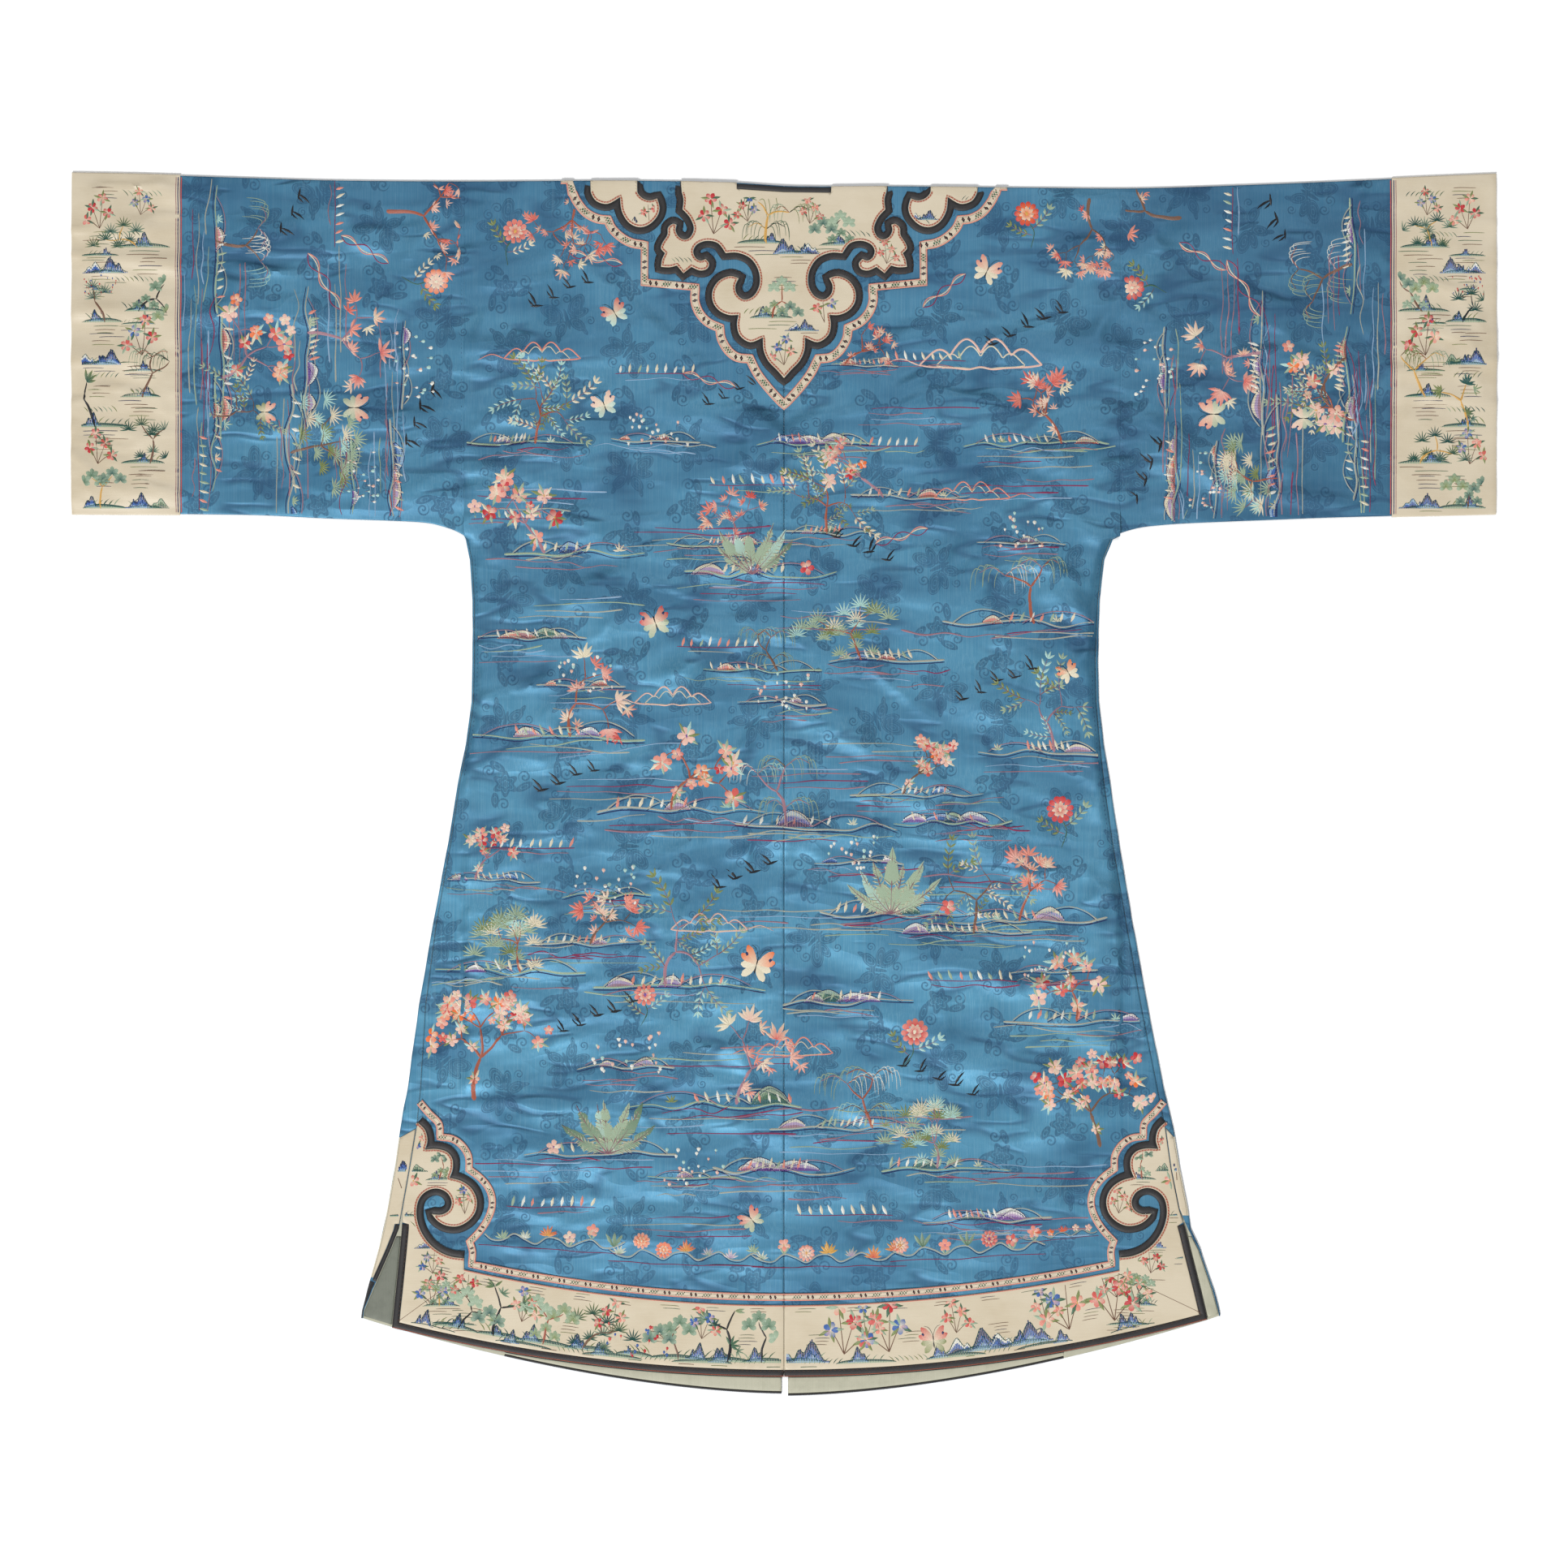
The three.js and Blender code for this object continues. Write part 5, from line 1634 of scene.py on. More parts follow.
@dataclass
class CloudCollar:
    """The back half of the cloud collar with its bindings and ribbon."""

    yoke: Path = field(default_factory=lambda: Path.both_halves(YOKE_EDGE))
    ribbon: Path = field(default_factory=lambda: Path.both_halves(COLLAR_RIBBON))

    def lobe(self, half: Half) -> Path:
        """Outline of the lobe that runs over one shoulder."""
        line = Path.through(LOBE_EDGE, lambda p: (half.side * p.a, p.b)).to_fold().points
        return Path(line if half.side < 0 else line[::-1])

    def build(self) -> list[Thing]:
        """Builds the satin pieces, bindings and ribbon.

        Returns:
            The pieces.
        """
        neck_x = np.array([NECK_HALF, 0, -NECK_HALF])
        neck_y = shoulder_at(neck_x) - FOLD_OUTSIDE - NECK_BINDING_WIDE - SEAM
        around = np.linspace(-NECK_HALF, NECK_HALF, 25)
        neck = Path(np.stack([around, shoulder_at(around) - FOLD_OUTSIDE], 1))
        satin = dict(finish=Finish.SATIN, low=ON_BACK, lift=LIE.trim)
        ends = [(side * (NECK_HALF + SEAM), shoulder_at(side * NECK_HALF) + 1) for side in (1, -1)]
        yoke = np.concatenate([self.yoke.points, ends[:1], np.stack([neck_x, neck_y], 1), ends[1:]])
        made = [
            trim_piece("yoke_satin", "collar_yoke", yoke, **satin),
            binding("yoke_edge_binding", "collar_binding", self.yoke.strip(-SEAM, -SEAM - BINDING_WIDE)),
            trim_piece("collar_ribbon_ground", "collar_ribbon",
                       self.ribbon.strip(COLLAR_RIBBON_WIDE / 2, -COLLAR_RIBBON_WIDE / 2), Finish.RIBBON,
                       ON_BACK, lift=LIE.trim, step=3.0),
            binding("neck_edge_binding", "neck_binding", neck.strip(0, -NECK_BINDING_WIDE)),
        ]
        for half in HALVES:
            lobe = self.lobe(half)
            made += [
                trim_piece(f"lobe_satin_{half.name}", f"collar_lobe_{half.name}", lobe.points, **satin),
                binding(f"lobe_edge_binding_{half.name}", f"lobe_binding_{half.name}",
                        lobe.strip(-SEAM, -SEAM - BINDING_WIDE)),
            ]
        return made


@dataclass
class HemTrim:
    """One side's ivory hem border with its cloud head, bindings and ribbon."""

    half: Half

    def __post_init__(self) -> None:
        """Works out the lines that the border, bindings and ribbon follow."""
        s = self.half
        self.inward = 1 if s.side < 0 else -1
        corner = float(s.back_edge(s.back_corner_y))
        self.bound = Path(np.concatenate([
            down_edge(s, s.back_edge, VENT_TOP, s.back_corner_y, 0),
            along_line(s, BACK_HEM, corner, SEAM / 2)[1:],
        ]))
        tip = lambda p: (s.side * (s.tip_out - p.a), s.tip_y - p.b)
        self.head = Path.through(RUYI_EDGE, tip)
        self.head_end = s.tip_out - RUYI_EDGE[-1].a
        self.border_line = along_line(s, s.border_top, self.head_end, SEAM / 2)
        self.ribbon = Path(np.concatenate([
            Path.through(RUYI_RIBBON, tip).points,
            along_line(s, s.ribbon_line, s.tip_out - RUYI_RIBBON[-1].a - 6, SEAM / 2),
        ]))
        inside = self.bound.beside(self.inward * (BINDING_WIDE + SEAM)).points[::-1]
        side = down_edge(s, s.back_edge, VENT_TOP + 2 * SEAM + VENT_SKEW, s.tip_y - 4, SEAM)
        self.border = np.concatenate([self.head.points, self.border_line, inside, side])

    def build(self) -> list[Thing]:
        """Builds the border, its bindings and the ribbon.

        Returns:
            The pieces.
        """
        n, at = self.half.name, self.inward
        ribbon = self.ribbon.strip(HEM_RIBBON_WIDE / 2, -HEM_RIBBON_WIDE / 2)
        head = self.head.strip(at * SEAM, at * (SEAM + BINDING_WIDE))
        return [
            trim_piece(f"hem_satin_{n}", f"hem_border_{n}", self.border, Finish.SATIN, ON_BACK,
                       lift=LIE.trim),
            binding(f"hem_edge_binding_{n}", f"hem_binding_{n}", self.bound.strip(0, at * BINDING_WIDE)),
            binding(f"cloud_edge_binding_{n}", f"cloud_head_binding_{n}", head),
            trim_piece(f"hem_ribbon_ground_{n}", f"hem_ribbon_{n}", ribbon, Finish.RIBBON, ON_BACK,
                       lift=LIE.trim, step=3.0),
        ]


@dataclass
class FrontTrim:
    """What shows of one front past the back: lining, bound hem, and the trim on its lap."""

    half: Half

    def lap(self) -> Array:
        """Outline of the satin on the lap.

        Returns:
            The outline.
        """
        s, low = self.half, self.half.lap_trim_low
        flap = VENT_LAP_BINDING + SEAM if s.flap else 0
        lap = [down_edge(s, s.outer_edge, s.tip_y - 14, low, FOLD_OUTSIDE + SEAM)]
        lap += [down_edge(s, s.lap_edge, low, VENT_TOP, -flap - SEAM)] if s.flap else []
        lap.append(down_edge(s, s.lap_edge, VENT_TOP + SEAM if s.flap else low, s.tip_y - 6, -SEAM))
        return np.concatenate(lap)

    def build(self) -> list[Thing]:
        """Builds the lining strips, the bound hem and the lap's trim.

        Returns:
            The pieces.
        """
        s, n = self.half, self.half.name
        hem, clear = s.front_hem, 2 * SEAM
        corner = float(s.outer_edge(s.front_corner_y)) - FOLD_OUTSIDE - SEAM
        back_corner = float(s.back_edge(s.back_corner_y))
        inside = FRONT_HEM_BINDING + SEAM
        lining = np.concatenate([
            along_line(s, BACK_HEM, HEM_LINING_END, s.front_edge, -clear),
            along_line(s, hem, s.front_edge, HEM_LINING_END, inside),
        ])
        foot, top = float(hem.y(back_corner + clear)) + inside, VENT_TOP - VENT_CLEAR
        vent = np.concatenate([
            down_edge(s, s.back_edge, top, foot, -clear),
            down_edge(s, s.lap_edge, float(hem.y(corner)) + inside, top, clear),
        ])
        bound = Path(along_line(s, hem, s.front_edge, HEM_LINING_END))
        edging = bound.strip(0, s.side * FRONT_HEM_BINDING)
        lap_low = s.lap_trim_low
        vent_finish = Finish.SHADED_LINING if s.flap else Finish.LINING
        made = [
            trim_piece(f"hem_lining_strip_{n}", f"hem_lining_{n}", lining, Finish.LINING, ON_FRONT),
            trim_piece(f"vent_lining_strip_{n}", f"vent_lining_{n}", vent, vent_finish, ON_FRONT),
            trim_piece(f"front_hem_edge_{n}", f"front_hem_binding_{n}", edging, Finish.BINDING, ON_FRONT,
                       step=3.0, rim=0.8),
            trim_piece(f"lap_satin_{n}", f"front_border_lap_{n}", self.lap(), Finish.SATIN, ON_BACK),
        ]
        if s.flap:
            edge = Path(down_edge(s, s.lap_edge, VENT_TOP - 1, lap_low - 4, 0))
            strip = edge.strip(0, -VENT_LAP_BINDING)
            made.append(binding("flap_edge_binding_left", "flap_binding_left", strip))
        return made


# ---------------------------------------------------------------- embroidery
class Thread(Enum):
    """Colours of the embroidery silk."""

    CREAM = tint(220, 210, 184)
    WHITE = tint(226, 226, 216)
    ASH = tint(170, 172, 158)
    AQUA = tint(172, 208, 200)
    SAGE = tint(156, 176, 150)
    OLIVE = tint(126, 138, 84)
    MOSS = tint(72, 108, 82)
    GREEN = tint(34, 84, 78)
    CORAL = tint(208, 92, 84)
    SALMON = tint(222, 142, 124)
    PINK = tint(226, 184, 168)
    RED = tint(192, 44, 52)
    CRIMSON = tint(140, 44, 84)
    ORANGE = tint(228, 112, 54)
    GOLD = tint(212, 164, 84)
    RUST = tint(160, 84, 62)
    BROWN = tint(118, 84, 66)
    MAUVE = tint(158, 116, 128)
    LILAC = tint(176, 152, 184)
    PURPLE = tint(112, 66, 142)
    NAVY = tint(26, 42, 92)
    BLUE = tint(58, 98, 166)
    SKY = tint(146, 176, 204)
    BLACK = tint(20, 20, 26)


@dataclass(frozen=True)
class Palette:
    """Which thread colours the motifs on one ground take."""

    bark: tuple[Thread, ...]
    leaf: tuple[Thread, ...]
    bloom: tuple[Thread, ...]
    heart: tuple[Thread, ...]
    knot: tuple[Thread, ...]
    strand: tuple[Thread, ...]
    line: tuple[Thread, ...]
    edge: Thread
    tuft: tuple[Thread, ...]
    rocks: tuple[tuple[Thread, ...], ...]


T = Thread
ON_BLUE = Palette(
    bark=(T.MAUVE, T.RUST, T.BROWN, T.MAUVE), leaf=(T.SAGE, T.CREAM, T.OLIVE, T.SAGE, T.AQUA),
    bloom=(T.SALMON, T.CORAL, T.PINK, T.SALMON, T.RED, T.PINK, T.ORANGE), heart=(T.CREAM, T.PURPLE, T.GOLD),
    knot=(T.WHITE, T.AQUA, T.WHITE, T.PINK), strand=(T.SAGE, T.AQUA, T.SAGE, T.WHITE),
    line=(T.ASH, T.SAGE, T.MAUVE, T.CRIMSON, T.SKY, T.MAUVE),
    edge=T.NAVY, tuft=(T.CREAM, T.WHITE, T.SAGE, T.CREAM, T.SALMON),
    rocks=((T.PURPLE, T.LILAC, T.WHITE), (T.NAVY, T.BLUE, T.SKY), (T.MAUVE, T.LILAC, T.CREAM),
           (T.GREEN, T.MOSS, T.SAGE), (T.RUST, T.SALMON, T.CREAM)),
)
ON_IVORY = Palette(
    bark=(T.BROWN, T.RUST, T.BLACK, T.GOLD), leaf=(T.MOSS, T.OLIVE, T.SAGE, T.GREEN),
    bloom=(T.RED, T.CORAL, T.BLUE, T.SALMON), heart=(T.GOLD, T.CREAM),
    knot=(T.CORAL, T.RED, T.BLUE), strand=(T.MOSS, T.OLIVE, T.SAGE),
    line=(T.BROWN, T.MOSS, T.NAVY, T.BROWN, T.OLIVE),
    edge=T.GREEN, tuft=(T.OLIVE, T.MOSS, T.GREEN, T.SAGE),
    rocks=((T.NAVY, T.BLUE, T.SKY), (T.NAVY, T.BLUE, T.WHITE), (T.GREEN, T.MOSS, T.SAGE)),
)
Keep = Callable[[Array], Array]


class Needle:
    """Gathers stitched strips, each a low ridge of thread along a middle line, and makes one mesh of them."""

    SUNK = -0.18

    def __init__(self, keep: Keep) -> None:
        """Starts with no stitches.

        Args:
            keep: tells which points lie on the ground that is worked.
        """
        self.keep = keep
        self.middles: list[Array] = []
        self.halves: list[Array] = []
        self.crowns: list[Array] = []
        self.colours: list[Array] = []

    def strip(self, middle: Array, half: Array, crown: float, start: Thread, end: Thread | None = None,
              lift: float = 0.0) -> None:
        """Adds a strip.

        Args:
            middle: its middle line, station by station.
            half: half its width at each station.
            crown: its greatest height.
            start: colour at its first station.
            end: colour at its last station, the first one's unless given.
            lift: how far it lies above the ground, on other stitches.
        """
        self.middles.append(middle)
        self.halves.append(half)
        self.crowns.append(crown * np.sqrt(half / max(float(half.max()), 1e-6)) + lift)
        share = np.linspace(0, 1, len(middle))[:, None]
        self.colours.append(mix(np.array(start.value), np.array((end or start).value), share))

    def clipped(self) -> list[int]:
        """Cuts long strips where they leave the ground, drops short ones, and lists those that stay.

        Returns:
            The numbers of the strips that stay.
        """
        counts = [len(m) for m in self.middles]
        on = np.split(self.keep(np.concatenate(self.middles)), np.cumsum(counts)[:-1])
        stay = []
        for k, inside in enumerate(on):
            if inside.all():
                stay.append(k)
                continue
            if counts[k] < 9:
                continue
            runs = np.flatnonzero(np.diff(np.concatenate([[0], inside.astype(int), [0]])))
            start, end = max(zip(runs[::2], runs[1::2]), key=lambda run: run[1] - run[0], default=(0, 0))
            if end - start >= 4:
                for table in (self.middles, self.halves, self.crowns, self.colours):
                    table[k] = table[k][start:end]
                stay.append(k)
        return stay

    def finish(self, name: str, ground: Callable[[Array, Array], Array], slot: str) -> list[Thing]:
        """Makes the mesh of everything stitched so far.

        Args:
            name: the piece's name.
            ground: height of the ground at each point.
            slot: not used.

        Returns:
            The piece, in a list that is empty when nothing was stitched.
        """
        stay = self.clipped() if self.middles else []
        if not stay:
            return []
        points, faces, colours, across, base = [], [], [], [], 0
        for k in stay:
            middle, half = self.middles[k], self.halves[k][:, None]
            gone = gone_along(middle)
            side = left_of(unit(np.gradient(middle, axis=0)))
            n = len(middle)
            rows = np.stack([middle - side * half, middle, middle + side * half], 1)
            low = np.full(n, self.SUNK) + (self.crowns[k].min() > 0.6) * 0.4
            high = np.stack([low, self.crowns[k], low], 1)
            points.append(np.concatenate([rows, high[..., None]], 2).reshape(-1, 3))
            colours.append(np.repeat(self.colours[k], 3, axis=0))
            lean = gone[:, None] * 0.5
            across.append(np.concatenate([lean - half, lean, lean + half], 1).reshape(-1))
            i = base + 3 * np.arange(n - 1)[:, None]
            faces.append(np.concatenate([np.hstack([i, i + 3, i + 4, i + 1]),
                                         np.hstack([i + 1, i + 4, i + 5, i + 2])]))
            base += 3 * n
        points, colours, across = np.concatenate(points), np.concatenate(colours), np.concatenate(across)
        points[:, 2] += ground(points[:, 0], points[:, 1])
        faces = np.concatenate(faces)[:, ::-1]
        piece = Maker.piece(name, points, faces, Finish.THREAD.material())
        layer = piece.data.color_attributes.new(SilkThread().layer, "FLOAT_COLOR", "POINT")
        layer.data.foreach_set("color", colours.reshape(-1))
        corners = np.empty(len(piece.data.loops), int)
        piece.data.loops.foreach_get("vertex_index", corners)
        uv = piece.data.uv_layers.new(name="stitches")
        uv.data.foreach_set("uv", np.stack([across[corners], corners * 0.0], 1).reshape(-1))
        return [piece]


LEAF_T = np.array([0.0, 0.22, 0.5, 0.8, 1.0])
LEAF_WIDE = np.array([0.12, 0.8, 1.0, 0.58, 0.03])
PETAL_WIDE = np.array([0.3, 0.72, 1.0, 0.95, 0.35])


@dataclass
class Pen:
    """Draws motifs in thread from a place, in its own turned and scaled axes with +v up."""

    needle: Needle
    palette: Palette
    random: np.random.RandomState
    x: float = 0.0
    y: float = 0.0
    turn: float = 0.0
    scale: float = 1.0
    flip: int = 1

    def at(self, points: Array | Sequence) -> Array:
        """Turns local points into places on the garment.

        Args:
            points: points in the pen's own axes.

        Returns:
            The same points on the garment.
        """
        p = np.asarray(points, float).reshape(-1, 2) * (self.flip * self.scale, self.scale)
        c, s = compass(self.turn)
        return np.stack([self.x + p[:, 0] * c - p[:, 1] * s, self.y + p[:, 0] * s + p[:, 1] * c], 1)

    def pick(self, choices: Sequence) -> object:
        """Picks one of several."""
        return choices[self.random.randint(len(choices))]

    def vary(self, low: float, high: float) -> float:
        """Gives a number in a range."""
        return float(self.random.uniform(low, high))

    def petal(self, u: float, v: float, way: float, long: float, wide: float, tip: Thread,
              base: Thread | None = None, blunt: bool = False, bend: float = 0.0, lift: float = 0.0) -> None:
        """Stitches a leaf or petal.

        Args:
            u: place of its foot across.
            v: place of its foot up.
            way: its direction in degrees.
            long: its length.
            wide: its width.
            tip: colour at its tip.
            base: colour at its foot.
            blunt: has a round tip.
            bend: how far its tip bends aside, as a share of its length.
            lift: how far it lies above the ground.
        """
        c, s = compass(way)
        on, off = LEAF_T * long, LEAF_T ** 2 * bend * long
        middle = np.stack([u + on * c - off * s, v + on * s + off * c], 1)
        half = (PETAL_WIDE if blunt else LEAF_WIDE) * wide / 2 * self.scale
        crown = min(0.3 + 0.12 * wide * self.scale ** 0.5, 0.75)
        self.needle.strip(self.at(middle), half, crown, base or tip, tip, lift)

    def dot(self, u: float, v: float, radius: float, colour: Thread) -> None:
        """Stitches a round knot."""
        self.petal(u, v - radius, 90, 2 * radius, 2.1 * radius, colour, blunt=True)

    def cord(self, points: Array | Sequence, wide: float, colour: Thread, end_wide: float | None = None,
             lift: float = 0.0) -> None:
        """Couches a cord along a line that is smoothed through its points.

        Args:
            points: the line's points.
            wide: its width at the start.
            colour: its colour.
            end_wide: its width at the end.
            lift: how far it lies above the ground.
        """
        p = np.asarray(points, float)
        if len(p) > 2:
            gone = gone_along(p)
            at = np.linspace(0, gone[-1], max(5, int(gone[-1] * self.scale / 2.2)))
            p = np.stack([read(gone, p[:, 0], at), read(gone, p[:, 1], at)], 1)
        half = np.linspace(wide, wide if end_wide is None else end_wide, len(p)) / 2
        half[0] *= 0.5
        half[-1] *= 0.5
        self.needle.strip(self.at(p), half * self.scale ** 0.7, 0.42 + 0.06 * wide, colour, lift=lift)

    def child(self, u: float, v: float) -> "Pen":
        """Gives a pen at a local place."""
        x, y = self.at([(u, v)])[0]
        return replace(self, x=x, y=y)

    # ---- flowers and leaves
    def blossom(self, u: float, v: float, radius: float) -> None:
        """Stitches an open blossom of five petals.

        Args:
            u: its place across.
            v: its place up.
            radius: its radius.
        """
        colour, heart = self.pick(self.palette.bloom), self.pick(self.palette.heart)
        start = self.vary(0, 72)
        for k in range(5):
            self.petal(u, v, start + k * 72.0, radius, radius * 4.4 / 5, colour,
                       self.pick((T.PINK, T.CREAM, colour)), blunt=True)
        self.dot(u, v, radius * 0.24, heart)

    def peony(self, u: float, v: float, radius: float) -> None:
        """Stitches a full round flower of two rings of petals.

        Args:
            u: its place across.
            v: its place up.
            radius: its radius.
        """
        inner, outer = self.pick(self.palette.bloom), self.pick(self.palette.bloom)
        for ring, (count, near, long) in enumerate(((11, 0.45, 0.55), (7, 0.1, 0.5))):
            for k in range(count):
                way = k * 360 / count + ring * 20
                c, s = compass(way)
                wide, tip = (radius * 0.44, T.CREAM) if ring else (radius * 0.52, outer)
                at = (u + near * radius * c, v + near * radius * s)
                self.petal(*at, way, long * radius, wide, tip, inner, blunt=True)
        self.dot(u, v, radius * 0.2, self.pick(self.palette.heart))

    def fan(self, u: float, v: float, way: float, long: float, count: int, colours: Sequence[Thread]) -> None:
        """Stitches pointed leaves that spread from one foot.

        Args:
            u: its place across.
            v: its place up.
            way: its direction in degrees.
            long: length of a leaf.
            count: number of leaves.
            colours: colours to pick from.
        """
        tip, base = self.pick(colours), self.pick(colours)
        for k in range(count):
            lean = (k / max(count - 1, 1) - 0.5) * 150
            turn, size = way + lean + self.vary(-5, 5), long * self.vary(0.78, 1.05) * (1 - abs(lean) / 400)
            self.petal(u, v, turn, size, long * 0.27, tip, base, bend=self.vary(-0.12, 0.12))

    def sprig(self, u: float, v: float, way: float, long: float, pairs: int = 5, bend: float = 0.25) -> None:
        """Stitches a stem with leaves in pairs.

        Args:
            u: its place across.
            v: its place up.
            way: its direction in degrees.
            long: its length.
            pairs: number of pairs.
            bend: how far it bends aside, as a share of its length.
        """
        c, s = compass(way)
        leaf, t = self.pick(self.palette.leaf), np.linspace(0, 1, 6)
        line = np.stack([u + long * (t * c - bend * t * t * s), v + long * (t * s + bend * t * t * c)], 1)
        self.cord(line, 0.9, self.pick(self.palette.bark), 0.5)
        size = long / pairs * 1.15
        for k in range(1, pairs + 1):
            i = k / pairs
            at = (u + long * (i * c - bend * i * i * s), v + long * (i * s + bend * i * i * c))
            ahead = way + math.degrees(math.atan(2 * bend * i))
            for hand in (-1, 1):
                self.petal(*at, ahead + hand * 48, size, size * 0.42, leaf, bend=-hand * 0.15)
        self.petal(*line[-1], way + math.degrees(math.atan(2 * bend)), size, size * 0.4, leaf)

    def knots(self, u: float, v: float, wide: float, count: int) -> None:
        """Stitches a loose cluster of knots on little stems.

        Args:
            u: its place across.
            v: its place up.
            wide: its width.
            count: number of knots.
        """
        for _ in range(count):
            a, b = self.vary(-1, 1) * wide / 2, self.vary(-1, 1) * wide / 3.4
            self.cord([(u + a, v + b - 3.2), (u + a * 0.97, v + b)], 0.5, T.SALMON)
            self.dot(u + a, v + b, self.vary(1.1, 1.7), self.pick(self.palette.knot))

    # ---- growing things
    def tree(self, high: float, foliage: str, lean: float = 0.0, depth: int = 2) -> None:
        """Stitches a branching stem with leaves or flowers at its ends.

        Args:
            high: its height.
            foliage: which kind of growth it bears.
            lean: its lean in degrees.
            depth: how often it forks.
        """
        bark = self.pick(self.palette.bark)
        self.grow(0, 0, 90 + lean, high * 0.42, high * 0.062, depth, foliage, bark)

    def grow(self, u: float, v: float, way: float, long: float, wide: float, depth: int, foliage: str,
             bark: Thread) -> None:
        """Stitches one limb and what springs from its end.

        Args:
            u: its place across.
            v: its place up.
            way: its direction in degrees.
            long: its length.
            wide: its width.
            depth: how often it still forks.
            foliage: what it bears.
            bark: its colour.
        """
        bend = self.vary(-26, 26)
        line, heading = [(u, v)], way
        for _ in range(4):
            heading += bend / 2 + self.vary(-12, 12)
            c, s = compass(heading)
            u, v = u + long / 4 * c, v + long / 4 * s
            line.append((u, v))
        self.cord(line, max(wide, 0.9), bark, max(wide * 0.62, 0.7))
        if depth <= 0:
            self.bear(u, v, heading, foliage)
            return
        forks = 3 if depth > 1 and self.vary(0, 1) > 0.45 else 2
        for k in range(forks):
            spread = (k / (forks - 1) - 0.5) * self.vary(70, 104)
            self.grow(u, v, mix(heading, 90, 0.25) + spread, long * self.vary(0.58, 0.8), wide * 0.62,
                      depth - 1, foliage, bark)
        if self.vary(0, 1) > 0.4:
            self.bear(*line[2], heading + self.pick((-70, 70)), foliage, 0.8)

    def bear(self, u: float, v: float, way: float, foliage: str, size: float = 1.0) -> None:
        """Stitches the growth at the end of a limb.

        Args:
            u: its place across.
            v: its place up.
            way: its direction in degrees.
            foliage: which kind of growth.
            size: its scale.
        """
        if foliage == "fan":
            on_blue = self.palette is ON_BLUE
            warm = self.palette.bloom[:2] + (T.PINK, T.CREAM) if on_blue else self.palette.leaf
            self.fan(u, v, way, self.vary(9.5, 13) * size, 5 + self.random.randint(3), warm)
            if self.vary(0, 1) > 0.5:
                self.fan(u - 7 * size, v - 5 * size, way + 60, 8 * size, 5, warm)
        elif foliage == "blossom":
            for side in (-80, -35, 30, 75):
                self.petal(u, v, way + side, self.vary(8, 11) * size, 3.0, self.pick(self.palette.leaf))
            self.blossom(u, v, self.vary(5.0, 6.8) * size)
            if self.vary(0, 1) > 0.6:
                self.blossom(u + self.pick((-10, 10)), v + self.vary(4, 10), self.vary(4.0, 5.2) * size)
        elif foliage == "sprig":
            self.sprig(u, v, way, self.vary(20, 28) * size, 5)
            self.sprig(u, v, way + self.pick((-55, 55)), self.vary(14, 20) * size, 4)
        elif foliage == "needles":
            for across, drop in ((0, 0), (-12, -5), (12, -6)):
                light = self.pick(self.palette.leaf)
                for k in range(9):
                    self.petal(u + across, v + drop, -6 + k * 24, (10 - abs(k - 4) * 0.4) * size, 1.6, light,
                               T.GREEN if self.palette is ON_IVORY else light)
        elif foliage == "round":
            leaf = self.pick(self.palette.leaf)
            for across, up in ((0, 3), (-8, -3), (8, -3)):
                for way in (90, 30, 150, -25, 205):
                    self.petal(u + across, v + up, way, 6.4 * size, 5.2 * size, T.SAGE, leaf, blunt=True)
        elif foliage == "willow":
            self.strands(u, v, 6)

    def strands(self, u: float, v: float, count: int) -> None:
        """Stitches a twig that arches out to either side, with thin strands that curl down from it.

        Args:
            u: its place across.
            v: its place up.
            count: strands on either side.
        """
        for hand in (-1, 1):
            colour, reach = self.pick(self.palette.strand), self.vary(13, 21)
            twig = [(u, v), (u + hand * reach * 0.5, v + 6), (u + hand * reach, v + 2)]
            self.cord(twig, 1.2, self.pick(self.palette.bark), 0.8)
            for k in range(count):
                share = (k + 0.4) / count
                a, b = u + hand * reach * share, v + 24 * share * (1 - share) + 2 * share
                out, fall = hand * self.vary(5, 8), self.vary(9, 16)
                self.cord([(a, b), (a + out * 0.6, b + 1.2), (a + out, b - fall * 0.4),
                           (a + out * 1.1, b - fall)], 1.0, colour, 0.6)

    def clump(self, long: float) -> None:
        """Stitches a tuft of long striped leaves with pale ribs.

        Args:
            long: length of the longest leaf.
        """
        for k in range(7):
            way = 90 + (k - 3) * 23 + self.vary(-6, 6)
            size, bend = long * self.vary(0.72, 1.0), -(k - 3) * 0.09
            leaf = self.pick((T.SAGE, T.MOSS, T.SAGE, T.AQUA))
            self.petal(0, 0, way, size, size * 0.24, leaf, T.SAGE, bend=bend)
            c, s = compass(way)
            for i in np.arange(0.2, 0.86, 0.075):
                on, off = i * size, i * i * bend * size
                at = (on * c - off * s, on * s + off * c)
                wide = size * 0.115 * math.sin(math.pi * min(i * 1.1, 1) ** 0.8)
                for hand in (-1, 1):
                    self.petal(*at, way + hand * 52, wide * 1.3, 1.5, T.CREAM, T.SAGE, lift=0.45)
            t = np.linspace(0, 0.96, 6)
            rib = [t * size * c - t * t * bend * size * s, t * size * s + t * t * bend * size * c]
            self.cord(np.stack(rib, 1), 1.1, T.MAUVE, 0.6, lift=0.55)

    # ---- ground, water and rocks
    def wave(self, wide: float, at: float, tall: float) -> list[tuple[float, float]]:
        """Gives the points of an uneven, mostly level line."""
        count = max(4, int(wide / 16))
        return [((k / count - 0.5) * wide, at + self.vary(-tall, tall)) for k in range(count + 1)]

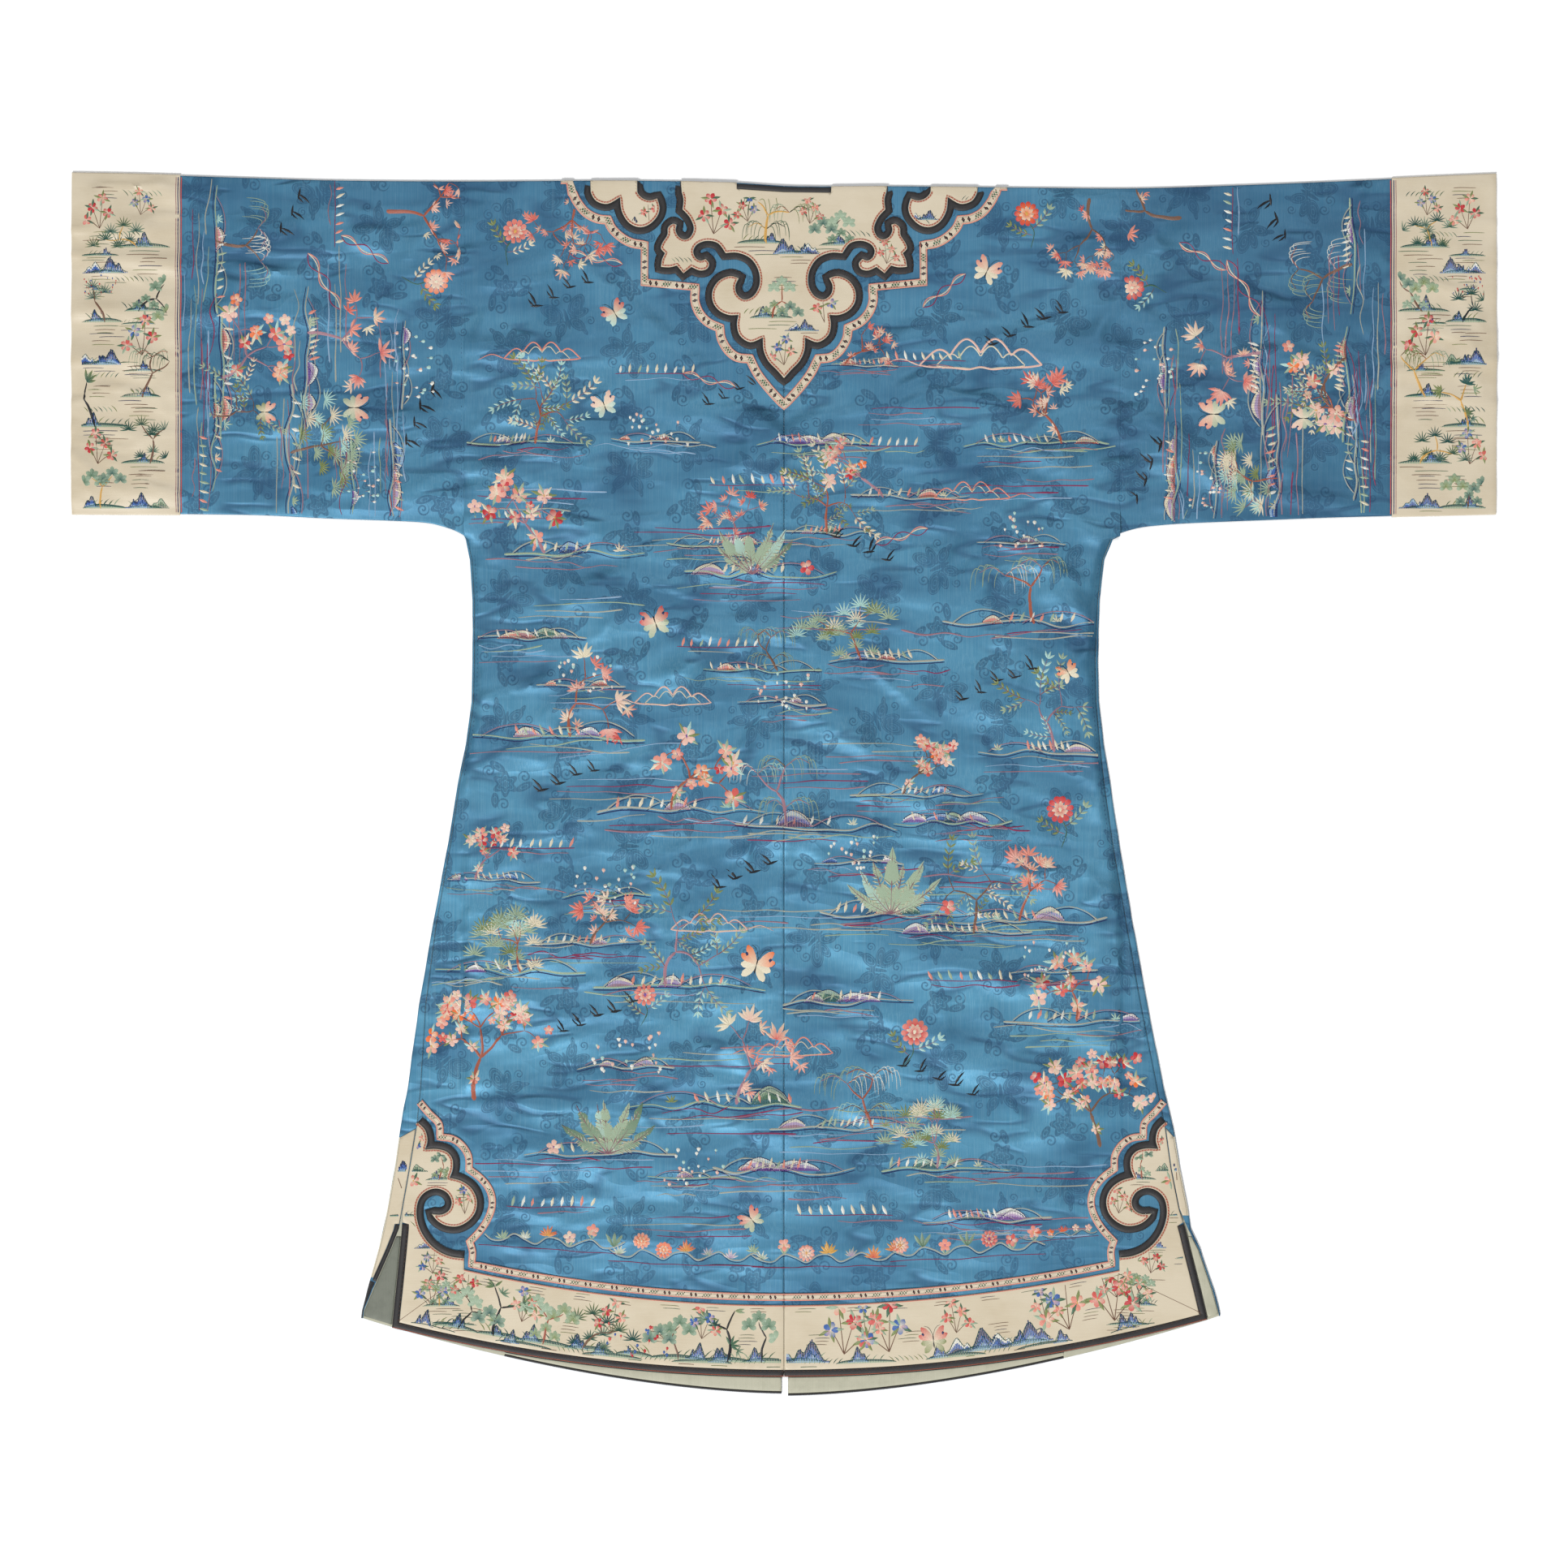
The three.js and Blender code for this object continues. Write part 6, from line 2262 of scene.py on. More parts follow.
    def waters(self, wide: float, rows: int = 3) -> None:
        """Stitches level water lines below the place.

        Args:
            wide: its width.
            rows: number of lines.
        """
        for k in range(rows):
            short = wide * self.vary(0.4, 0.85)
            shift = self.vary(-0.5, 0.5) * (wide - short)
            line = [(x + shift, y) for x, y in self.wave(short, -4.2 * (k + 1), 1.2)]
            self.cord(line, 0.8 * self.vary(1.4, 2.1), self.pick(self.palette.line), 0.8)

    def reeds(self, wide: float, count: int, at: float = 0.0) -> None:
        """Stitches a row of short tufts that stand on a line.

        Args:
            wide: its width.
            count: number of tufts.
            at: height of the line.
        """
        for k in range(count):
            u = (k / max(count - 1, 1) - 0.5) * wide
            way, long = self.vary(56, 76), self.vary(6.2, 8.8)
            self.petal(u, at, way, long, 2.8, self.pick(self.palette.tuft), bend=0.1)

    def rock(self, u: float, wide: float, high: float, shades: Sequence[Thread] | None = None,
             pointed: bool = False) -> None:
        """Stitches a rock or bank in shaded bands of upright satin stitch, with a dark rim.

        Args:
            u: place of its middle across.
            wide: its width.
            high: its height.
            shades: its colours from the foot up, or none to pick them.
            pointed: rises to points in place of a dome.
        """
        shades = shades or self.pick(self.palette.rocks)
        count = max(6, int(wide * self.scale / 1.5))
        peak = self.vary(-0.35, 0.35)
        across = np.linspace(-1, 1, count + 1)
        tops = high * np.sqrt(np.clip(1 - np.abs(across) ** 2.2, 0.02, 1)) * (1 - 0.3 * np.abs(across - peak))
        if pointed:
            second = 0.62 * np.clip(1 - 2.6 * np.abs(across - peak + math.copysign(0.6, peak)), 0, 1)
            tops = high * np.maximum(np.clip(1 - 1.5 * np.abs(across - peak), 0.08, 1), second)
        for a, top in zip(across, tops):
            for k, shade in enumerate(shades):
                low, up = k / len(shades) * top, (k + 1.06) / len(shades) * top
                line = [(u + a * wide / 2, v) for v in (low, (low + up) / 2, up)]
                self.needle.strip(self.at(line), np.full(3, wide / count * 0.62 * self.scale), 0.4, shade)
        rim = [(u + a * wide / 2, top + 0.3) for a, top in zip(across, tops)]
        self.cord(rim[::max(1, count // 8)] + [rim[-1]], 1.1, self.palette.edge)

    def grass(self, u: float, wide: float, count: int) -> None:
        """Stitches a row of blades that bend one way.

        Args:
            u: its place across.
            wide: its width.
            count: number of blades.
        """
        for k in range(count):
            self.petal(u + wide * (k / max(count - 1, 1) - 0.5), 0, 72, self.vary(6, 9), 1.3,
                       self.pick(self.palette.tuft), bend=-0.45)

    def dash(self, start: float, low: float, peak: float, ends: tuple[float, float]) -> None:
        """Stitches a short level line that rises a little on its way.

        Args:
            start: where it starts across.
            low: its height.
            peak: how far from its start it is highest.
            ends: the least and the greatest length that it may have.
        """
        line = [(start, low), (start + peak, low + 0.4), (start + self.vary(*ends), low)]
        self.cord(line, 0.9, self.pick(self.palette.line), 0.7)

    def bank(self, wide: float) -> None:
        """Stitches a low green bank with a rock, grass and short level lines below.

        Args:
            wide: its width.
        """
        self.rock(0, wide, 3.6, (T.SAGE, T.GREEN))
        size = wide * self.vary(0.26, 0.36)
        self.child(self.vary(-0.3, 0.3) * wide, 1).rock(0, size, size * 0.85, (T.SKY, T.BLUE, T.NAVY), True)
        self.child(self.vary(-0.2, 0.2) * wide, 2.5).grass(0, wide * 0.5, 5)
        for k in range(3):
            self.dash(self.vary(-0.6, 0.0) * wide, -3.6 * (k + 1), wide * 0.3, (wide * 0.5, wide * 0.7))

    def shore(self, wide: float, tufts: bool = True) -> None:
        """Stitches a strip of ground: a bound line, low hills, tufts, rocks and the water below.

        Args:
            wide: its width.
            tufts: grows a row of tufts on it.
        """
        if self.palette is ON_IVORY:
            self.bank(wide * 0.42)
            return
        line = self.wave(wide, 0, 2.6)
        top = self.pick(self.palette.line[:2])
        self.cord(line, 2.2, top, 1.2)
        self.cord([(x, y - 1.8) for x, y in line], 1.3, self.palette.edge, 0.9)
        for at, reach, high in ((-0.25, 0.19, 0.085), (-0.06, 0.15, 0.05), (0.2, 0.22, 0.07)):
            hill = [((at + reach * k) * wide, wide * high * (1 - k * k) + 0.5)
                    for k in (-1, -0.6, -0.1, 0.5, 1)]
            self.cord(hill, 1.4, self.palette.line[2 if at > 0 else 0], 0.8)
            self.cord([(x, y - 1.3) for x, y in hill], 0.9, self.palette.edge, 0.6)
        for k in range(self.random.randint(2, 5)):
            reach, slope = self.vary(0.35, 0.7) * wide, self.vary(-0.11, 0.11)
            shift, drop = self.vary(-0.42, 0.42) * wide, self.vary(-3, -9)
            stray = [(x + shift, y + drop + slope * x) for x, y in self.wave(reach, 0, 2.2)]
            self.cord(stray, 0.8 * self.vary(1.4, 2.2), self.pick(self.palette.line), 0.8)
        for _ in range(self.random.randint(1, 3)):
            size = self.vary(0.12, 0.22) * wide
            self.rock(self.vary(-0.36, 0.36) * wide, size, size * self.vary(0.3, 0.5))
        if tufts:
            row = self.child(self.vary(-0.2, 0.2) * wide, 1.2)
            row.reeds(wide * self.vary(0.3, 0.55), self.random.randint(6, 11))
        self.child(0, -6).waters(wide, self.random.randint(1, 4))

    # ---- creatures and loops
    def bird(self, u: float, v: float, size: float) -> None:
        """Stitches a small flying bird with raised wings.

        Args:
            u: its place across.
            v: its place up.
            size: its size.
        """
        way = self.vary(-5, 20)
        self.petal(u - size * 0.35, v, way, size * 0.8, size * 0.2, T.BLACK)
        self.petal(u, v, way + 100, size, size * 0.2, T.BLACK, bend=0.3)
        self.petal(u - size * 0.1, v, way + 145, size * 0.6, size * 0.16, T.BLACK, bend=-0.3)

    def flock(self, count: int = 5) -> None:
        """Stitches a slanting row of birds."""
        for k in range(count):
            self.bird(k * 14, k * 6 + self.vary(-2, 2), self.vary(11, 14))

    def butterfly(self, size: float) -> None:
        """Stitches a butterfly with banded wings.

        Args:
            size: its size.
        """
        near, far = self.pick(self.palette.bloom), self.pick(self.palette.leaf)
        for hand in (-1, 1):
            for way, long, colour in ((52, 1.0, near), (24, 0.86, near), (-8, 0.7, far), (-50, 0.8, far)):
                turn = 90 - hand * (90 - way)
                self.petal(0, 0, turn, size * long, size * 0.42, colour, T.CREAM, blunt=True)
            self.cord([(0, size * 0.3), (hand * size * 0.2, size * 0.75), (hand * size * 0.45, size * 0.85)],
                      0.5, T.BLACK)
            self.dot(hand * size * 0.55, size * 0.38, size * 0.1, T.NAVY)
        self.petal(0, -size * 0.42, 90, size * 0.85, size * 0.14, T.BLACK)

    def cloud(self, size: float) -> None:
        """Stitches a drifting cloud: a billowed back and a level foot, doubled inside in a paler cord.

        Args:
            size: its size.
        """
        t = np.linspace(0, 1, 41)
        swell = np.sin(math.pi * t) ** 0.7
        colour = self.pick((T.SALMON, T.CORAL, T.PINK))
        for shrink, wide, thread in ((1.0, 1.6, colour), (0.72, 1.1, T.CREAM)):
            back = shrink * size * swell * (0.1 + 0.12 * np.abs(np.sin(math.pi * 4 * t)))
            across = shrink * size * (t - 0.5)
            self.cord(np.stack([across, back], 1), wide, thread)
            self.cord(np.stack([across, -0.16 * back - 1.2 * (1 - shrink)], 1)[::4], wide, thread)
        tail = [(size * 0.5, 0), (size * 0.66, size * 0.05), (size * 0.84, -size * 0.02)]
        self.cord(tail, 1.4, colour, 0.7)

    def twist(self, long: float) -> None:
        """Stitches two strands that cross each other.

        Args:
            long: its length.
        """
        t = np.linspace(0, 1, 17)
        for hand, thread in ((1, T.SALMON), (-1, T.CRIMSON), (0.5, T.CREAM)):
            self.cord(np.stack([long * (t - 0.5), hand * 3.2 * np.sin(3 * math.pi * t)], 1), 1.2, thread)

    # ---- whole groups
    def group(self, kind: str) -> None:
        """Stitches one group of motifs by its name.

        Args:
            kind: the group's name.
        """
        ivory = self.palette is ON_IVORY
        if kind in ("fan", "blossom", "needles", "sprig", "willow", "round"):
            self.shore(self.vary(84, 124))
            high = {"willow": 46, "needles": 48, "round": 46}.get(kind, 56) * self.vary(0.9, 1.15)
            self.child(self.vary(-22, 22) * (0.3 if ivory else 1), 0).tree(
                high * (1.25 if kind == "willow" else 1), kind, self.vary(-24, 24),
                1 if ivory or kind == "willow" else 2)
            if not ivory:
                self.child(self.vary(22, 34), 1.5).fan(0, 0, 90, 6.5, 5, self.palette.leaf)
        elif kind == "bush":
            for u, v in ((-10, 14), (9, 20), (-3, 32), (17, 5)):
                self.cord([(0, -6), (u * 0.6, v * 0.5), (u, v)], 1.2, T.BROWN, 0.8)
                for way in (10, 100, 190, 300):
                    self.petal(u, v, way + self.vary(-20, 20), 11, 4, self.pick((T.MOSS, T.SAGE, T.OLIVE)))
                self.blossom(u, v, 6.6)
        elif kind == "grass":
            self.grass(0, 34, 8)
        elif kind == "bank":
            self.bank(60)
        elif kind == "dashes":
            for k in range(4):
                self.dash(self.vary(-14, -4), -4.0 * k, 8, (14, 26))
        elif kind == "twist":
            self.twist(44)
        elif kind == "bough":
            self.tree(self.vary(70, 84), self.pick(("blossom", "fan")), self.vary(-30, 30), 3)
        elif kind == "leaves":
            self.shore(112)
            self.child(-6, 0).clump(self.vary(40, 48))
            self.child(34, 1).blossom(0, 4, 5.5)
        elif kind == "rocks":
            self.rock(-16, 26, 13 if ivory else 9, pointed=ivory)
            self.rock(8, 32, 19 if ivory else 7, (T.SKY, T.BLUE, T.NAVY) if ivory else None, ivory)
            self.shore(96)
        elif kind == "reeds":
            self.cord(self.wave(66, 0, 0.8), 0.9, T.CRIMSON if self.palette is ON_BLUE else T.OLIVE)
            self.reeds(58, 9, 0.5)
            self.waters(80, 1)
        elif kind == "waters":
            self.waters(104, 4)
        elif kind == "knots":
            self.knots(0, 9, 52, 24)
            self.shore(72, tufts=False)
        elif kind == "peony":
            self.peony(0, 16, 10)
            self.cord([(0, 8), (2, 0), (-4, -12)], 1.3, T.MOSS, 0.8)
            self.sprig(1, 3, 20, 20, 4)
            self.sprig(0, -2, 155, 18, 4, -0.25)
        elif kind == "flowers":
            self.garden(120, 7)
        elif kind == "flock":
            self.flock(4 + self.random.randint(2))
        elif kind == "butterfly":
            self.butterfly(self.vary(12, 15))
        elif kind == "cloud":
            self.cloud(62)

    def garden(self, wide: float, count: int) -> None:
        """Stitches a row of unlike plants on a rolling line with a level line under it.

        Args:
            wide: its width.
            count: number of plants.
        """
        hills = [(-wide / 2 + wide * k / (count * 2), 4 + 3.5 * math.sin(k * 1.9))
                 for k in range(count * 2 + 1)]
        self.cord(hills, 1.6, self.pick(self.palette.line[:2]))
        self.cord([(x, y - 1.5) for x, y in hills], 0.8, self.palette.edge)
        self.cord(self.wave(wide, -3, 0.8), 0.9, T.CRIMSON)
        for k in range(count):
            u, v = hills[2 * k + 1]
            growth = self.random.randint(5)
            if growth == 0:
                self.peony(u, v + 7, 6.5)
            elif growth == 1:
                self.fan(u, v + 1, 90, 10, 7, (T.ORANGE, T.GOLD, T.CORAL))
            elif growth == 2:
                for way in (58, 90, 124):
                    self.petal(u, v, way, 12, 3.6, T.SAGE, T.MOSS)
            elif growth == 3:
                self.blossom(u, v + 7, 5)
                for way in (60, 125):
                    self.petal(u, v, way, 7, 2.4, T.SAGE)
            else:
                self.fan(u, v + 1, 90, 8, 6, (T.LILAC, T.WHITE, T.SAGE))


class Plot(NamedTuple):
    """Where one group of motifs is worked."""

    kind: str
    x: float
    y: float
    scale: float = 1.0
    turn: float = 0.0


def plots(*rows: Sequence) -> tuple[Plot, ...]:
    """Gives the rows of a layout."""
    return tuple(Plot(*row) for row in rows)


BACK_PLOTS = plots(
    ("peony", -258, 500, 1.0, -20), ("bough", -196, 556, 0.8, 196), ("flock", -232, 448),
    ("cloud", -226, 398), ("butterfly", -158, 440, 1.0, 30), ("reeds", -120, 384), ("sprig", -244, 318),
    ("knots", -120, 322), ("flock", -70, 356, 0.9), ("peony", 232, 516, 1.0, 15),
    ("butterfly", 190, 480, 1.0, -24), ("bough", 286, 548, 0.8, 172), ("flock", 196, 412),
    ("reeds", 132, 396), ("fan", 236, 318), ("waters", 128, 356), ("rocks", 30, 318),
    ("blossom", 118, 268), ("reeds", -28, 280, 1.1), ("blossom", -196, 216, 1.2),
    ("waters", -84, 246, 1.2), ("leaves", -22, 196, 1.1), ("knots", 222, 226), ("willow", 226, 150, 1.1),
    ("flock", 96, 210), ("rocks", -240, 136), ("butterfly", -120, 150, 1.1, 18), ("needles", 96, 116, 1.1),
    ("reeds", -62, 128), ("fan", -214, 44, 1.2), ("cloud", -104, 76), ("knots", -2, 76),
    ("flock", 168, 80), ("sprig", 240, 30, 1.1), ("waters", 92, 42, 1.1), ("blossom", -96, -24, 1.2),
    ("flock", -226, -8), ("willow", 30, -40, 1.1), ("rocks", 158, -36), ("peony", 262, -44, 1.1, 10),
    ("reeds", -238, -60, 1.1), ("knots", -166, -104), ("leaves", 108, -122, 1.15), ("flock", -60, -96),
    ("fan", 228, -128, 1.1), ("waters", 8, -112, 1.2), ("needles", -256, -176, 1.2),
    ("sprig", -98, -190, 1.2), ("butterfly", -26, -170, 1.2, -16), ("rocks", 60, -204, 1.1),
    ("reeds", 176, -184, 1.1), ("blossom", 276, -222, 1.1), ("bough", -290, -296, 1.0, 8),
    ("flock", -206, -232), ("knots", -148, -264, 1.1), ("peony", 118, -252, 1.1, -12),
    ("fan", -66, -300, 1.2), ("cloud", 10, -252), ("willow", 58, -322, 1.1), ("flock", 176, -290),
    ("bough", 296, -340, 1.0, -10), ("leaves", -172, -346, 1.1), ("waters", -252, -350, 1.2),
    ("rocks", 0, -362, 1.2), ("needles", 152, -360, 1.1), ("waters", 236, -352, 1.2), ("knots", -86, -368),
    ("reeds", -218, -396, 1.1), ("waters", -100, -400, 1.2), ("reeds", 56, -404, 1.2),
    ("rocks", 190, -408, 1.1), ("butterfly", -30, -408, 0.9, 40), ("flowers", -222, -432, 1.05, -4),
    ("flowers", -92, -446, 1.05, -2), ("flowers", 42, -448, 1.05, 1), ("flowers", 172, -440, 1.05, 3),
    ("flowers", 262, -424, 0.6, 6), ("twist", -176, 492, 1.0, -12), ("twist", 150, 462, 1.0, 38),
    ("twist", -70, 378, 1.0, -14), ("waters", -200, 180, 1.2), ("waters", 60, 168, 1.2),
    ("waters", -150, 10, 1.2), ("waters", 190, -80, 1.2), ("waters", -60, -240, 1.2),
    ("waters", 110, -300, 1.2), ("butterfly", -168, 354, 0.9, 20), ("fan", 70, 392, 0.7),
    ("cloud", 184, 392, 1.6), ("reeds", -258, 248, 0.9), ("sprig", 46, 234, 0.9), ("cloud", 176, 268),
    ("knots", -190, 92), ("butterfly", 266, 104, 0.9, 30), ("reeds", 88, 316), ("blossom", 124, -10, 0.9),
    ("knots", 70, -74), ("fan", -178, -150, 1.0), ("sprig", 168, -140, 1.0), ("cloud", -70, -136),
    ("peony", -130, -214, 0.9), ("willow", -20, 106, 0.8), ("fan", -60, 224, 0.8),
    ("blossom", -276, -90, 0.8), ("knots", 252, -176), ("twist", 110, 232, 1.0, 16),
    ("waters", 230, 290, 1.2), ("waters", -220, 280, 1.2), ("waters", 20, 20, 1.2),
    ("waters", -236, -140, 1.2), ("waters", 220, -400, 1.2),
)
# The sleeves' motifs stand with their tops towards the body.
SLEEVE_PLOTS = plots(
    ("bough", 372, 536, 0.9), ("willow", 532, 500), ("flock", 470, 520), ("blossom", 526, 380, 1.1),
    ("reeds", 548, 292), ("twist", 430, 470, 1.2, 30), ("peony", 344, 470, 1.0), ("fan", 446, 400, 1.1),
    ("waters", 404, 440, 1.1), ("knots", 356, 392), ("needles", 462, 296, 1.1), ("butterfly", 402, 352),
    ("flock", 352, 322), ("rocks", 366, 286), ("reeds", 420, 540), ("sprig", 534, 330, 0.9),
    ("waters", 500, 448), ("butterfly", 486, 348, 0.8), ("knots", 404, 290, 0.9),
    ("twist", 392, 500, 1.0, 60), ("waters", 540, 420, 1.1), ("waters", 440, 330, 1.2),
    ("waters", 350, 340, 1.1),
)
BAND_PLOTS = plots(
    ("grass", 598, 550, 0.8), ("dashes", 634, 558, 0.7), ("bush", 640, 524, 0.65),
    ("needles", 600, 502, 0.85), ("dashes", 640, 516, 0.8), ("rocks", 634, 478, 0.7),
    ("dashes", 598, 488, 0.8), ("round", 598, 442, 0.85), ("needles", 638, 432, 0.85),
    ("dashes", 636, 422, 0.8), ("bush", 600, 406, 0.75), ("rocks", 640, 392, 0.7),
    ("willow", 602, 362, 0.85), ("grass", 642, 380, 0.8), ("fan", 638, 334, 0.9),
    ("dashes", 602, 352, 0.8), ("needles", 600, 300, 0.85), ("bush", 642, 304, 0.65),
    ("dashes", 636, 324, 0.8), ("round", 636, 258, 0.85), ("rocks", 598, 258, 0.65),
    ("dashes", 604, 288, 0.8), ("grass", 604, 248, 0.9), ("grass", 606, 470, 0.8),
    ("dashes", 608, 394, 0.8), ("bank", 640, 494, 0.5), ("knots", 640, 462, 0.5), ("grass", 640, 348, 0.8),
    ("bank", 600, 386, 0.5), ("grass", 616, 512, 0.7), ("dashes", 640, 372, 0.7), ("bush", 602, 536, 0.5),
    ("dashes", 634, 288, 0.7), ("bank", 604, 430, 0.45),
)
COLLAR_PLOTS = plots(
    ("willow", -22, 506, 0.85), ("round", 52, 504, 0.85), ("bush", -66, 520, 0.75),
    ("bush", -34, 530, 0.5), ("rocks", 10, 496, 0.7), ("grass", 74, 512, 0.8), ("bush", 24, 528, 0.5),
    ("dashes", -40, 494, 0.8), ("dashes", 48, 486, 0.8), ("round", -12, 436, 0.8), ("bush", 38, 436, 0.6),
    ("grass", -40, 440, 0.9), ("rocks", 18, 424, 0.5), ("bush", 0, 396, 0.55), ("dashes", 0, 474, 0.8),
    ("grass", -92, 488, 0.7), ("bush", 96, 490, 0.45), ("rocks", -146, 520, 0.5),
    ("bush", -126, 528, 0.45), ("grass", 146, 524, 0.7), ("rocks", 132, 528, 0.45),
    ("grass", -168, 544, 0.6), ("grass", 168, 546, 0.6), ("dashes", -70, 508, 0.6),
)
BORDER_KINDS = ("round", "bush", "knots", "rocks", "fan", "bush", "needles", "rocks", "round", "butterfly")
HEAD_PLOTS = plots(
    ("round", 22, 54, 0.6), ("bush", 44, 82, 0.5), ("rocks", 14, 118, 0.5), ("bush", 14, 138, 0.5),
    ("dashes", 30, 40, 0.6), ("round", 22, 172, 0.6), ("grass", 16, 98, 0.7), ("dashes", 44, 62, 0.6),
    ("bush", -12, 66, 0.7), ("bank", -14, 88, 0.5), ("round", -24, 128, 0.6), ("grass", -18, 98, 0.8),
    ("dashes", -14, 36, 0.5), ("dashes", 14, 148, 0.6), ("bush", 8, 24, 0.4), ("rocks", -8, 46, 0.5),
    ("bush", 46, 160, 0.6), ("bank", 34, 190, 0.6), ("grass", 40, 130, 0.7), ("dashes", 40, 176, 0.6),
)


@dataclass
class Worked:
    """A stretch of ground and the motifs that are worked on it."""

    name: str
    palette: Palette
    plots: Sequence[Plot]
    keep: Keep
    ground: Callable[[Array, Array], Array]
    slot: str
    seed: int
    growth: float = 1.16

    def build(self) -> list[Thing]:
        """Works every group and makes the piece.

        Returns:
            The piece, in a list that may be empty.
        """
        needle = Needle(self.keep)
        for k, plot in enumerate(self.plots):
            random = np.random.RandomState(self.seed * 1000 + k)
            flip = 1 if random.rand() > 0.5 else -1
            pen = Pen(needle, self.palette, random, plot.x, plot.y, plot.turn, plot.scale * self.growth, flip)
            pen.group(plot.kind)
        return needle.finish(self.name, self.ground, self.slot)


@dataclass
class Embroidery:
    """All the embroidery: on the silk, the sleeve bands, the collar and the hem border."""

    margin: float = 2.5
    ivory_from: float = 575.0
    ivory_to: float = 657.0
    border_pitch: float = 42.0
    hem_gap: float = 13.0

    def on_body(self, p: Array) -> Array:
        """Tells which points lie on the backs, clear of the collar, the hem's trim and the seams.

        Args:
            p: the points.

        Returns:
            Whether each one does.
        """
        x, y = p.T
        out = np.abs(x)
        stay = y < shoulder_at(x) - FOLD_OUTSIDE
        for half in HALVES:
            limit = np.where(y > ARMPIT, half.sleeve_seam, half.back_edge(y)) - self.margin
            stay &= (np.sign(x) != half.side) | (out < limit)
            ribbon = HemTrim(half).ribbon.points
            s = half.side
            low = [(0, -640), (s * 480, -640), (s * 480, ribbon[0, 1])]
            far, inside = Maker.clear_of(np.concatenate([ribbon, low]), p)
            stay &= ~inside & (far > HEM_RIBBON_WIDE / 2 + 1.5)
        ribbon = CloudCollar().ribbon.points
        far, inside = Maker.clear_of(np.concatenate([ribbon, [(210, 640), (-210, 640)]]), p)
        return stay & ~inside & (far > COLLAR_RIBBON_WIDE / 2 + 1.5)

    def between(self, half: Half, start: float, end: float) -> Keep:
        """Gives the test for points of a sleeve between two distances out.

        Args:
            half: the side.
            start: first distance out.
            end: last distance out.

        Returns:
            The test.
        """
        def keep(p: Array) -> Array:
            """Tells which points lie on the stretch."""
            out = half.side * p[:, 0]
            tall = (p[:, 1] < shoulder_at(p[:, 0]) - 1) & (p[:, 1] > half.underarm(out) + self.margin)
            return (out > start) & (out < end) & tall
        return keep

    def within(self, *outlines: Array) -> Keep:
        """Gives the test for points inside any of some outlines.

        Args:
            *outlines: closed outlines.

        Returns:
            The test.
        """
        def keep(p: Array) -> Array:
            """Tells which points lie inside."""
            stay = np.zeros(len(p), bool)
            for outline in outlines:
                far, inside = Maker.clear_of(outline, p)
                stay |= inside & (far > self.margin)
            return stay
        return keep

    @staticmethod
    def on_trim(x: Array, y: Array) -> Array:
        """Height of the face of a satin trim."""
        return ON_BACK + TRIM_THICK + LIE.trim(x, y)

    def build(self) -> list[Thing]:
        """Works every ground.

        Returns:
            The pieces.
        """
        works = []
        for half in HALVES:
            s, n = half.side, half.name
            own = [p for p in BACK_PLOTS if p.x * s > 0 or (p.x == 0 and s > 0)]
            for part, low, high in (("upper", -60, 700), ("lower", -700, -60)):
                chosen = [p for p in own if low < p.y <= high]
                works.append(Worked(f"embroidery_back_{part}_{n}", ON_BLUE, chosen, self.on_body, LIE.top,
                                    "silk", s + 3 + (part == "upper") * 10))
            sleeve = [p._replace(x=s * p.x, y=p.y - 6 * (s > 0), turn=p.turn + s * 90) for p in SLEEVE_PLOTS]
            works.append(Worked(f"embroidery_sleeve_{n}", ON_BLUE, sleeve,
                                self.between(half, half.sleeve_seam + 3, half.band_seam - 3), LIE.top, "silk",
                                s + 35))
            band = [p._replace(x=s * p.x) for p in BAND_PLOTS]
            works.append(Worked(f"embroidery_sleeve_band_{n}", ON_IVORY, band,
                                self.between(half, self.ivory_from, self.ivory_to), LIE.top, "satin", s + 55))
            border = self.within(HemTrim(half).border, FrontTrim(half).lap())
            works.append(Worked(f"embroidery_hem_border_{n}", ON_IVORY, self.border_plots(half), border,
                                self.on_trim, "satin", s + 75))
        collar = CloudCollar()
        yoke = np.concatenate([collar.yoke.points, [(NECK_HALF, 552), (-NECK_HALF, 552)]])
        lobes = [collar.lobe(half).points for half in HALVES]
        works.append(Worked("embroidery_collar", ON_IVORY, COLLAR_PLOTS, self.within(yoke, *lobes),
                            self.on_trim, "satin", 95))
        return [piece for work in works for piece in work.build()]

    def border_plots(self, half: Half) -> list[Plot]:
        """Lays groups along the hem border and in its cloud head.

        Args:
            half: the side.

        Returns:
            The layout.
        """
        s = half.side
        rows = []
        for k, out in enumerate(np.arange(14, 350, self.border_pitch)):
            y = float(BACK_HEM.y(out) + self.hem_gap)
            lean = s * math.degrees(math.atan(2 * BACK_HEM.rise * out / BACK_HEM.at ** 2))
            kind = BORDER_KINDS[(k * 4 + (s > 0) * 7) % len(BORDER_KINDS)]
            rows += [Plot(kind, s * out, y + (14 if kind in ("bush", "butterfly") else 0), 1.0, lean),
                     Plot(("grass", "bank")[k % 2], s * (out + 21), y - 1, 0.8, lean),
                     Plot(("dashes", "bush")[k % 2], s * (out + 21), y + 26, 0.65, lean),
                     Plot("dashes", s * (out + 8), y + 56, 0.6, lean)]
        for p in HEAD_PLOTS:
            rows.append(p._replace(x=s * (half.tip_out - p.x), y=half.tip_y - p.y))
        return rows


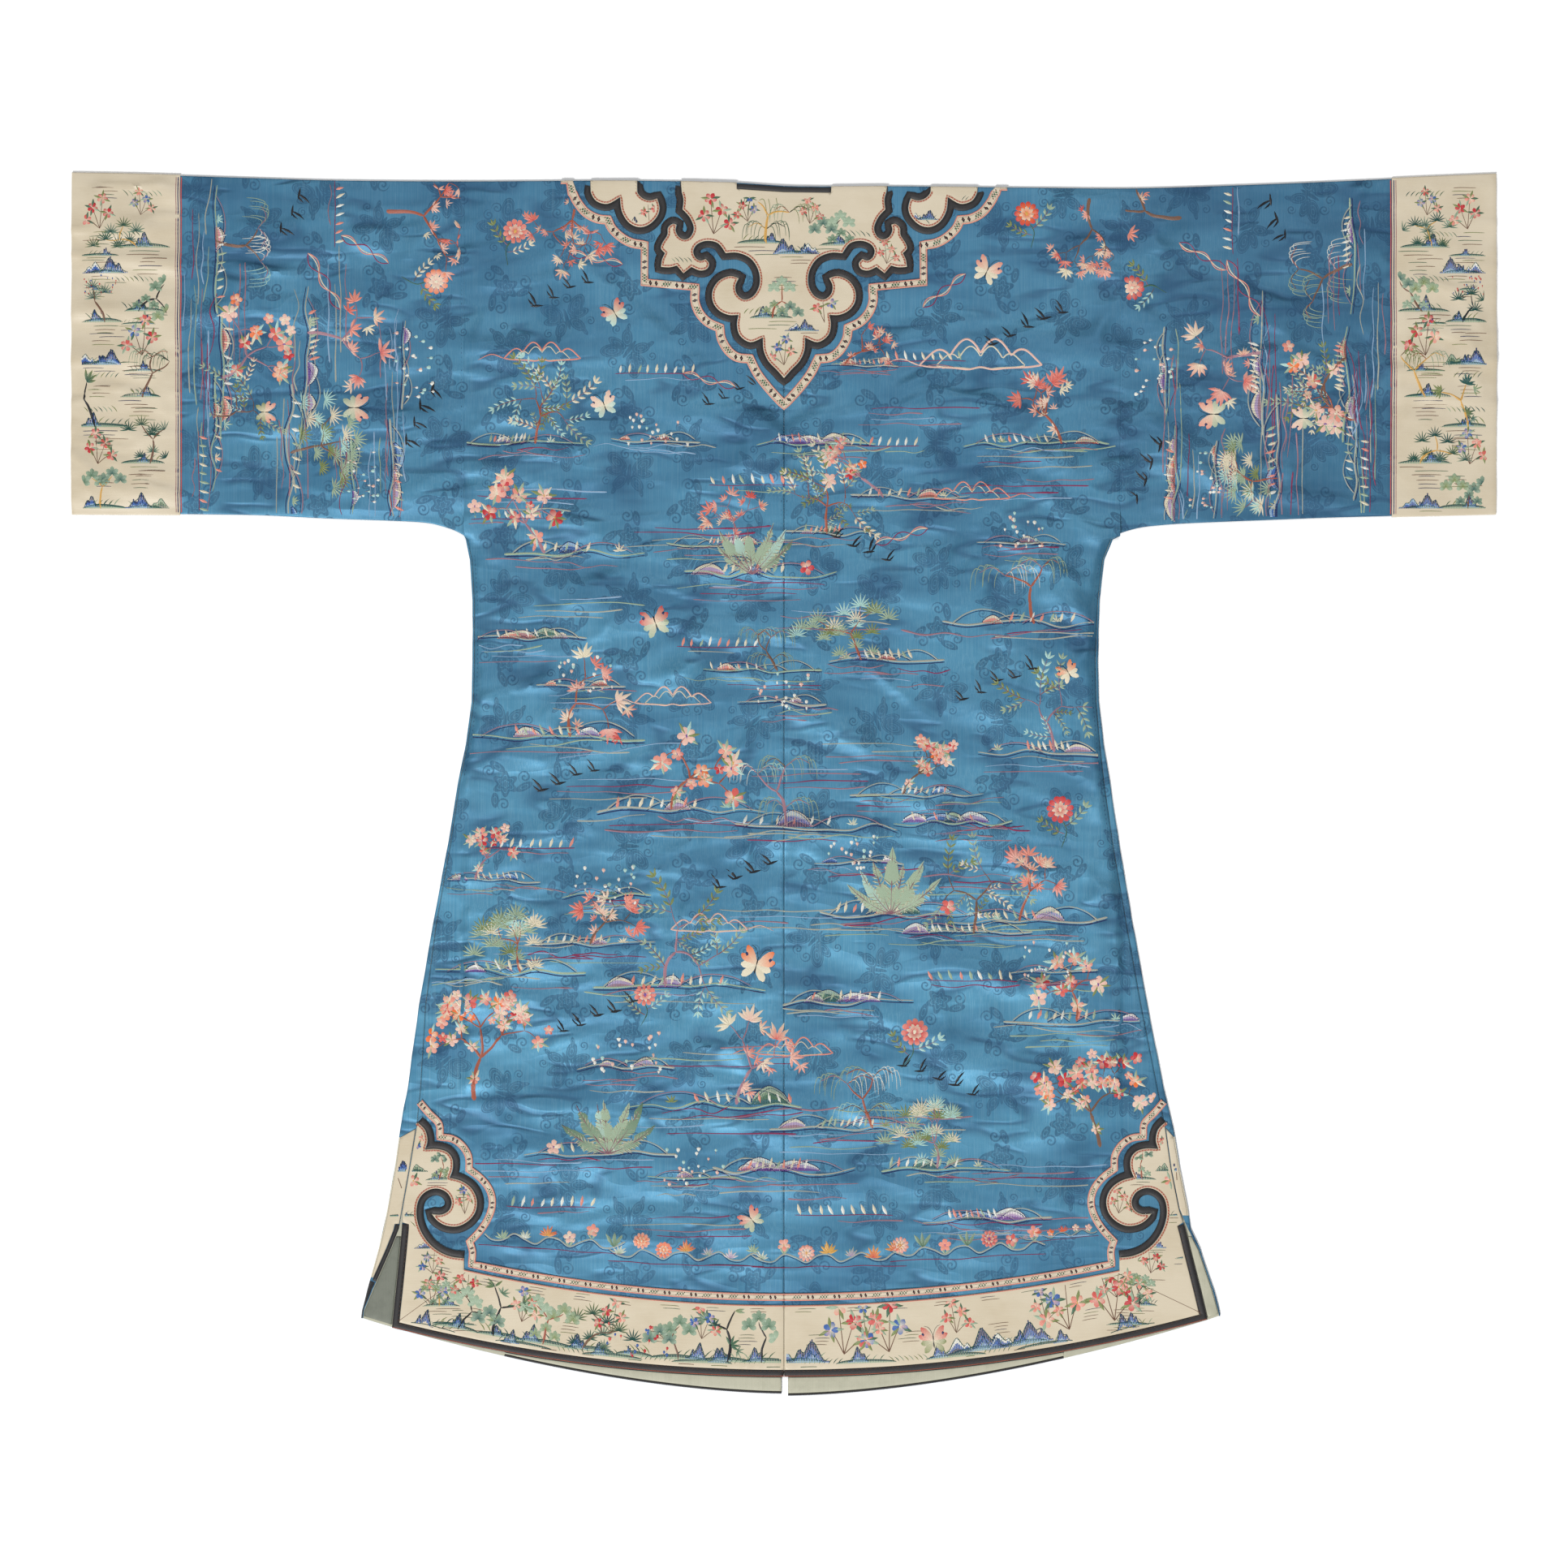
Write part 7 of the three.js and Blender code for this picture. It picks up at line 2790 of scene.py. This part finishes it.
# ---------------------------------------------------------------- sewing, ribbons and braid
@dataclass
class Sewing:
    """Lines of stitching and the small woven patterns of the ribbons and braid."""

    ribbon_pitch: float = 12.4
    stitch_pitch: float = 4.2
    braid_pitch: float = 2.7
    needles: dict[str, Needle] = field(default_factory=dict)

    def __post_init__(self) -> None:
        """Starts one needle for each kind of ground."""
        below_fold = lambda p: p[:, 1] < shoulder_at(p[:, 0]) - 0.4
        self.needles = {ground: Needle(below_fold) for ground in ("cloth", "trim", "binding", "ribbon")}

    def pen(self, ground: str, x: float = 0.0, y: float = 0.0, turn: float = 0.0) -> Pen:
        """Gives a pen on one kind of ground."""
        return Pen(self.needles[ground], ON_IVORY, np.random.RandomState(5), x, y, turn)

    def ribbon(self, path: Path, wide: float) -> None:
        """Weaves a ribbon's edge lines and florets.

        Args:
            path: the ribbon's middle line.
            wide: the ribbon's width.
        """
        for side in (1, -1):
            for inset, broad, crown, colour in ((0.7, 1.24, 0.3, T.SALMON), (1.9, 0.44, 0.22, T.BROWN)):
                self.line(path.beside(side * (wide / 2 - inset)).points, broad, colour, "ribbon", crown)
        size = wide * 0.15
        for k, (at, way) in enumerate(path.marks(self.ribbon_pitch, 5.0)):
            p = self.pen("ribbon", *at, math.degrees(way))
            if k % 2:
                for u in (-2.6, 0, 2.6):
                    p.dot(u, 0, size * 0.9, T.MOSS)
                    p.dot(u + 1.3, size * 1.3, size * 0.6, T.BROWN)
                    p.dot(u - 1.3, -size * 1.3, size * 0.6, T.BROWN)
            else:
                for u in (-size * 2.1, size * 2.1):
                    lozenge = p.at([(u, -size * 2.2), (u, 0), (u, size * 2.2)])
                    p.needle.strip(lozenge, np.array([0.2, size * 1.9, 0.2]), 0.34, T.BLACK)
                    p.petal(u - 0.6, 0, 0, 1.2, 0.9, T.SALMON, blunt=True, lift=0.3)

    def braid(self, path: Path) -> None:
        """Lays a flat rust braid with cream bars along a path.

        Args:
            path: the path.
        """
        self.line(path.points, 2.3, T.RUST, "trim", 0.3)
        for at, way in path.marks(self.braid_pitch):
            p = self.pen("trim", *at, math.degrees(way))
            bar = p.at([(-0.5, -0.6), (0, 0), (0.5, 0.6)])
            p.needle.strip(bar, np.array([0.3, 0.6, 0.3]), 0.5, T.CREAM)

    def stitches(self, path: Path, ground: str, colour: Thread) -> None:
        """Sews a line of short stitches along a path.

        Args:
            path: the path.
            ground: what it is sewn on.
            colour: its colour.
        """
        for at, way in path.marks(self.stitch_pitch, 1.5):
            p = self.pen(ground, *at, math.degrees(way))
            p.needle.strip(p.at([(-0.85, 0), (0, 0), (0.85, 0)]), np.array([0.12, 0.2, 0.12]), 0.16, colour)

    def line(self, points: Array, wide: float, colour: Thread, ground: str, crown: float = 0.35) -> None:
        """Lays a thin cord along points."""
        self.needles[ground].strip(points, np.full(len(points), wide / 2), crown, colour)

    def side(self, half: Half) -> None:
        """Sews everything on one side.

        Args:
            half: the side.
        """
        s, hem = half.side, HemTrim(half)
        self.ribbon(hem.ribbon, HEM_RIBBON_WIDE)
        self.braid(hem.head.beside(-hem.inward * 1.6))
        self.line(hem.border_line - (0, 0.8), 1.1, T.SALMON, "trim")
        self.stitches(hem.bound.beside(hem.inward * (BINDING_WIDE - 0.9)), "binding", T.BROWN)
        y = np.linspace(half.tip_y - 14, half.lap_trim_low, 60)
        self.line(np.stack([s * (half.outer_edge(y) - 0.9), y], 1), 1.3, T.CREAM, "cloth")
        if half.flap:
            y = np.linspace(half.lap_trim_low - 4, half.front_corner_y, 24)
            lap, edge = half.lap_edge(y), half.outer_edge(y)
            rim = np.stack([s * (lap + edge) / 2, y], 1)
            self.needles["cloth"].strip(rim, np.maximum((edge - lap) / 2 - 0.3, 0.9), 0.5, T.BLACK)
        low = hem.bound.beside(hem.inward * 0.9).points
        self.line(low[low[:, 1] < half.back_corner_y + 2], 0.9, T.RUST, "binding")
        for out, start, end in ((2.6, 350, -470), (half.sleeve_seam + 2.4, 556, 250)):
            self.stitches(Path([(s * out, y) for y in np.arange(start, end, -6.0)]), "cloth", T.NAVY)
        self.stitches(Path(down_edge(half, half.back_edge, 215, -300, 3.0, 60)), "cloth", T.NAVY)
        for out, wide, colour in ((-1.2, 1.1, T.CORAL), (1.9, 1.3, T.NAVY), (3.8, 0.8, T.CRIMSON)):
            out += half.band_seam
            y = np.linspace(float(half.underarm(out)) + 1.5, float(shoulder_at(s * out)) - 1.5, 90)
            self.line(np.stack([y * 0 + s * out, y], 1), wide, colour, "cloth")
        corner = (s * (half.back_edge(half.back_corner_y) - BINDING_WIDE), half.back_corner_y + BINDING_WIDE)
        start = (s * (hem.head_end - 1), half.border_top.y(hem.head_end) - 3)
        self.line(np.linspace(start, corner, 24), 0.7, T.BROWN, "trim")

    def build(self) -> list[Thing]:
        """Sews the whole garment.

        Returns:
            The pieces.
        """
        collar = CloudCollar()
        self.ribbon(collar.ribbon, COLLAR_RIBBON_WIDE)
        self.braid(collar.yoke.beside(1.6))
        self.stitches(collar.yoke.beside(-SEAM - BINDING_WIDE + 0.9), "binding", T.BROWN)
        for half in HALVES:
            self.side(half)
            self.braid(collar.lobe(half).beside(1.6))
        grounds = {
            "cloth": (LIE.top, "silk"), "trim": (Embroidery.on_trim, "satin"),
            "ribbon": (Embroidery.on_trim, "ribbon"),
            "binding": (lambda x, y: ON_BACK + BINDING_THICK + LIE.trim(x, y) - 0.12, "binding"),
        }
        return [piece for ground, (height, slot) in grounds.items()
                for piece in self.needles[ground].finish(f"stitching_on_{ground}", height, slot)]


# ---------------------------------------------------------------- the studio
@dataclass(frozen=True)
class Studio:
    """Pale floor, soft lights, and the camera straight above the garment."""

    view_wide: float = 1.4683
    lens: float = 85.0
    sensor: float = 36.0
    aim_height: float = 0.0026
    floor_wide: float = 30.0
    floor_low: float = -0.0004

    def camera(self) -> None:
        """Makes the camera, with the garment's shoulders up in the picture."""
        eye = bpy.data.cameras.new("camera")
        eye.lens, eye.sensor_width = self.lens, self.sensor
        eye.clip_end = 50
        thing = placed("camera", eye)
        thing.location = (0, 0, self.aim_height + self.view_wide * self.lens / self.sensor)
        bpy.context.scene.camera = thing

    def light(self, name: str, at: tuple[float, float, float], wide: float, power: float) -> None:
        """Makes a soft square light that faces the garment.

        Args:
            name: its name.
            at: its place.
            wide: its width.
            power: its power.
        """
        lamp = bpy.data.lights.new(name, "AREA")
        lamp.size, lamp.energy = wide, power
        thing = placed(name, lamp)
        thing.location = at
        thing.rotation_euler = (-Vector(at)).to_track_quat("-Z", "Y").to_euler()

    def build(self) -> None:
        """Makes the floor, the lights and the surrounding glow."""
        w = Weaver("pale_floor")
        w.set(Base_Color=w.blend(w.noise((0.004, 0.004, 1), 2), (0.93, 0.93, 0.93, 1), (0.9, 0.9, 0.9, 1)),
              Roughness=0.9)
        half = self.floor_wide / 2
        corners = [(x * half, y * half, self.floor_low) for x, y in ((-1, -1), (1, -1), (1, 1), (-1, 1))]
        mesh = bpy.data.meshes.new("floor")
        mesh.from_pydata(corners, [], [(0, 1, 2, 3)])
        mesh.materials.append(w.material)
        placed("floor", mesh)
        world = bpy.data.worlds.new("studio_glow")
        world.use_nodes = True
        glow = world.node_tree.nodes["Background"]
        glow.inputs["Color"].default_value = (1, 1, 1, 1)
        glow.inputs["Strength"].default_value = 0.28
        bpy.context.scene.world = world
        self.light("key", (-2.8, -6.6, 8.0), 2.4, 1120)
        self.light("counter", (0.8, 4.0, 8.5), 3.0, 260)
        settings = bpy.context.scene.view_settings
        settings.view_transform, settings.look = "Standard", "None"


def main() -> None:
    """Builds the surcoat piece by piece and reports each."""
    logging.basicConfig(level=logging.INFO, format="%(message)s")
    studio = Studio()
    studio.camera()
    made: list[Thing] = []
    for half in HALVES:
        made += [FrontPanel(half).build(), BackPanel(half).build()]
        sleeve = Sleeve(half, f"sleeve_silk_{half.name}", half.sleeve_seam + CLOSE_SEAM,
                        half.band_seam - SEAM / 2, Finish.SILK, "silk", f"sleeve_{half.name}")
        band = Sleeve(half, f"sleeve_band_satin_{half.name}", half.band_seam + SEAM / 2, half.sleeve_end,
                      Finish.SATIN, "satin", f"sleeve_band_{half.name}", proud=BAND_PROUD)
        made += [sleeve.build(f"back_panel_{half.name}"), band.build(f"sleeve_silk_{half.name}")]
        made += HemTrim(half).build() + FrontTrim(half).build()
    made += CloudCollar().build() + Embroidery().build() + Sewing().build()
    for piece in made:
        LOG.info("%s: %d faces", piece.name, len(piece.data.polygons))
    studio.build()


if __name__ == "__main__":
    main()
